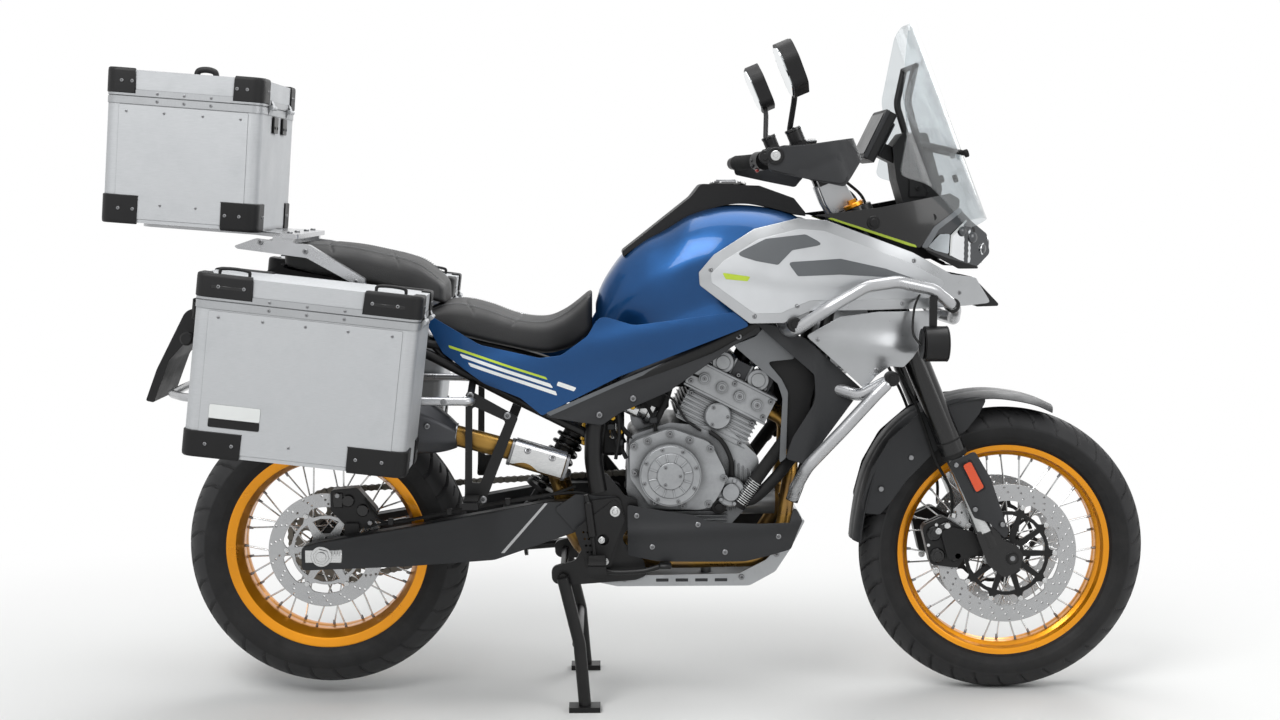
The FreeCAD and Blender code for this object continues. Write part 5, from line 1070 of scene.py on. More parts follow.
shown_for(skin("belly", [
    (-35, 463, 6), (109, 445, 20), (148, 430, 20), (326, 421), (338, 460, 8), (356, 424, 10), (330, 360, 10),
    (225, 340, 10), (30, 340, 10), (-34, 350, 6)], belly_surface, 4, plastic_grey, 9), "belly_covers")
side_bolts("belly_screws", lying_on(belly_surface, (
    (-14, 440), (20, 372), (180, 362), (300, 392), (120, 424))), 6, 3)


# Seats: crowned covers with piped seams and sewn channels
def seat(name, node, table, channels):
    """table gives (x, low, high, half) from back to front."""
    xs = [row[0] for row in table]
    low, high, half = (curve(*zip(xs, values)) for values in list(zip(*table))[1:])
    stations, sides, crown, piping, nose = 150, 72, 5.0, 0.80, 0.7
    reach = 14 / (xs[-1] - xs[0])
    rows, seam = [], []
    for k in range(stations + 1):
        t = k / stations
        x = xs[0] + (xs[-1] - xs[0]) * t
        pull = 1.0
        if t < reach:
            pull = 0.80 + 0.20 * quarter(t / reach)
        if t > 1 - reach:
            pull = nose + (1 - nose) * quarter((1 - t) / reach)
        a, b, h = low(x), high(x), half(x)
        mid = (a + b) / 2
        row = []
        for turn in turns(sides):
            c, s = math.cos(turn), math.sin(turn)
            y = h * math.copysign(abs(c) ** 0.42, c)
            z = mid + (b - a) / 2 * math.copysign(abs(s) ** (0.5 if s > 0 else 0.3), s)
            if s > 0:
                out = (y / h) ** 2
                groove = sum(3.4 * bulge(x - place - bend * out, 0, 3.2) for place, bend in channels)
                groove += 2.6 * bulge(abs(y), h * piping, 3.0) * min(1, s * 3)
                z += crown * (1 - out) - groove * min(1, s * 2)
            row.append((x, y * pull, mid + (z - mid) * (0.35 + 0.65 * pull)))
        rows.append(row)
        if 0.03 < t < 0.97:
            seam.append(Vector((x, h * piping * pull, b - 0.4 + crown * (1 - piping ** 2) - 1.2)))
    pile = Pile()
    pile.grid(rows, caps=True)
    cover = pile.done(name, seat_cover, angle=60)
    shown_for([cover], node)
    thread = Pile(both=True)
    for a, b in zip(seam[::2], seam[1::2]):
        for shift in (-5, 5):
            off = Vector((0, shift, 0.9))
            thread.rod(a + off, a.lerp(b, 0.72) + off, 0.55, 6)
    thread.done(name + "_stitches", grey_band, angle=35)


seat("rider_seat_cover", "rider_seat", [
    (-486, 856, 884, 118), (-440, 843, 902, 130), (-400, 832, 905, 134), (-345, 818, 892, 134),
    (-290, 806, 872, 130),
    (-245, 796, 864, 122), (-208, 792, 866, 112), (-176, 798, 880, 98), (-150, 808, 898, 84),
    (-112, 838, 930, 62)],
    [(-398, 26), (-268, -22)])
seat("passenger_seat_cover", "passenger_seat", [
    (-792, 988, 1030, 104), (-740, 974, 1036, 116), (-700, 966, 1036, 122), (-640, 954, 1030, 127),
    (-590, 944, 1020, 128), (-530, 928, 1006, 126), (-490, 918, 990, 122), (-438, 902, 948, 104)],
    [(-700, 20), (-560, 24)])


# Cases
CORNER = 22


def case_frame(rear_x, base_z, tilt, middle_y):
    """Places (along, sideways, up) inside a tilted case, from its rear lower edge."""
    c, s = math.cos(math.radians(tilt)), math.sin(math.radians(tilt))
    return lambda u, y, v: Vector((rear_x + u * c + v * s, middle_y + y, base_z - u * s + v * c)) * MM


def corner_caps(pile, length, half, low, high, run_u, cover):
    """Moulded caps round the upright corners; cover is -1 where they close the bottom and 1 for the top."""
    thick, run_y = 3.4, 48
    open_end = [(0, -0.6, 0), (0, thick * 0.55, 0), (1.5, thick, 2)]
    closed_end = [(4, thick, 2), (-1.2, thick * 0.8, 3), (-thick, thick * 0.1, 4), (-thick, -CORNER * 0.8, 6),
                  (0.5, -CORNER * 0.9, 6)]
    first, last = (open_end, closed_end) if cover > 0 else (closed_end[::-1], open_end[::-1])
    levels = [(low + inward, *rest) for inward, *rest in first] + [(high - inward, *rest)
                                                                   for inward, *rest in last]
    for end in (-1, 1):
        face = length if end > 0 else 0
        cu, cy = face - end * CORNER, half - CORNER
        for side in (-1, 1):
            rows = []
            for v, offset, shrink in levels:
                ring_u, ring_y = run_u - shrink, run_y - shrink
                path = [(cu - end * ring_u, half + offset), (cu - end * ring_u * 0.5, half + offset)]
                for k in range(9):
                    a = math.pi / 2 * (1 - k / 8)
                    path.append((cu + end * (CORNER + offset) * math.cos(a),
                                 cy + (CORNER + offset) * math.sin(a)))
                path += [(face + end * offset, cy - ring_y * 0.5), (face + end * offset, cy - ring_y)]
                rows.append([(u, side * y, v) for u, y in path])
            pile.grid(rows, closed=False)
            for column in (0, -1):
                pile.add([row[column] for row in rows], [range(len(rows))])


def panel_frame(name, place, low, high, y0, y1, material, radius, chamfer):
    """A flat rounded rectangle on a case's outer side."""
    (u0, v0), (u1, v1) = low, high
    corners = [(u0, v0, radius), (u1, v0, radius), (u1, v1, radius), (u0, v1, radius)]
    return slab(name, [rounded(corners, 4)], y0, y1, material, chamfer=chamfer, place=place)


def dress_case(name, place, length, half, height, split, lid_body, run_u, low_v, top_run):
    """Corner caps, rim bands and rivets on a case's box and on its lid."""
    ends = ((-1, 0), (1, length))
    for label, body, low, high, run, cover, brim, row, size, v in (
            ("_low", "root", 0, low_v, run_u, -1, (split - 16, split - 1), split - 8.5, (3.2, 1.6), low_v / 2),
            ("_high", lid_body, split + 6, height, top_run, 1, (split + 1.5, split + 14), split + 8, (3.0, 1.4),
             (split + height) / 2 + 4)):
        caps, rims, rivets = Pile(place), Pile(place), Pile(place, True)
        corner_caps(caps, length, half, low, high, run, cover)
        caps.done(name + "_caps" + label, plastic, body)
        rows = []
        for level, offset in ((brim[0], -0.4), (brim[0], 1.6), (brim[1], 1.6), (brim[1], -0.4)):
            path = []
            for quadrant, (cu, cy) in enumerate((
                    (length - CORNER, half - CORNER), (CORNER, half - CORNER), (CORNER, CORNER - half),
                    (length - CORNER, CORNER - half))):
                path += [polar(CORNER + offset, math.pi / 2 * (k / 6 + quadrant), cu, cy) for k in range(7)]
            rows.append([(u, y, level) for u, y in path])
        rims.grid(rows)
        rims.done(name + "_rim" + label, aluminium_band, body)
        for u in (run_u + 52, length * 0.5, length - run_u - 52):
            rivets.bolt((u, half + 1.4, row), OUT, *size)
        for end, edge in ends:
            for share in (0.25, 0.8):
                rivets.bolt((edge - end * (CORNER + run * share), half + 3.2, v), OUT, 3.6, 1.8)
            for y in (half - 60, half - 44):
                rivets.bolt((edge + end * 3.2, y, v), (end, 0, 0), 3.4, 1.6)
        rivets.done(name + "_rivets" + label, bolt_steel, body)


def clasps(name, place, spots, half, split):
    """Over-centre clasps on a case's rear face."""
    pile = Pile(place)
    for middle in spots:
        y0, y1 = middle - half, middle + half
        pile.box((-9, y0, split - 44), (-2, y1, split - 10), 2)
        pile.box((-12, y0 + 4, split - 30), (-8, y1 - 4, split - 3), 1.5)
        pile.pin(-8, split - 42, y0 + 2, y1 - 2, 3.2, 12, 0.6)
    pile.done(name, black_satin)


for side, label in SIDES:
    here, lid, y = case_frame(-933, 632, 6.5, side * 370), "pannier_lid_" + label, side * 120
    dress_case("pannier_" + label, here, 446, 120, 362, 312, lid, 96, 50, 92)
    panel_frame("pannier_panel_" + label, here, (30, 8), (416, 292), y - 0.3 * side, y + 1.2 * side,
                aluminium, 3, 0.5)
    made("pannier_rivets_" + label, bolt_steel, *[("bolt", (u, y + side, v), (0, side, 0), 3.0, 1.3)
                                                  for u, v in (
        (50, 280), (138, 280), (223, 280), (308, 280), (396, 280), (212, 34))], place=here)
    panel_frame("pannier_plate_" + label, here, (48, 78), (150, 106), y + side, y + 2.4 * side,
                white_band, 4, 0.3)
    panel_frame("pannier_plate_low_" + label, here, (48, 60), (150, 77.5), y + side, y + 2.4 * side,
                black_satin,
                3, 0.3)
    clasps("pannier_clasps_" + label, here, (-70, 70), 18, 312)
    bails, slots = Pile(here), Pile(here)
    for u in (66, 380):
        for foot in (-30, 30):
            bails.rod((u + foot, side * 78, 361), (u + foot, side * 78, 372), 3.2, 10, 0.5)
        bails.hose([(u + du, side * 78, v)
                    for du, v in ((-30, 368), (-26, 374), (0, 376), (26, 374), (30, 368))],
                   3.4, 20, 10)
    bails.done("pannier_bails_" + label, plastic, lid, 50)
    for u in (62, 384):
        slots.box((u - 32, y + side * 3 - 1.2, 336), (u + 32, y + side * 3 + 1.2, 343), 1)
    slots.done("pannier_slots_" + label, black_gloss, lid)

here = carrier = case_frame(-1163, 1092, 4.3, 0)
dress_case("top_case", here, 330, 195, 324, 268, "top_lid", 56, 58, 40)
for side, label in SIDES:
    y = side * 195
    panel_frame("top_case_panel_" + label, here, (28, 8), (302, 250), y - 0.3 * side, y + 1.2 * side,
                aluminium, 3, 0.5)
    made("top_case_rivets_" + label, bolt_steel, *[("bolt", (u, y + side, v), (0, side, 0), 2.8, 1.2)
                                                   for u, v in (
        (44, 236), (124, 236), (206, 236), (286, 236), (124, 40), (200, 40))], place=here)
made("top_case_handle", plastic, *[("box", (u, -12, 322), (u + 16, 12, 332), 2) for u in (137, 177)],
     ("hose", [(143, 0, 328), (147, 0, 341), (165, 0, 345), (183, 0, 341), (187, 0, 328)], 7.0, 24, 14),
     body="top_lid", place=here, angle=50)
clasps("top_case_clasps", here, (-100, 100), 20, 268)
made("top_case_hinge_pads", black_satin, ("box", (331, 28, 214), (336, 76, 250), 1.5),
     *[("bolt", (335.5, y, 226), (1, 0, 0), 3.4, 1.8) for y in (38, 66)], place=here, both=True)


# Front fender: crowned arch over the wheel, in the fork's frame
def fender():
    outer = [(232, 266), (200, 300), (160, 330), (105, 360), (40, 379), (-30, 384), (-90, 378), (-155, 352),
             (-215, 306), (-258, 254), (-292, 200), (-314, 160)]
    path = smooth_path([(x, 0, z) for x, z in outer], 96)
    crown, lanes = 15, 22
    rows = []
    for i, p in enumerate(path):
        ahead = (path[min(i + 1, len(path) - 1)] - path[max(i - 1, 0)]).normalized()
        normal = Vector((-ahead.z, 0, ahead.x))
        if normal.dot(p) < 0:
            normal = -normal
        t = i / (len(path) - 1)
        width = 73 * min(1.0, 0.62 + 2.6 * t) * (1 - 0.10 * max(0, (t - 0.8) / 0.2))
        row = []
        for under in (False, True):
            for j in range(lanes + 1):
                s = (-1 + 2 * j / lanes) * (-1 if under else 1)
                drop = crown * abs(s) ** 2.6
                drop += (3.5 if abs(s) < 0.999 else 2.2) if under else 2.2 * bulge(abs(s), 0.34, 0.07)
                row.append(tuple(p - normal * drop + Vector((0, s * (width - 0.4 * under), 0))))
        rows.append(row)
    pile = Pile(fork_place)
    pile.grid(rows, caps=True)
    shown_for([pile.done("fender_arch", plastic_grey, "steering")], "front_fender")


def on_fork(name, material, *shapes, both=True, angle=40):
    return made(name, material, *shapes, body="steering", place=fork_place, both=both, angle=angle)


fender()
cheek_line = curve((-262, 66), (-190, 73), (-60, 76), (96, 66))
shown_for(skin("fender_cheek", [
    (96, 352, 20), (20, 378, 60), (-60, 380, 60), (-150, 350, 60), (-215, 300, 40), (-262, 240, 20),
    (-268, 214, 12), (-235, 196, 10), (-200, 214, 20), (-150, 246, 40), (-60, 286, 30), (20, 300, 20),
    (60, 322, 10)], lambda x, z: cheek_line(x) + 0.5 - 0.0016 * max(0, z - 330) ** 2, 4, plastic_grey, 9,
    body="steering", place=fork_place), "front_fender")
on_fork("fender_screws", bolt_steel, *[("pin", x, z, 74, 79.5, 6, 18, 0.8) for x, z in (
    (-31, 330), (-120, 292), (-210, 252))])

# Fork guards with their orange reflectors
shown_for(skin("fork_guard", [
    (-53, 262, 8), (11, 262, 10), (22, 190, 24), (14, 60, 14), (0, 50, 8), (-20, 100, 20), (-47, 122, 10)],
    lambda x, z: 136.5 - 0.0045 * (x + 20) ** 2 + 2.5 * bulge(x, -24 + 0.12 * (z - 160), 9), 4, plastic_grey, 8,
    body="steering", place=fork_place), "fork_guards")
for side, label in SIDES:
    for name, outline, low, high, material, chamfer in (
            ("side_reflector_", [(-22, 176, 5), (-2, 180, 5), (-8, 246, 5), (-27, 244, 5)], 136.5, 142,
             orange_lens, 1.2),
            ("reflector_frame_", [(-26, 171, 6), (2, 175, 6), (-5, 251, 6), (-31, 249, 6)], 134.5, 138.5,
             black_satin, 1.0)):
        slab(name + label, [rounded(outline, 3)], side * low, side * high, material, "steering", chamfer,
             place=fork_place)
on_fork("guard_screws", bolt_steel, *[("pin", x, z, 134, 140.5, 5.5, 18, 0.8) for x, z in (
    (-40, 250), (6, 84), (-38, 140))])


# Engine: cast covers, fins, caps and hoses over the frame's blocks
def engine_sides():
    for (side, label), spot, y0 in zip(SIDES, ((60, 530), (150, 520)), (178, 168)):
        dome, heads = Pile(), Pile()
        cx, cz = spot
        for radius, low, high in ((66, -1, 2.4), (50, 1, 5.4), (30, 4, 8.6)):
            dome.rod((cx, side * (y0 + low), cz), (cx, side * (y0 + high), cz), radius, 64, 1.6)
        for a in turns(12):
            ends = (about(spot, radius, a + 0.2, side * (y0 + 5.2)) for radius in (31, 49))
            dome.rod(*ends, 2.2, 8, 0.6)
        dome.done("cover_dome_" + label, engine_grey)
        for a in turns(8):
            heads.bolt(about(spot, 60, a + 0.3, side * (y0 + 2)), (0, side, 0), 4.0, 2.8)
        for a in turns(3):
            heads.bolt(about(spot, 22, a, side * (y0 + 8.2)), (0, side, 0), 3.4, 2.4)
        heads.done("cover_bolts_" + label, bolt_steel)
    seats = [(x, -153, z) for x, z in (
        (-20, 592), (-18, 532), (26, 466), (88, 458), (146, 462), (180, 520), (150, 586), (104, 606), (60, 620),
        (10, 604))]
    seats += [(x, 150 if x > 60 else 132, z) for x, z in (
        (70, 590), (70, 462), (180, 452), (226, 520), (180, 590), (-30, 500), (-10, 424), (40, 410))]
    made("case_bolts", bolt_steel, *[("bolt", at, (0, math.copysign(1, at[1]), 0), 5.4, 4.2) for at in seats])
    made("case_ribs", engine_grey,
         *[("box", (196 + 9 * k, 117, 440 + 3 * k), (199.4 + 9 * k, 121, 560 - 6 * k), 1.2) for k in range(6)],
         *[("box", (-4 + 4 * k, 117, 402 + 9 * k), (190, 122, 405.2 + 9 * k), 1.2) for k in range(5)],
         both=True)
    made("oil_cap", black_satin, ("pin", 170, 452, -118, -131, 17, 32, 1.5),
         ("pin", 170, 452, -131, -136, 10, 6, 1.0))


def upper_engine():
    fins = Pile(head_place)
    for k in range(7):
        fins.box((-88, -119, 100 + 10 * k), (88, 119, 103.2 + 10 * k), 1.2)
    for x, y, z in ((102, 126, 172), (102, 126, 232), (74, 110, 268)):
        fins.box((-x, -y, z - 3), (x, y, z + 3), 1.5)
    for x in (-60, -20, 20, 60):
        fins.box((x - 3, -114, 236), (x + 3, 114, 275), 1.5)
    fins.done("cylinder_fins", engine_grey)
    ports = (-66, -22, 22, 66)
    caps, heads = Pile(head_place, True), Pile(head_place, True)
    for x in (-44, 44):
        caps.pin(x, 252, 110, 119, 25, 40, 2)
        caps.pin(x, 252, 118, 121, 16, 32, 1)
    for x in ports:
        caps.pin(x, 202, 131, 134.5, 9.6, 24, 1.2)
        heads.bolt((x, 134, 202), OUT, 4.4, 3)
    caps.pin(0, 140, 118, 128, 30, 40, 3)
    caps.done("cylinder_caps", engine_grey)
    for y, spots in ((124, ((-90, 184), (90, 184), (-90, 222), (90, 222), (0, 222))),
                     (116, ((-72, 108), (72, 108), (-76, 160), (76, 160))),
                     (112, ((-66, 242), (66, 242), (0, 242)))):
        for x, z in spots:
            heads.bolt((x, y, z), OUT, 5, 5)
    for a in turns(3):
        heads.bolt(about((0, 140), 22, a + 0.4, 127.6), OUT, 3.6, 3)
    up_cylinder = (math.sin(LEAN), 0, math.cos(LEAN))
    for x in (-58, 58):
        for y in (60, 100):
            heads.bolt((x, y, 271), up_cylinder, 5, 5)
    # From here on one side only
    heads.sides = (1,)
    for x in (-58, 58):
        heads.bolt((x, 0, 271), up_cylinder, 5, 5)
    heads.done("cylinder_bolts", bolt_steel)
    made("ignition_coils", plastic, ("rod", (0, 48, 270), (0, 48, 300), 15, 24, 3),
         ("box", (-16, 30, 292), (26, 66, 304), 3), place=head_place, both=True)
    hub_spot = (196, 486)
    made("water_pump", engine_grey, ("pin", 196, 486, -112, -140, 33, 44, 3),
         ("pin", 196, 486, -138, -145, 20, 32, 2),
         *[("rod", about(hub_spot, 27, a, -138), about(hub_spot, 27, a, -143.5), 4.6, 14, 0.8)
           for a in turns(5)])
    made("engine_hoses", grip_rubber,
         ("hose", [(206, -128, 470), (246, -132, 470), (300, -128, 520), (340, -118, 566), (372, -104, 580)],
          13, 40, 16),
         ("hose", [(238, -96, 742), (280, -104, 772), (340, -104, 778), (392, -96, 770)], 13, 36, 16),
         ("hose", [(30, -112, 640), (52, -118, 690), (66, -112, 740), (70, -70, 770)], 7, 30),
         ("hose", [(-20, -112, 600), (-50, -118, 640), (-52, -112, 700), (-20, -100, 760)], 5.5, 30),
         ("hose", [(150, -126, 620), (176, -134, 600), (196, -132, 560), (200, -124, 520)], 5, 30), angle=50)
    clips = Pile()
    for at, way in (((226, -131, 468), (1, -0.1, 0.1)), ((356, -111, 574), (1, 0.3, 0.5)),
                    ((258, -100, 758), (1, -0.2, 0.6)), ((374, -99, 774), (1, 0.1, 0))):
        middle, half = Vector(at), Vector(way).normalized() * 5
        clips.rod(middle - half, middle + half, 14.4, 24, 0.6)
    clips.done("hose_clips", bright_steel)
    made("engine_wires", plastic,
         ("hose", [(-20, -126, 760), (40, -128, 742), (90, -124, 760), (140, -118, 800)], 3, 30, 8),
         ("hose", [(-24, -124, 748), (30, -126, 716), (70, -127, 690), (96, -127, 648), (130, -124, 622)],
          2.6, 34, 8),
         ("hose", [(-60, -128, 560), (-52, -132, 620), (-60, -134, 680), (-80, -130, 700)], 4, 30, 8),
         ("hose", [(-100, -128, 540), (-90, -134, 600), (-84, -136, 650)], 3, 24, 8), angle=50)


def radiator():
    """The core's cross fins and tubes, and its side tanks."""
    fins, count, columns = Pile(), 58, 13
    for k in range(count):
        t = (k + 0.5) / count
        x, z = 393.5 + 23 * t, 566 + 218 * t
        fins.box((x - 2.0, -118, z - 1.0), (x + 1.6, 118, z + 1.0), 0.3)
    for k in range(columns):
        y = -112 + 224 * k / (columns - 1)
        fins.grid([[(393.6 + dx + ox, y + oy, z) for ox, oy in ((-1, -0.8), (1.2, -0.8), (1.2, 0.8), (-1, 0.8))]
                   for dx, z in ((0, 562), (24.5, 788))])
    fins.done("radiator_fins", core_fins)
    tanks = Pile()
    for y in (-126, 126):
        tanks.rod((376, y, 562), (400, y, 786), 15, 20, 3)
        tanks.rod((373, y, 556), (375, y, 566), 9, 16, 2)
    tanks.pin(404, 792, -128, 128, 9, 16, 2)
    tanks.pin(376, 560, -128, 128, 8, 16, 2)
    tanks.done("radiator_tanks", black_satin)


def exhaust():
    """Clamps, heat shield and muffler trim."""
    start, way = Vector((-292, -165, 584)), Vector((128, 8, -40)).normalized()
    made("exhaust_clamps", bolt_steel,
         *[("rod", start + way * (along - 4), start + way * (along + 4), 30.6, 36, 1) for along in (2, 126)],
         *[("rod", (x, y - 0.5, z - 5), (x - 2, y - 1.5, z + 5), 26, 32, 1)
           for x, y, z in ((-172, -66, 430), (-184, -90, 520))])
    up = way.cross(Vector(OUT)).normalized()
    up = -up if up.z < 0 else up

    def outward(angle):
        return up * math.sin(angle) - Vector(OUT) * math.cos(angle)

    rows, runs, lanes = [], 26, 12
    for k in range(runs + 1):
        t = k / runs
        low = -38 + 20 * max(0, math.sin(math.pi * (2 * t - 0.1))) * (t > 0.05)
        high = 100 + (62 - 16 * abs(2 * t - 1) ** 3) * 0.5
        fan = [math.radians(low + (high - low) * j / lanes) for j in range(lanes + 1)]
        middle = start + way * (6 + 116 * t)
        rows.append([tuple(middle + outward(a) * 31.5) for a in fan]
                    + [tuple(middle + outward(a) * 34.0) for a in reversed(fan)])
    plate = Pile()
    plate.grid(rows, caps=True)
    plate.done("heat_shield", bright_steel)
    made("heat_shield_bolts", bolt_steel,
         *[("bolt", start + way * along + outward(0.5) * 33.6, outward(0.5), 7, 3.4)
                                            for along in (36, 92)])
    made("muffler_front_ring", bolt_steel, *[
        ("hose", [Vector((x + 3, -168, z)), Vector((x - 3, -168, z + 1))], radius, 2, 24, False)
        for x, z, radius in ((-412, 620, 27.5), (-492, 645.5, 1))])
    made("muffler_bolts", bolt_steel, *[("bolt", (x, -223.5, z), (0, -1, 0), 6, 4) for x, z in (
        (-520, 690), (-560, 640), (-468, 648))])
    made("header_rings", bronze, *[("rod", (x, 86.8, z - 4), (x, 86.8, z + 4), 18.6, 28, 1) for x, z in (
        (334, 560), (326, 470))], both=True)
    made("header_nuts", bolt_steel, *[("rod", (262, y, 672), (276, y, 665), 6, 6, 0.8) for y in (36, 88)],
         both=True)


def rear_shock():
    """Coil spring, damper and gold reservoir."""
    top, bottom = Vector((-118, 0, 660)), Vector((-258, 0, 430))
    way, across = (bottom - top).normalized(), Vector(OUT)
    other = way.cross(across)
    damper = made("shock_damper", black_satin, *[
        ("rod", top + way * low, top + way * high, radius, sides, bevel)
        for low, high, radius, sides, bevel in (
            (0, 120, 24, 32, 2), (100, (bottom - top).length, 11, 24, 1), (60, 68, 38, 36, 1.5),
            (212, 222, 36, 36, 1.5))],
        *[("pin", x, z, -16, 16, 14, 24, 2) for x, z in ((-118, 660), (-258, 430))])
    shown_for([damper], "rear_shock")
    coils, steps = 7, 280
    path = []
    for k in range(steps + 1):
        a = 2 * math.pi * coils * k / steps
        path.append(top + way * (70 + 140 * k / steps) + (across * math.cos(a) + other * math.sin(a)) * 30)
    made("shock_spring", black_gloss, ("hose", path, 5.2, steps, 10, False), angle=60)
    made("shock_reservoir", reservoir_gold, ("rod", (-120, -76, 594), (-114, -76, 652), 20, 40, 2),
         ("rod", (-114.2, -76, 650), (-113, -76, 662), 16, 36, 1.5),
         ("rod", (-120.6, -76, 584), (-119.6, -76, 596), 17, 36, 1.5))
    made("reservoir_straps", black_satin, *[
        ("rod", (-119.6 + (z - 594) * 0.1, -76, z), (-119.1 + (z - 594) * 0.1, -76, z + 5), 21.4, 40, 0.8)
        for z in (606, 636)], ("rod", (-113, -76, 661), (-112, -76, 668), 8, 20, 1),
        ("hose", [(-120, -76, 588), (-128, -50, 590), (-140, -20, 604), (-140, 0, 616)], 4.5, 24, 10))


engine_sides()
upper_engine()
radiator()
exhaust()
rear_shock()


# Frame spars between tank and engine
def spar_surface(x, z):
    return 162.5 + 2.5 * bulge(z, 700 + 0.42 * (x + 20), 20)


skin("frame_spar", [
    (-224, 661, 6), (-60, 731, 30), (120, 806, 40), (252, 866, 8), (262, 846, 10), (208, 822, 30),
    (129, 766, 40),
    (56, 714, 50), (-50, 668, 20), (-90, 640, 20), (-132, 646, 16)], spar_surface, 5, plastic_grey, 10, 1.6)
band("frame_spar_edge", [(-214, 668, 2), (-60, 735, 2), (120, 810, 2), (246, 864, 2), (246, 857, 2),
                         (120, 801, 2),
                         (-60, 726, 2), (-204, 662, 2)], spar_surface, grey_band)
side_bolts("spar_bolts", lying_on(spar_surface, ((-96, 664), (-22, 700), (210, 836)), 1), 7, 4.5)

# Swingarm: sculpted outer faces, axle blocks and pivot caps
arm_low = curve((-758, 314), (-534, 324), (-330, 338), (-150, 398), (-120, 410))
arm_high = curve((-758, 368), (-722, 376), (-534, 408), (-211, 464), (-120, 466))


def arm_surface(x, z):
    low, high = arm_low(x), arm_high(x)
    share = (z - low) / max(8.0, high - low)
    dish = rise((share - 0.22) / 0.05) * rise((0.80 - share) / 0.04)
    return 144.5 - 4.6 * dish * rise(-(x + 372 + 60 * (share - 0.5)) / 9) * rise((x + 668) / 9)


skin("swingarm_face", [
    (-758, 366, 10), (-758, 314, 10), (-534, 322, 40), (-330, 336, 60), (-150, 398, 40), (-128, 420, 10),
    (-128, 466, 8), (-211, 466, 40), (-534, 408, 60), (-722, 376, 20)], arm_surface, 5, plastic_grey, 8, 1.8)
band("swingarm_line", [(-316, 352, 1), (-218, 464, 1), (-211, 464, 1), (-308, 352, 1)], arm_surface, steel)
made("axle_blocks", bright_steel, ("box", (-752, 139, 330), (-668, 145, 362), 3), *[
    ("rod", (x0, y0, 346), (x1, y1, 346), radius, sides, bevel) for x0, y0, x1, y1, radius, sides, bevel in (
        (-714, 141, -714, 149, 19, 6, 1.5), (-714, 141, -714, 147, 23, 36, 1),
        (-714, 147, -714, 152, 11, 24, 1),
        (-768, 130, -744, 130, 5, 12, 0.6), (-764, 130, -758, 130, 9, 6, 0.8))], both=True)
made("axle_marks", black_satin, *[
    ("box", (x, 144.6, low), (x + 0.9, 145.4, 359), 0.1)
    for x, low in ((-692 + k * 3.4, 351 - k % 2 * 3) for k in range(7))], both=True)
made("pivot_caps", bright_steel, ("pin", -70, 444, 145, 153, 21, 40, 2),
     ("pin", -70, 444, 152, 156, 13, 6, 1), both=True)
made("rear_brake_hose", grip_rubber,
     ("hose", [(-600, -136, 414), (-460, -136, 436), (-320, -136, 462), (-220, -136, 478), (-150, -134, 500)],
      3.2, 40, 10),
     ("hose", [(-620, -110, 470), (-600, -122, 440), (-560, -134, 420), (-420, -135, 446), (-260, -136, 474),
               (-150, -134, 486), (-96, -134, 470)], 3.6, 50, 10), angle=50)
made("hose_guides", black_satin, *[("box", (x - 6, -141, z - 9), (x + 6, -133, z + 6), 1) for x, z in (
    (-560, 424), (-430, 446), (-300, 468))])

# Rider's footrest plates, pedals and pegs
for side, label in SIDES:
    cover = rounded([(-196, 452, 8), (-150, 484, 6), (-60, 480, 6), (-52, 470, 4), (-134, 420, 6),
                     (-150, 400, 6)], 5)
    slab("arm_cover_" + label, [cover], side * 145.6, side * 149.6, plastic_grey, chamfer=1.2)
    guard = rounded([(-60, 478, 12), (-40, 430, 10), (-70, 350, 12), (-82, 300, 8), (-116, 300, 8),
                     (-152, 408, 12)], 5)
    holes = [circle(-132 + 9 * (k % 2) + 3 * (k // 2), 402 - 15 * (k // 2), 2.6, 12) for k in range(8)]
    slab("heel_guard_" + label, [guard, circle(-88, 385, 12.6, 24)] + holes, side * 160.4, side * 163.6,
         black_satin,
         chamfer=1.0)
    made("footrest_studs_" + label, bright_steel, *[
        ("rod", (x, side * y, z), (x, side * (y + out), z), r * share, sides, bevel)
        for x, z, r in ((-62, 448, 12), (-92, 384, 8), (-96, 322, 11), (-84, 336, 8))
        for y, out, share, sides, bevel in ((163, 4, 1, 32, 1.2), (166, 3, 0.55, 6, 0.7))])
    made("peg_rubber_" + label, grip_rubber, *[
        ("box", (-121, side * y, 345), (-83, side * (y + 9), 350.5), 1.5) for y in range(166, 251, 14)])
    made("pillion_rubber_" + label, grip_rubber, *[
        ("box", (-389, side * y, 489.5), (-357, side * (y + 9), 493.5), 1.2) for y in range(206, 263, 14)])
    tips = [("box", (34, -212, 328), (62, -172, 338), 3),
            ("rod", (-104, -168, 318), (-112, -166, 404), 4, 12, 0.5),
            ("rod", (-112, -166, 392), (-122, -164, 470), 9.5, 20, 1.5),
            ("rod", (-122, -164, 468), (-126, -163, 486), 6, 16, 1)]
    if side > 0:
        tips = [("pin", 46, 332, 176, 214, 8, 20, 2), ("rod", (30, 172, 330), (10, 172, 420), 3.4, 12, 0.5)]
    made("pedal_" + label, black_satin,
         ("hose", [(-98, side * 170, 318), (-60, side * 176, 314), (0, side * 180, 318),
                                                  (40, side * 186, 330)], 6, 26), *tips)
side_bolts("hanger_bolts", [(-376, 203, 712), (-296, 203, 668), (-372, 203, 484), (-350, 203, 484)], 8, 5)
side_bolts("hanger_bolts_bright", [(-386, 203.5, 700)], 11, 4, bright_steel)

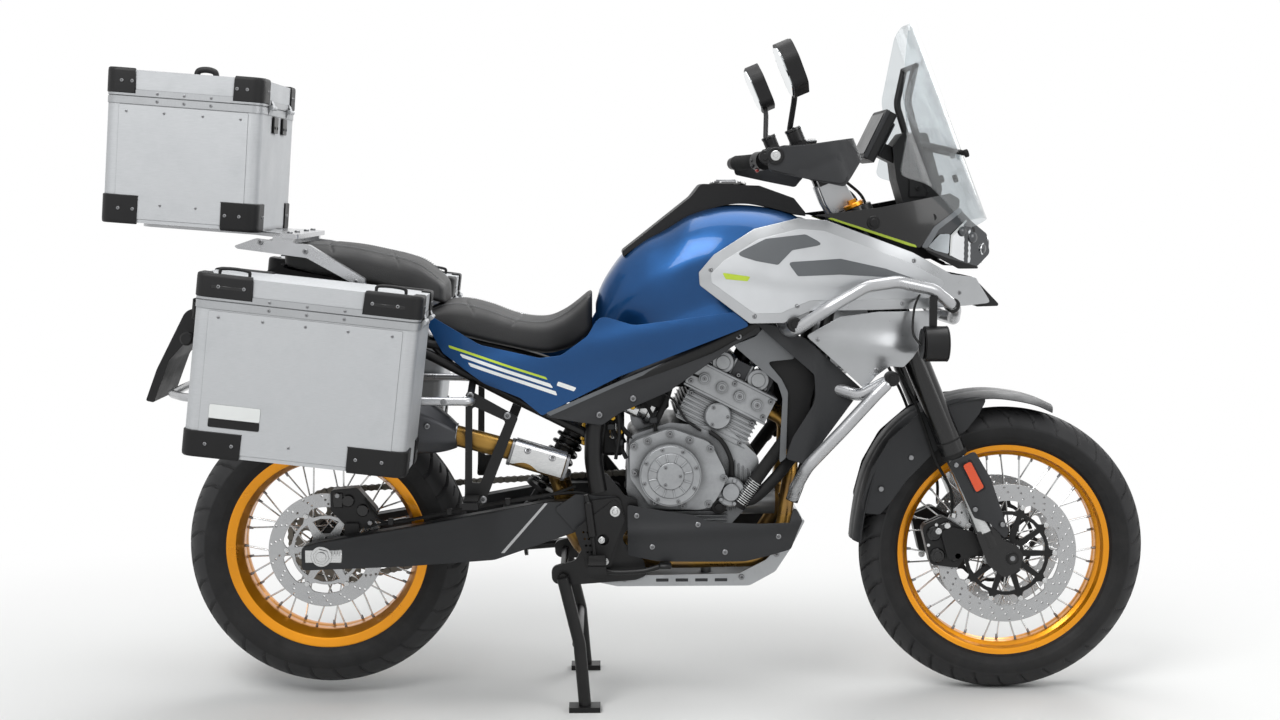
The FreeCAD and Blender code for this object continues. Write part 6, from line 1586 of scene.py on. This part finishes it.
# Crash bars: end caps, clamps and lamps
made("crash_bar_joints", black_satin, *[
    ("pin", x, z, y + low, y + high, radius, sides, bevel)
    for x, y, z in ((324, 232, 868), (533, 250, 752), (668, 214, 908))
    for low, high, radius, sides, bevel in ((-12, 14, 16, 32, 2.5), (13, 17, 8, 6, 0.8))], both=True)
for side, label in SIDES:
    y, lens = side * 262, Pile()
    lens.grid([[about((y, 828), radius, a, x) for a in turns(48)] for radius, x in (
        (35, 645.5), (34, 648), (26, 650.5), (14, 651.6), (2, 652))], caps=True)
    lens.points = [Vector((p.y, p.x, p.z)) for p in lens.points]
    lens.done("fog_lens_" + label, reflector, angle=60)
    made("fog_ring_" + label, black_satin, *[
        ("rod", (602 - 4 * k, y, 828), (604 - 4 * k, y, 828), 37 - 2 * k, 40, 0.6) for k in range(3)],
        ("rod", (646, y, 828), (650, y, 828), 38.5, 48, 1.4))
    made("fog_wire_" + label, plastic, ("hose", [
        (594, side * 258, 824), (580, side * 240, 850), (584, side * 226, 900), (600, side * 200, 930)],
                                        2.6, 24, 8),
        angle=50)

# Headlight: clear cover over bright inner shapes
lamp_y = curve((610, 100), (650, 97), (690, 90), (720, 82), (760, 58), (790, 40), (800, 34))
for name, outline, lift, thick, material, step, bevel in (
        ("lamp_side", [(636, 1030, 3), (662, 1058, 8), (686, 1059, 4), (684, 1014, 4), (652, 1022, 4)],
         1.6, 1.0, lens_clear, 7, 0.2),
        ("lamp_bowl", [(690, 1056, 3), (724, 1086, 4), (736, 1066, 6), (744, 1038, 6), (764, 1014, 4),
                       (775, 1010, 4),
                       (756, 986, 6), (708, 1001, 8), (688, 1011, 4)], 1.2, 1.0, reflector, 7, 0.2),
        ("lamp_dark", [(730, 1084, 3), (758, 1062, 4), (776, 1044, 4), (780, 1020, 4), (768, 1018, 4),
                       (750, 1040, 6),
                       (742, 1066, 6)], 1.6, 1.0, black_gloss, 6, 0.2),
        ("lamp_line", [(688, 1056, 1), (723, 1090, 1), (726, 1087, 1), (692, 1054, 1), (689, 1010, 1),
                       (686, 1010, 1)],
         2.6, 1.2, white_band, 6, 0.2),
        ("lamp_sill", [(628, 1026, 2), (684, 1004, 8), (757, 985, 6), (757, 980, 4), (707, 981, 10),
                       (636, 1018, 6)],
         2.4, 1.2, plastic, 8, 0.3)):
    skin(name, outline, lambda x, z: lamp_y(x) + lift, thick, material, step, bevel)
for side, label in SIDES:
    made("lamp_lenses_" + label, lamp_glass, *[
        ("dome", (x, side * (lamp_y(x) + 3), z), (0.5, side * 0.86, 0), r, r * 0.5, 7, 6, 32, 1, 0.2)
        for x, z, r in ((742, 1050, 13), (716, 1064, 11))], angle=60)
skin("lamp_trim", [(614, 1030, 3), (643, 1076, 8), (704, 1118, 4), (711, 1109, 3), (654, 1069, 8),
                   (630, 1029, 3)],
     lambda x, z: max(lamp_y(x) + 3, cockpit_surface(x, z) - 1), 4, grey_band, 8, 0.8)


# Handlebar: rubber grips, end weights, switches, reservoirs and cables
def handlebar():
    top = CLAMP_TOP
    grips, ends, boxes, red, caps = (Pile(fork_place) for _ in range(5))
    up, back = Vector(UP), Vector((-1, 0, 0))
    for side in (-1, 1):
        inner, outer = Vector((-152, side * 305, top + 170)), Vector((-197, side * 424, top + 185))
        along = (outer - inner).normalized()
        for k in range(23):
            a = inner + along * (6 + 4.9 * k)
            grips.rod(a, a + along * 3.2, 18.4, 28, 0.8)
        grips.rod(inner + along, inner + along * 5, 22, 32, 1.5)
        ends.rod(outer - along, outer + along * 16, 15, 32, 2.5)
        ends.rod(outer + along * 15, outer + along * 19, 8, 6, 1)
        switch, base = inner - along * 34, inner - along * 18
        for dz, dx, size in ((9, 18, 5), (-4, 22, 4.4), (-15, 16, 4)):
            at = base + up * dz + back * dx
            boxes.rod(at, at + back * 6, size, 16, 1)
        at = base + up * (15 if side < 0 else -16) + back * 14
        red.rod(at, at + back * 8 + up * (4 if side < 0 else -2), 5.0, 20, 1.2)
        at = switch + Vector((30, side * -12, 44))
        caps.rod(at, at + up * 7, 18.5, 32, 1.5)
        for dy in (-12, 12):
            boxes.rod(at + Vector((0, dy, 6)), at + Vector((0, dy, 8.4)), 3, 12, 0.5)
    for name, pile, material in (("grip_rings", grips, grip_rubber), ("bar_ends", ends, black_satin),
                                 ("switch_buttons", boxes, plastic_grey), ("switch_accents", red, red_bit),
                                 ("reservoir_caps", caps, black_gloss)):
        pile.done(name, material, "steering")
    risers = Pile(fork_place)
    for side in (-1, 1):
        risers.grid([[(x, side * y, z) for x, z in (
            (-75 - grow, top + 2), (-17 + grow, top + 2), (-24 + grow, top + 58), (-31 + grow, top + 70),
            (-80 - grow, top + 70), (-80 - grow, top + 30))]
                     for y, grow in ((28, 0), (30, 1.4), (56, 1.4), (58, 0))],
            caps=True)
    risers.done("bar_risers", silver, "steering")
    up_fork = (-math.sin(RAKE), 0, math.cos(RAKE))
    on_fork("bar_clamps", black_satin, ("box", (-82, 29, top + 86), (-28, 57, top + 104), 4), *[
        ("bolt", (x, y, top + 104), up_fork, 4.6, 4) for x in (-74, -36) for y in (35, 51)])
    on_fork("bar_cables", grip_rubber, *[
        ("hose", [(-90, y0, top + 158 - drop), (-58, y0 * 0.76, top + 118), (-26, y0 * 0.42, top + 62),
                  (0, side * 62, top + 14), (-2, side * 60, top - 40), (0, side * 60, top - 90)],
         3.8 - 0.06 * drop, 60, 10)
         for side, y0, drop in ((-1, -238, 6), (-1, -228, 16), (1, 238, 4), (1, 226, 14))],
        both=False, angle=50)
    nuts = Pile(fork_place, True)
    nuts.rod((LEG_X, LEG_Y, 868), (LEG_X, LEG_Y, 878), 23, 36, 2)
    nuts.rod((LEG_X, LEG_Y, 877), (LEG_X, LEG_Y, 886), 10, 6, 1)
    # From here on one side only
    nuts.sides = (1,)
    nuts.rod((-43, 0, top), (-43, 0, top + 8), 19, 6, 1.5)
    nuts.done("fork_caps", gold, "steering")
    on_fork("fork_stanchions", bright_steel, ("rod", (LEG_X, LEG_Y, 78), (LEG_X, LEG_Y, 268), 22.2, 40, 0.4))
    on_fork("fork_seals", grip_rubber, ("rod", (LEG_X, LEG_Y, 262), (LEG_X, LEG_Y, 274), 29.4, 40, 1.5),
            ("rod", (LEG_X, LEG_Y, 300), (LEG_X, LEG_Y, 304), 28.8, 40, 0.5))


handlebar()
handguard_y = curve((-206, 447), (-150, 451), (-100, 447), (-60, 438), (-34, 414), (-18, 396), (-8, 330))
skin("handguard_face", [
    (x, CLAMP_TOP + z, radius) for x, z, radius in (
        (-204, 160, 8), (-196, 203, 10), (-110, 175, 20), (-30, 154, 10), (-22, 120, 10), (-78, 76, 12),
        (-140, 113, 30))], lambda x, z: handguard_y(x) + 1.5 - 2.5 * bulge(z, CLAMP_TOP + 128, 9), 3,
     plastic_grey, 8,
     body="steering", place=fork_place)
end_y, end_z = handguard_y(-190), CLAMP_TOP + 182
for name, material, rods in (
        ("handguard_end_rings", black_satin, ((2, 7, 17, 36, 1.5),)),
        ("handguard_end_bolts", bright_steel, ((6, 9, 10, 30, 1), (8.6, 10, 5, 6, 0.5)))):
    on_fork(name, material, *[("pin", -184, end_z, end_y + low, end_y + high, *rest)
                              for low, high, *rest in rods])

# Mirror glass, display face, fuel cap and screen hardware
for side, label in SIDES:
    face = rounded([(side * y, z, 22) for y, z in (
        (306, 1155), (306, 1222), (333, 1251), (398, 1246), (412, 1213), (399, 1164), (350, 1144))], 4)
    slab("mirror_glass_" + label, [face], -94.6, -91.6, mirror_face, "steering", 0.6,
         place=lambda x, y, z: fork_place(y, x, z))
    on_fork("mirror_joints_" + label, black_satin,
            ("rod", (-118, side * 250, 1034), (-118, side * 252, 1052), 10, 20, 1.5),
            ("rod", (-76, side * 338, 1160), (-74, side * 344, 1180), 9, 20, 1.5), both=False)


def display_place(x, y, z):
    c, s = math.cos(DISPLAY_LEAN), math.sin(DISPLAY_LEAN)
    return Vector((528 + x * c + z * s, y, 1275 - x * s + z * c)) * MM


slab("display_glass", [rounded([(-86, -50, 5), (86, -50, 5), (86, 50, 5), (-86, 50, 5)], 4)], -16.2, -13.6,
     screen_face, place=lambda y, x, z: display_place(x, y, z))
made("display_bezel", plastic_grey, *[("box", (-14.5, y - 1.4, -57), (-5, y + 1.4, 57), 0.8)
                                      for y in (-92.6, 92.6)],
     *[("box", (-14.5, -90, z - 1.2), (-5, 90, z + 1.2), 0.8) for z in (-58, 58)],
     *[("box", (13, y - 20, -40), (20, y + 20, 40), 3) for y in (-60, 60)], place=display_place)
made("filler_ring", black_gloss, ("rod", (196, 0, 1166), (196, 0, 1173), 42, 48, 2))
made("filler_cap", bolt_steel, ("rod", (196, 0, 1172), (196, 0, 1177), 31, 48, 1.5),
     ("box", (170, -9, 1176), (214, 9, 1180), 1.5))
made("filler_bolts", bright_steel, *[("bolt", (*polar(36.5, a, 196), 1172.6), UP, 3, 2.4) for a in turns(6)])
made("screen_grommets", grip_rubber, *[("rod", (x - 6, y, z), (x + 3, y + 0.4, z + 3), 9, 24, 1.5)
                                       for x, y, z in (
    (724, 76, 1236), (700, 78, 1180))], both=True)
made("screen_tower", plastic, ("box", (600, 48.5, 1140), (640, 52, 1262), 2),
     ("rod", (640, 40, 1150), (616, 60, 1262), 10.5, 20, 1.5),
     *[("bolt", (620, 52, z), OUT, 5, 3.4) for z in (1160, 1240)], both=True)

# Brakes: calipers and hoses
on_fork("caliper_covers", black_gloss, *[
    ("pin", x, z, y0, y1, radius, sides, bevel) for x, z in ((-150, 62), (-138, 112))
    for y0, y1, radius, sides, bevel in ((82, 90, 17, 32, 2.5), (89, 92, 10, 24, 1))],
    ("box", (-124, 83, 34), (-92, 88, 126), 3))
on_fork("caliper_pins", bright_steel, *[
    ("pin", x, z, y0, y1, radius, sides, bevel) for y0, y1, radius, sides, bevel, spots in (
        (87, 93, 8, 6, 1, ((-108, 44), (-104, 118))), (82, 87, 4, 14, 0.6, ((-160, 92), (-126, 128))),
        (84, 93, 7.5, 24, 1, ((-127, 114), (-166, 32))), (92.5, 94, 4, 6, 0.4, ((-127, 114), (-166, 32))))
    for x, z in spots], ("rod", (-84, 84, 128), (-78, 84, 138), 7, 16, 1))
on_fork("front_brake_hoses", grip_rubber, ("hose", [
    (-86, 84, 132), (-66, 84, 190), (-72, 84, 270), (-66, 84, 400), (-74, 88, 520), (-66, 92, 600),
    (-56, 92, 668)],
    3.6, 90, 10), angle=50)
made("rear_caliper_cover", black_gloss, *[("pin", x, z, -91, -98, 14, 28, 2) for x, z in (
    (-660, 462), (-628, 440))], ("box", (-694, -95, 446), (-672, -91, 480), 2))
made("rear_caliper_pins", bolt_steel, *[("pin", x, z, -91, -98, 6, 6, 0.8) for x, z in (
    (-684, 474), (-612, 412))])

# Skid plate ribs and bolts, carrier slots, tail trim
made("skid_ribs", aluminium_band, *[
    ("box", (-40, y - 5, 269.4), (220, y + 5, 273), 1.4) for y in (-84, -42, 0, 42, 84)])
# Dark strips lying on the skid plate: painted shade where its slots open.
made("skid_slots", engine_dark, *[("box", (x, 129.4, 282), (x + 28, 130.8, 289), 0.6)
                                  for x in (30, 74, 118, 162)],
     both=True)
side_bolts("skid_bolts", [(-40, 129.6, 288), (222, 129.6, 292), (300, 129.6, 344)], 6, 4)
# Dark strips lying on the carrier: painted shade where its slots open.
made("carrier_slots", engine_dark, *[("box", (u, 40, -0.6), (u + 18, 84, 0.5), 0.3)
                                     for u in range(120, 321, 50)],
     place=carrier, both=True)
made("carrier_bolts", bolt_steel, *[("bolt", (u, y, 0), UP, 6, 4)
                                    for u, y in ((396, 150), (396, 60), (100, 90))],
     place=carrier, both=True)
side_bolts("carrier_arm_bolts", [(-826, 181.6, 1044), (-730, 181.6, 1024), (-622, 181.6, 958)], 6, 4)
side_bolts("rack_bolts", [(-430, 249, 704), (-640, 249, 708), (-900, 249, 712), (-700, 249, 866)], 7, 1.5)
made("rear_blinkers", plastic, ("rod", (-990, 96, 830), (-992, 128, 832), 6, 14, 1),
     ("rod", (-992, 126, 832), (-994, 172, 834), 15, 28, 4), both=True)
made("rear_blinker_glass", orange_lens, ("rod", (-1004, 136, 833), (-1010, 137, 833), 10, 24, 2, 8),
     ("rod", (-1003, 156, 834), (-1009, 157, 834), 10, 24, 2, 8), both=True)

# Front frame members and the liners inside the shrouds
skin("frame_front_plate", [
    (198, 817, 4), (247, 836, 20), (270, 862, 6), (300, 838, 6), (336, 800, 4), (331, 786, 4), (273, 780, 6),
    (305, 742, 20), (320, 713, 20), (317, 566, 8), (302, 552, 4), (308, 699, 20), (297, 731, 10)],
    lambda x, z: 160 + 0.02 * (z - 700), 5, frame_grey, 9, 1.4)
skin("shroud_liner", [
    (270, 782, 4), (332, 794, 4), (384, 742, 6), (372, 690, 10), (358, 588, 6), (320, 566, 4), (318, 700, 20),
    (300, 745, 10)], lambda x, z: 148, 3, plastic, 12, 0.8)
made("coolant_hoses", grip_rubber, ("hose", [
    (356, 128, 656), (330, 132, 620), (264, 134, 530), (238, 134, 490), (214, 132, 452)], 15, 44, 18),
    both=True, angle=50)
made("hose_coils", bright_steel, *[
    ("rod", (x, 134, z), (x - 1.6, 134, z - 2.3), 17.4, 24, 0.8)
    for x, z in ((252 - 32 * k / 11, 510 - 46 * k / 11) for k in range(12))], both=True)

# Headlight front: projector lenses in bright bowls, and the light strips over them
bowls, glass = Pile(both=True), Pile(both=True)
for x, y, z, r, turn in ((786, 19, 1034, 14, 0.1), (771, 53, 1024, 11, 0.75)):
    at, nose = Vector((x, y, z)), Vector((1, turn, -0.05)).normalized()
    bowls.rod(at - nose * 6, at, r + 3, 36, 1)
    glass.dome(at - nose * 0.5, nose, r, 5)
bowls.done("lamp_bowls", reflector)
glass.done("lamp_front_lenses", lamp_glass, angle=60)
made("lamp_strips", white_band, ("hose", [(754, 8, 1078), (752, 36, 1074), (742, 60, 1062)], 3, 14, 8, False),
     ("hose", [(776, 6, 996), (768, 40, 994), (748, 64, 996)], 2.4, 14, 8, False), both=True, angle=50)
on_fork("axle_clamp_rings", black_satin, ("pin", 0, 0, 119, 123, 21, 40, 1),
        ("pin", 0, 0, 122, 126, 15, 40, 1))
on_fork("axle_nuts", bolt_steel, ("pin", 0, 0, 125, 127.5, 9, 6, 0.6),
        *[("bolt", (-24, 119, z), OUT, 4.2, 3) for z in (-14, 16)])

# Behind the engine: airbox, throttle bodies, wiring looms and their plugs
made("airbox", plastic, ("box", (-78, -96, 662), (60, 96, 742), 10),
     ("box", (40, -90, 716), (150, 90, 786), 10),
     ("box", (-92, -84, 560), (-40, 84, 672), 8))
made("throttle_bodies", bright_steel, ("rod", (-30, 62, 690), (18, 62, 664), 31, 40, 2),
     ("rod", (14, 62, 666), (26, 62, 660), 36, 40, 2), ("rod", (-44, 104, 682), (-8, 104, 664), 16, 30, 2),
     ("rod", (-60, 104, 604), (-60, 104, 640), 14, 24, 2), both=True)
made("wiring_looms", grip_rubber,
     ("hose", [(-86, 92, 668), (-70, 112, 640), (-56, 118, 600), (-36, 118, 560)], 5, 30, 10),
     ("hose", [(-20, 104, 700), (10, 116, 676), (26, 120, 640), (30, 118, 610)], 4, 30, 10),
     ("hose", [(60, 98, 742), (90, 118, 752), (128, 122, 742), (160, 116, 716)], 3.4, 30, 10), both=True,
     angle=50)
made("loom_plugs", plastic_grey, *[("box", (x - 9, 108, z - 7), (x + 9, 126, z + 7), 2) for x, z in (
    (-70, 632), (-52, 596), (24, 646))], both=True)
made("banjo_bolts", reservoir_gold, *[("pin", x, z, 112, 126, 6.4, 6, 1) for x, z in (
    (-66, 652), (-22, 676), (-50, 620))], both=True)


# The picture: pale floor, soft light and the camera of the photograph
def lit(tree, kind, colour, strength=1.0):
    """An emission or background shader."""
    item = tree.nodes.new(kind)
    item.inputs["Color"].default_value, item.inputs["Strength"].default_value = colour, strength
    return item.outputs[0]


def seen_through(tree):
    """1 for rays of the camera, of reflections and of clear sheets, and 0 for others."""
    rays = tree.nodes.new("ShaderNodeLightPath").outputs
    result = rays["Is Camera Ray"]
    for name in ("Is Glossy Ray", "Is Transmission Ray"):
        item = tree.nodes.new("ShaderNodeMath")
        item.operation = "MAXIMUM"
        feed(tree, item.inputs[0], result)
        feed(tree, item.inputs[1], rays[name])
        result = item.outputs[0]
    return result


def linked(name, data):
    thing = bpy.data.objects.new(name, data)
    bpy.context.scene.collection.objects.link(thing)
    return thing


def aimed(thing, at, aim):
    thing.location = at
    thing.rotation_euler = (Vector(aim) - Vector(at)).to_track_quat("-Z", "Y").to_euler()
    return thing


def stage():
    white = (1, 1, 1, 1)
    tone = Nodes("floor")
    tone.set(Base_Color=tone.mix(tone.noise(0.6, 3), rgb("dcdcda"), rgb("e2e2e0")), Roughness=0.9,
             Normal=tone.bump(tone.noise(90, 3), 0.05, 0.001))
    spot = tone.add("ShaderNodeVectorMath", Vector=tone.scaled((0.62, 1, 1)))
    spot.operation = "LENGTH"
    away = tone.add("ShaderNodeMapRange", Value=spot.outputs["Value"], From_Min=0.55, From_Max=1.9)
    away.interpolation_type = "SMOOTHSTEP"
    share = tone.sums("MULTIPLY", seen_through(tone.tree), away.outputs["Result"])
    tone.surface(blended(tone.tree, share, tone.shader.outputs[0], lit(tone.tree, "ShaderNodeEmission", white)))
    steps, bend = 12, 2.5
    profile = [(-9.0, 0), (5, 0)]
    for k in range(1, steps + 1):
        profile.append(polar(bend, math.pi / 2 * (k / steps - 1), 5, bend))
    profile.append((5 + bend, 8))
    mesh = bpy.data.meshes.new("floor")
    mesh.from_pydata([(x, y, z) for y, z in profile for x in (-9, 9)], [],
                     [(2 * k, 2 * k + 1, 2 * k + 3, 2 * k + 2) for k in range(len(profile) - 1)])
    mesh.polygons.foreach_set("use_smooth", [True] * len(mesh.polygons))
    mesh.materials.append(tone.material)
    things = [linked("stage_floor", mesh)]
    for name, at, aim, size, power in (
            ("key", (-2.0, -3.4, 4.4), (0, 0, 0.7), 2.6, 190),
            ("fill", (3.8, -3.2, 2.4), (0.2, 0, 0.7), 2.4, 48),
            ("top", (0.2, 0.6, 4.6), (0, 0, 0.8), 3.6, 130), ("rim", (2.4, 3.2, 2.8), (0, 0, 0.9), 2.2, 70)):
        light = bpy.data.lights.new(name, "AREA")
        light.energy, light.size = power, size
        things.append(aimed(linked("light_" + name, light), at, aim))
    world = bpy.data.worlds.new("world")
    world.use_nodes = True
    tree = world.node_tree
    sky = tree.nodes["Background"]
    sky.inputs["Color"].default_value, sky.inputs["Strength"].default_value = (0.78, 0.82, 0.88, 1), 0.32
    shown = blended(tree, seen_through(tree), sky.outputs[0], lit(tree, "ShaderNodeBackground", white))
    tree.links.new(shown, tree.nodes["World Output"].inputs["Surface"])
    bpy.context.scene.world = world
    # The photograph's camera: its distance, its height, and the pixels from its axis to the picture's middle
    lens = bpy.data.cameras.new("camera")
    lens.lens, lens.sensor_width = 48.15, 36
    focal_pixels, distance, across, height = 1712, 3.9, -0.094, 1.156
    aim = (across + distance * 40 / focal_pixels, 0, height - distance * 170 / focal_pixels)
    eye = aimed(linked("camera", lens), (across, -distance, height), aim)
    bpy.context.scene.camera = eye
    bpy.context.scene.view_settings.view_transform = "Standard"
    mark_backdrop(*things, eye)


stage()
low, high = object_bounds()
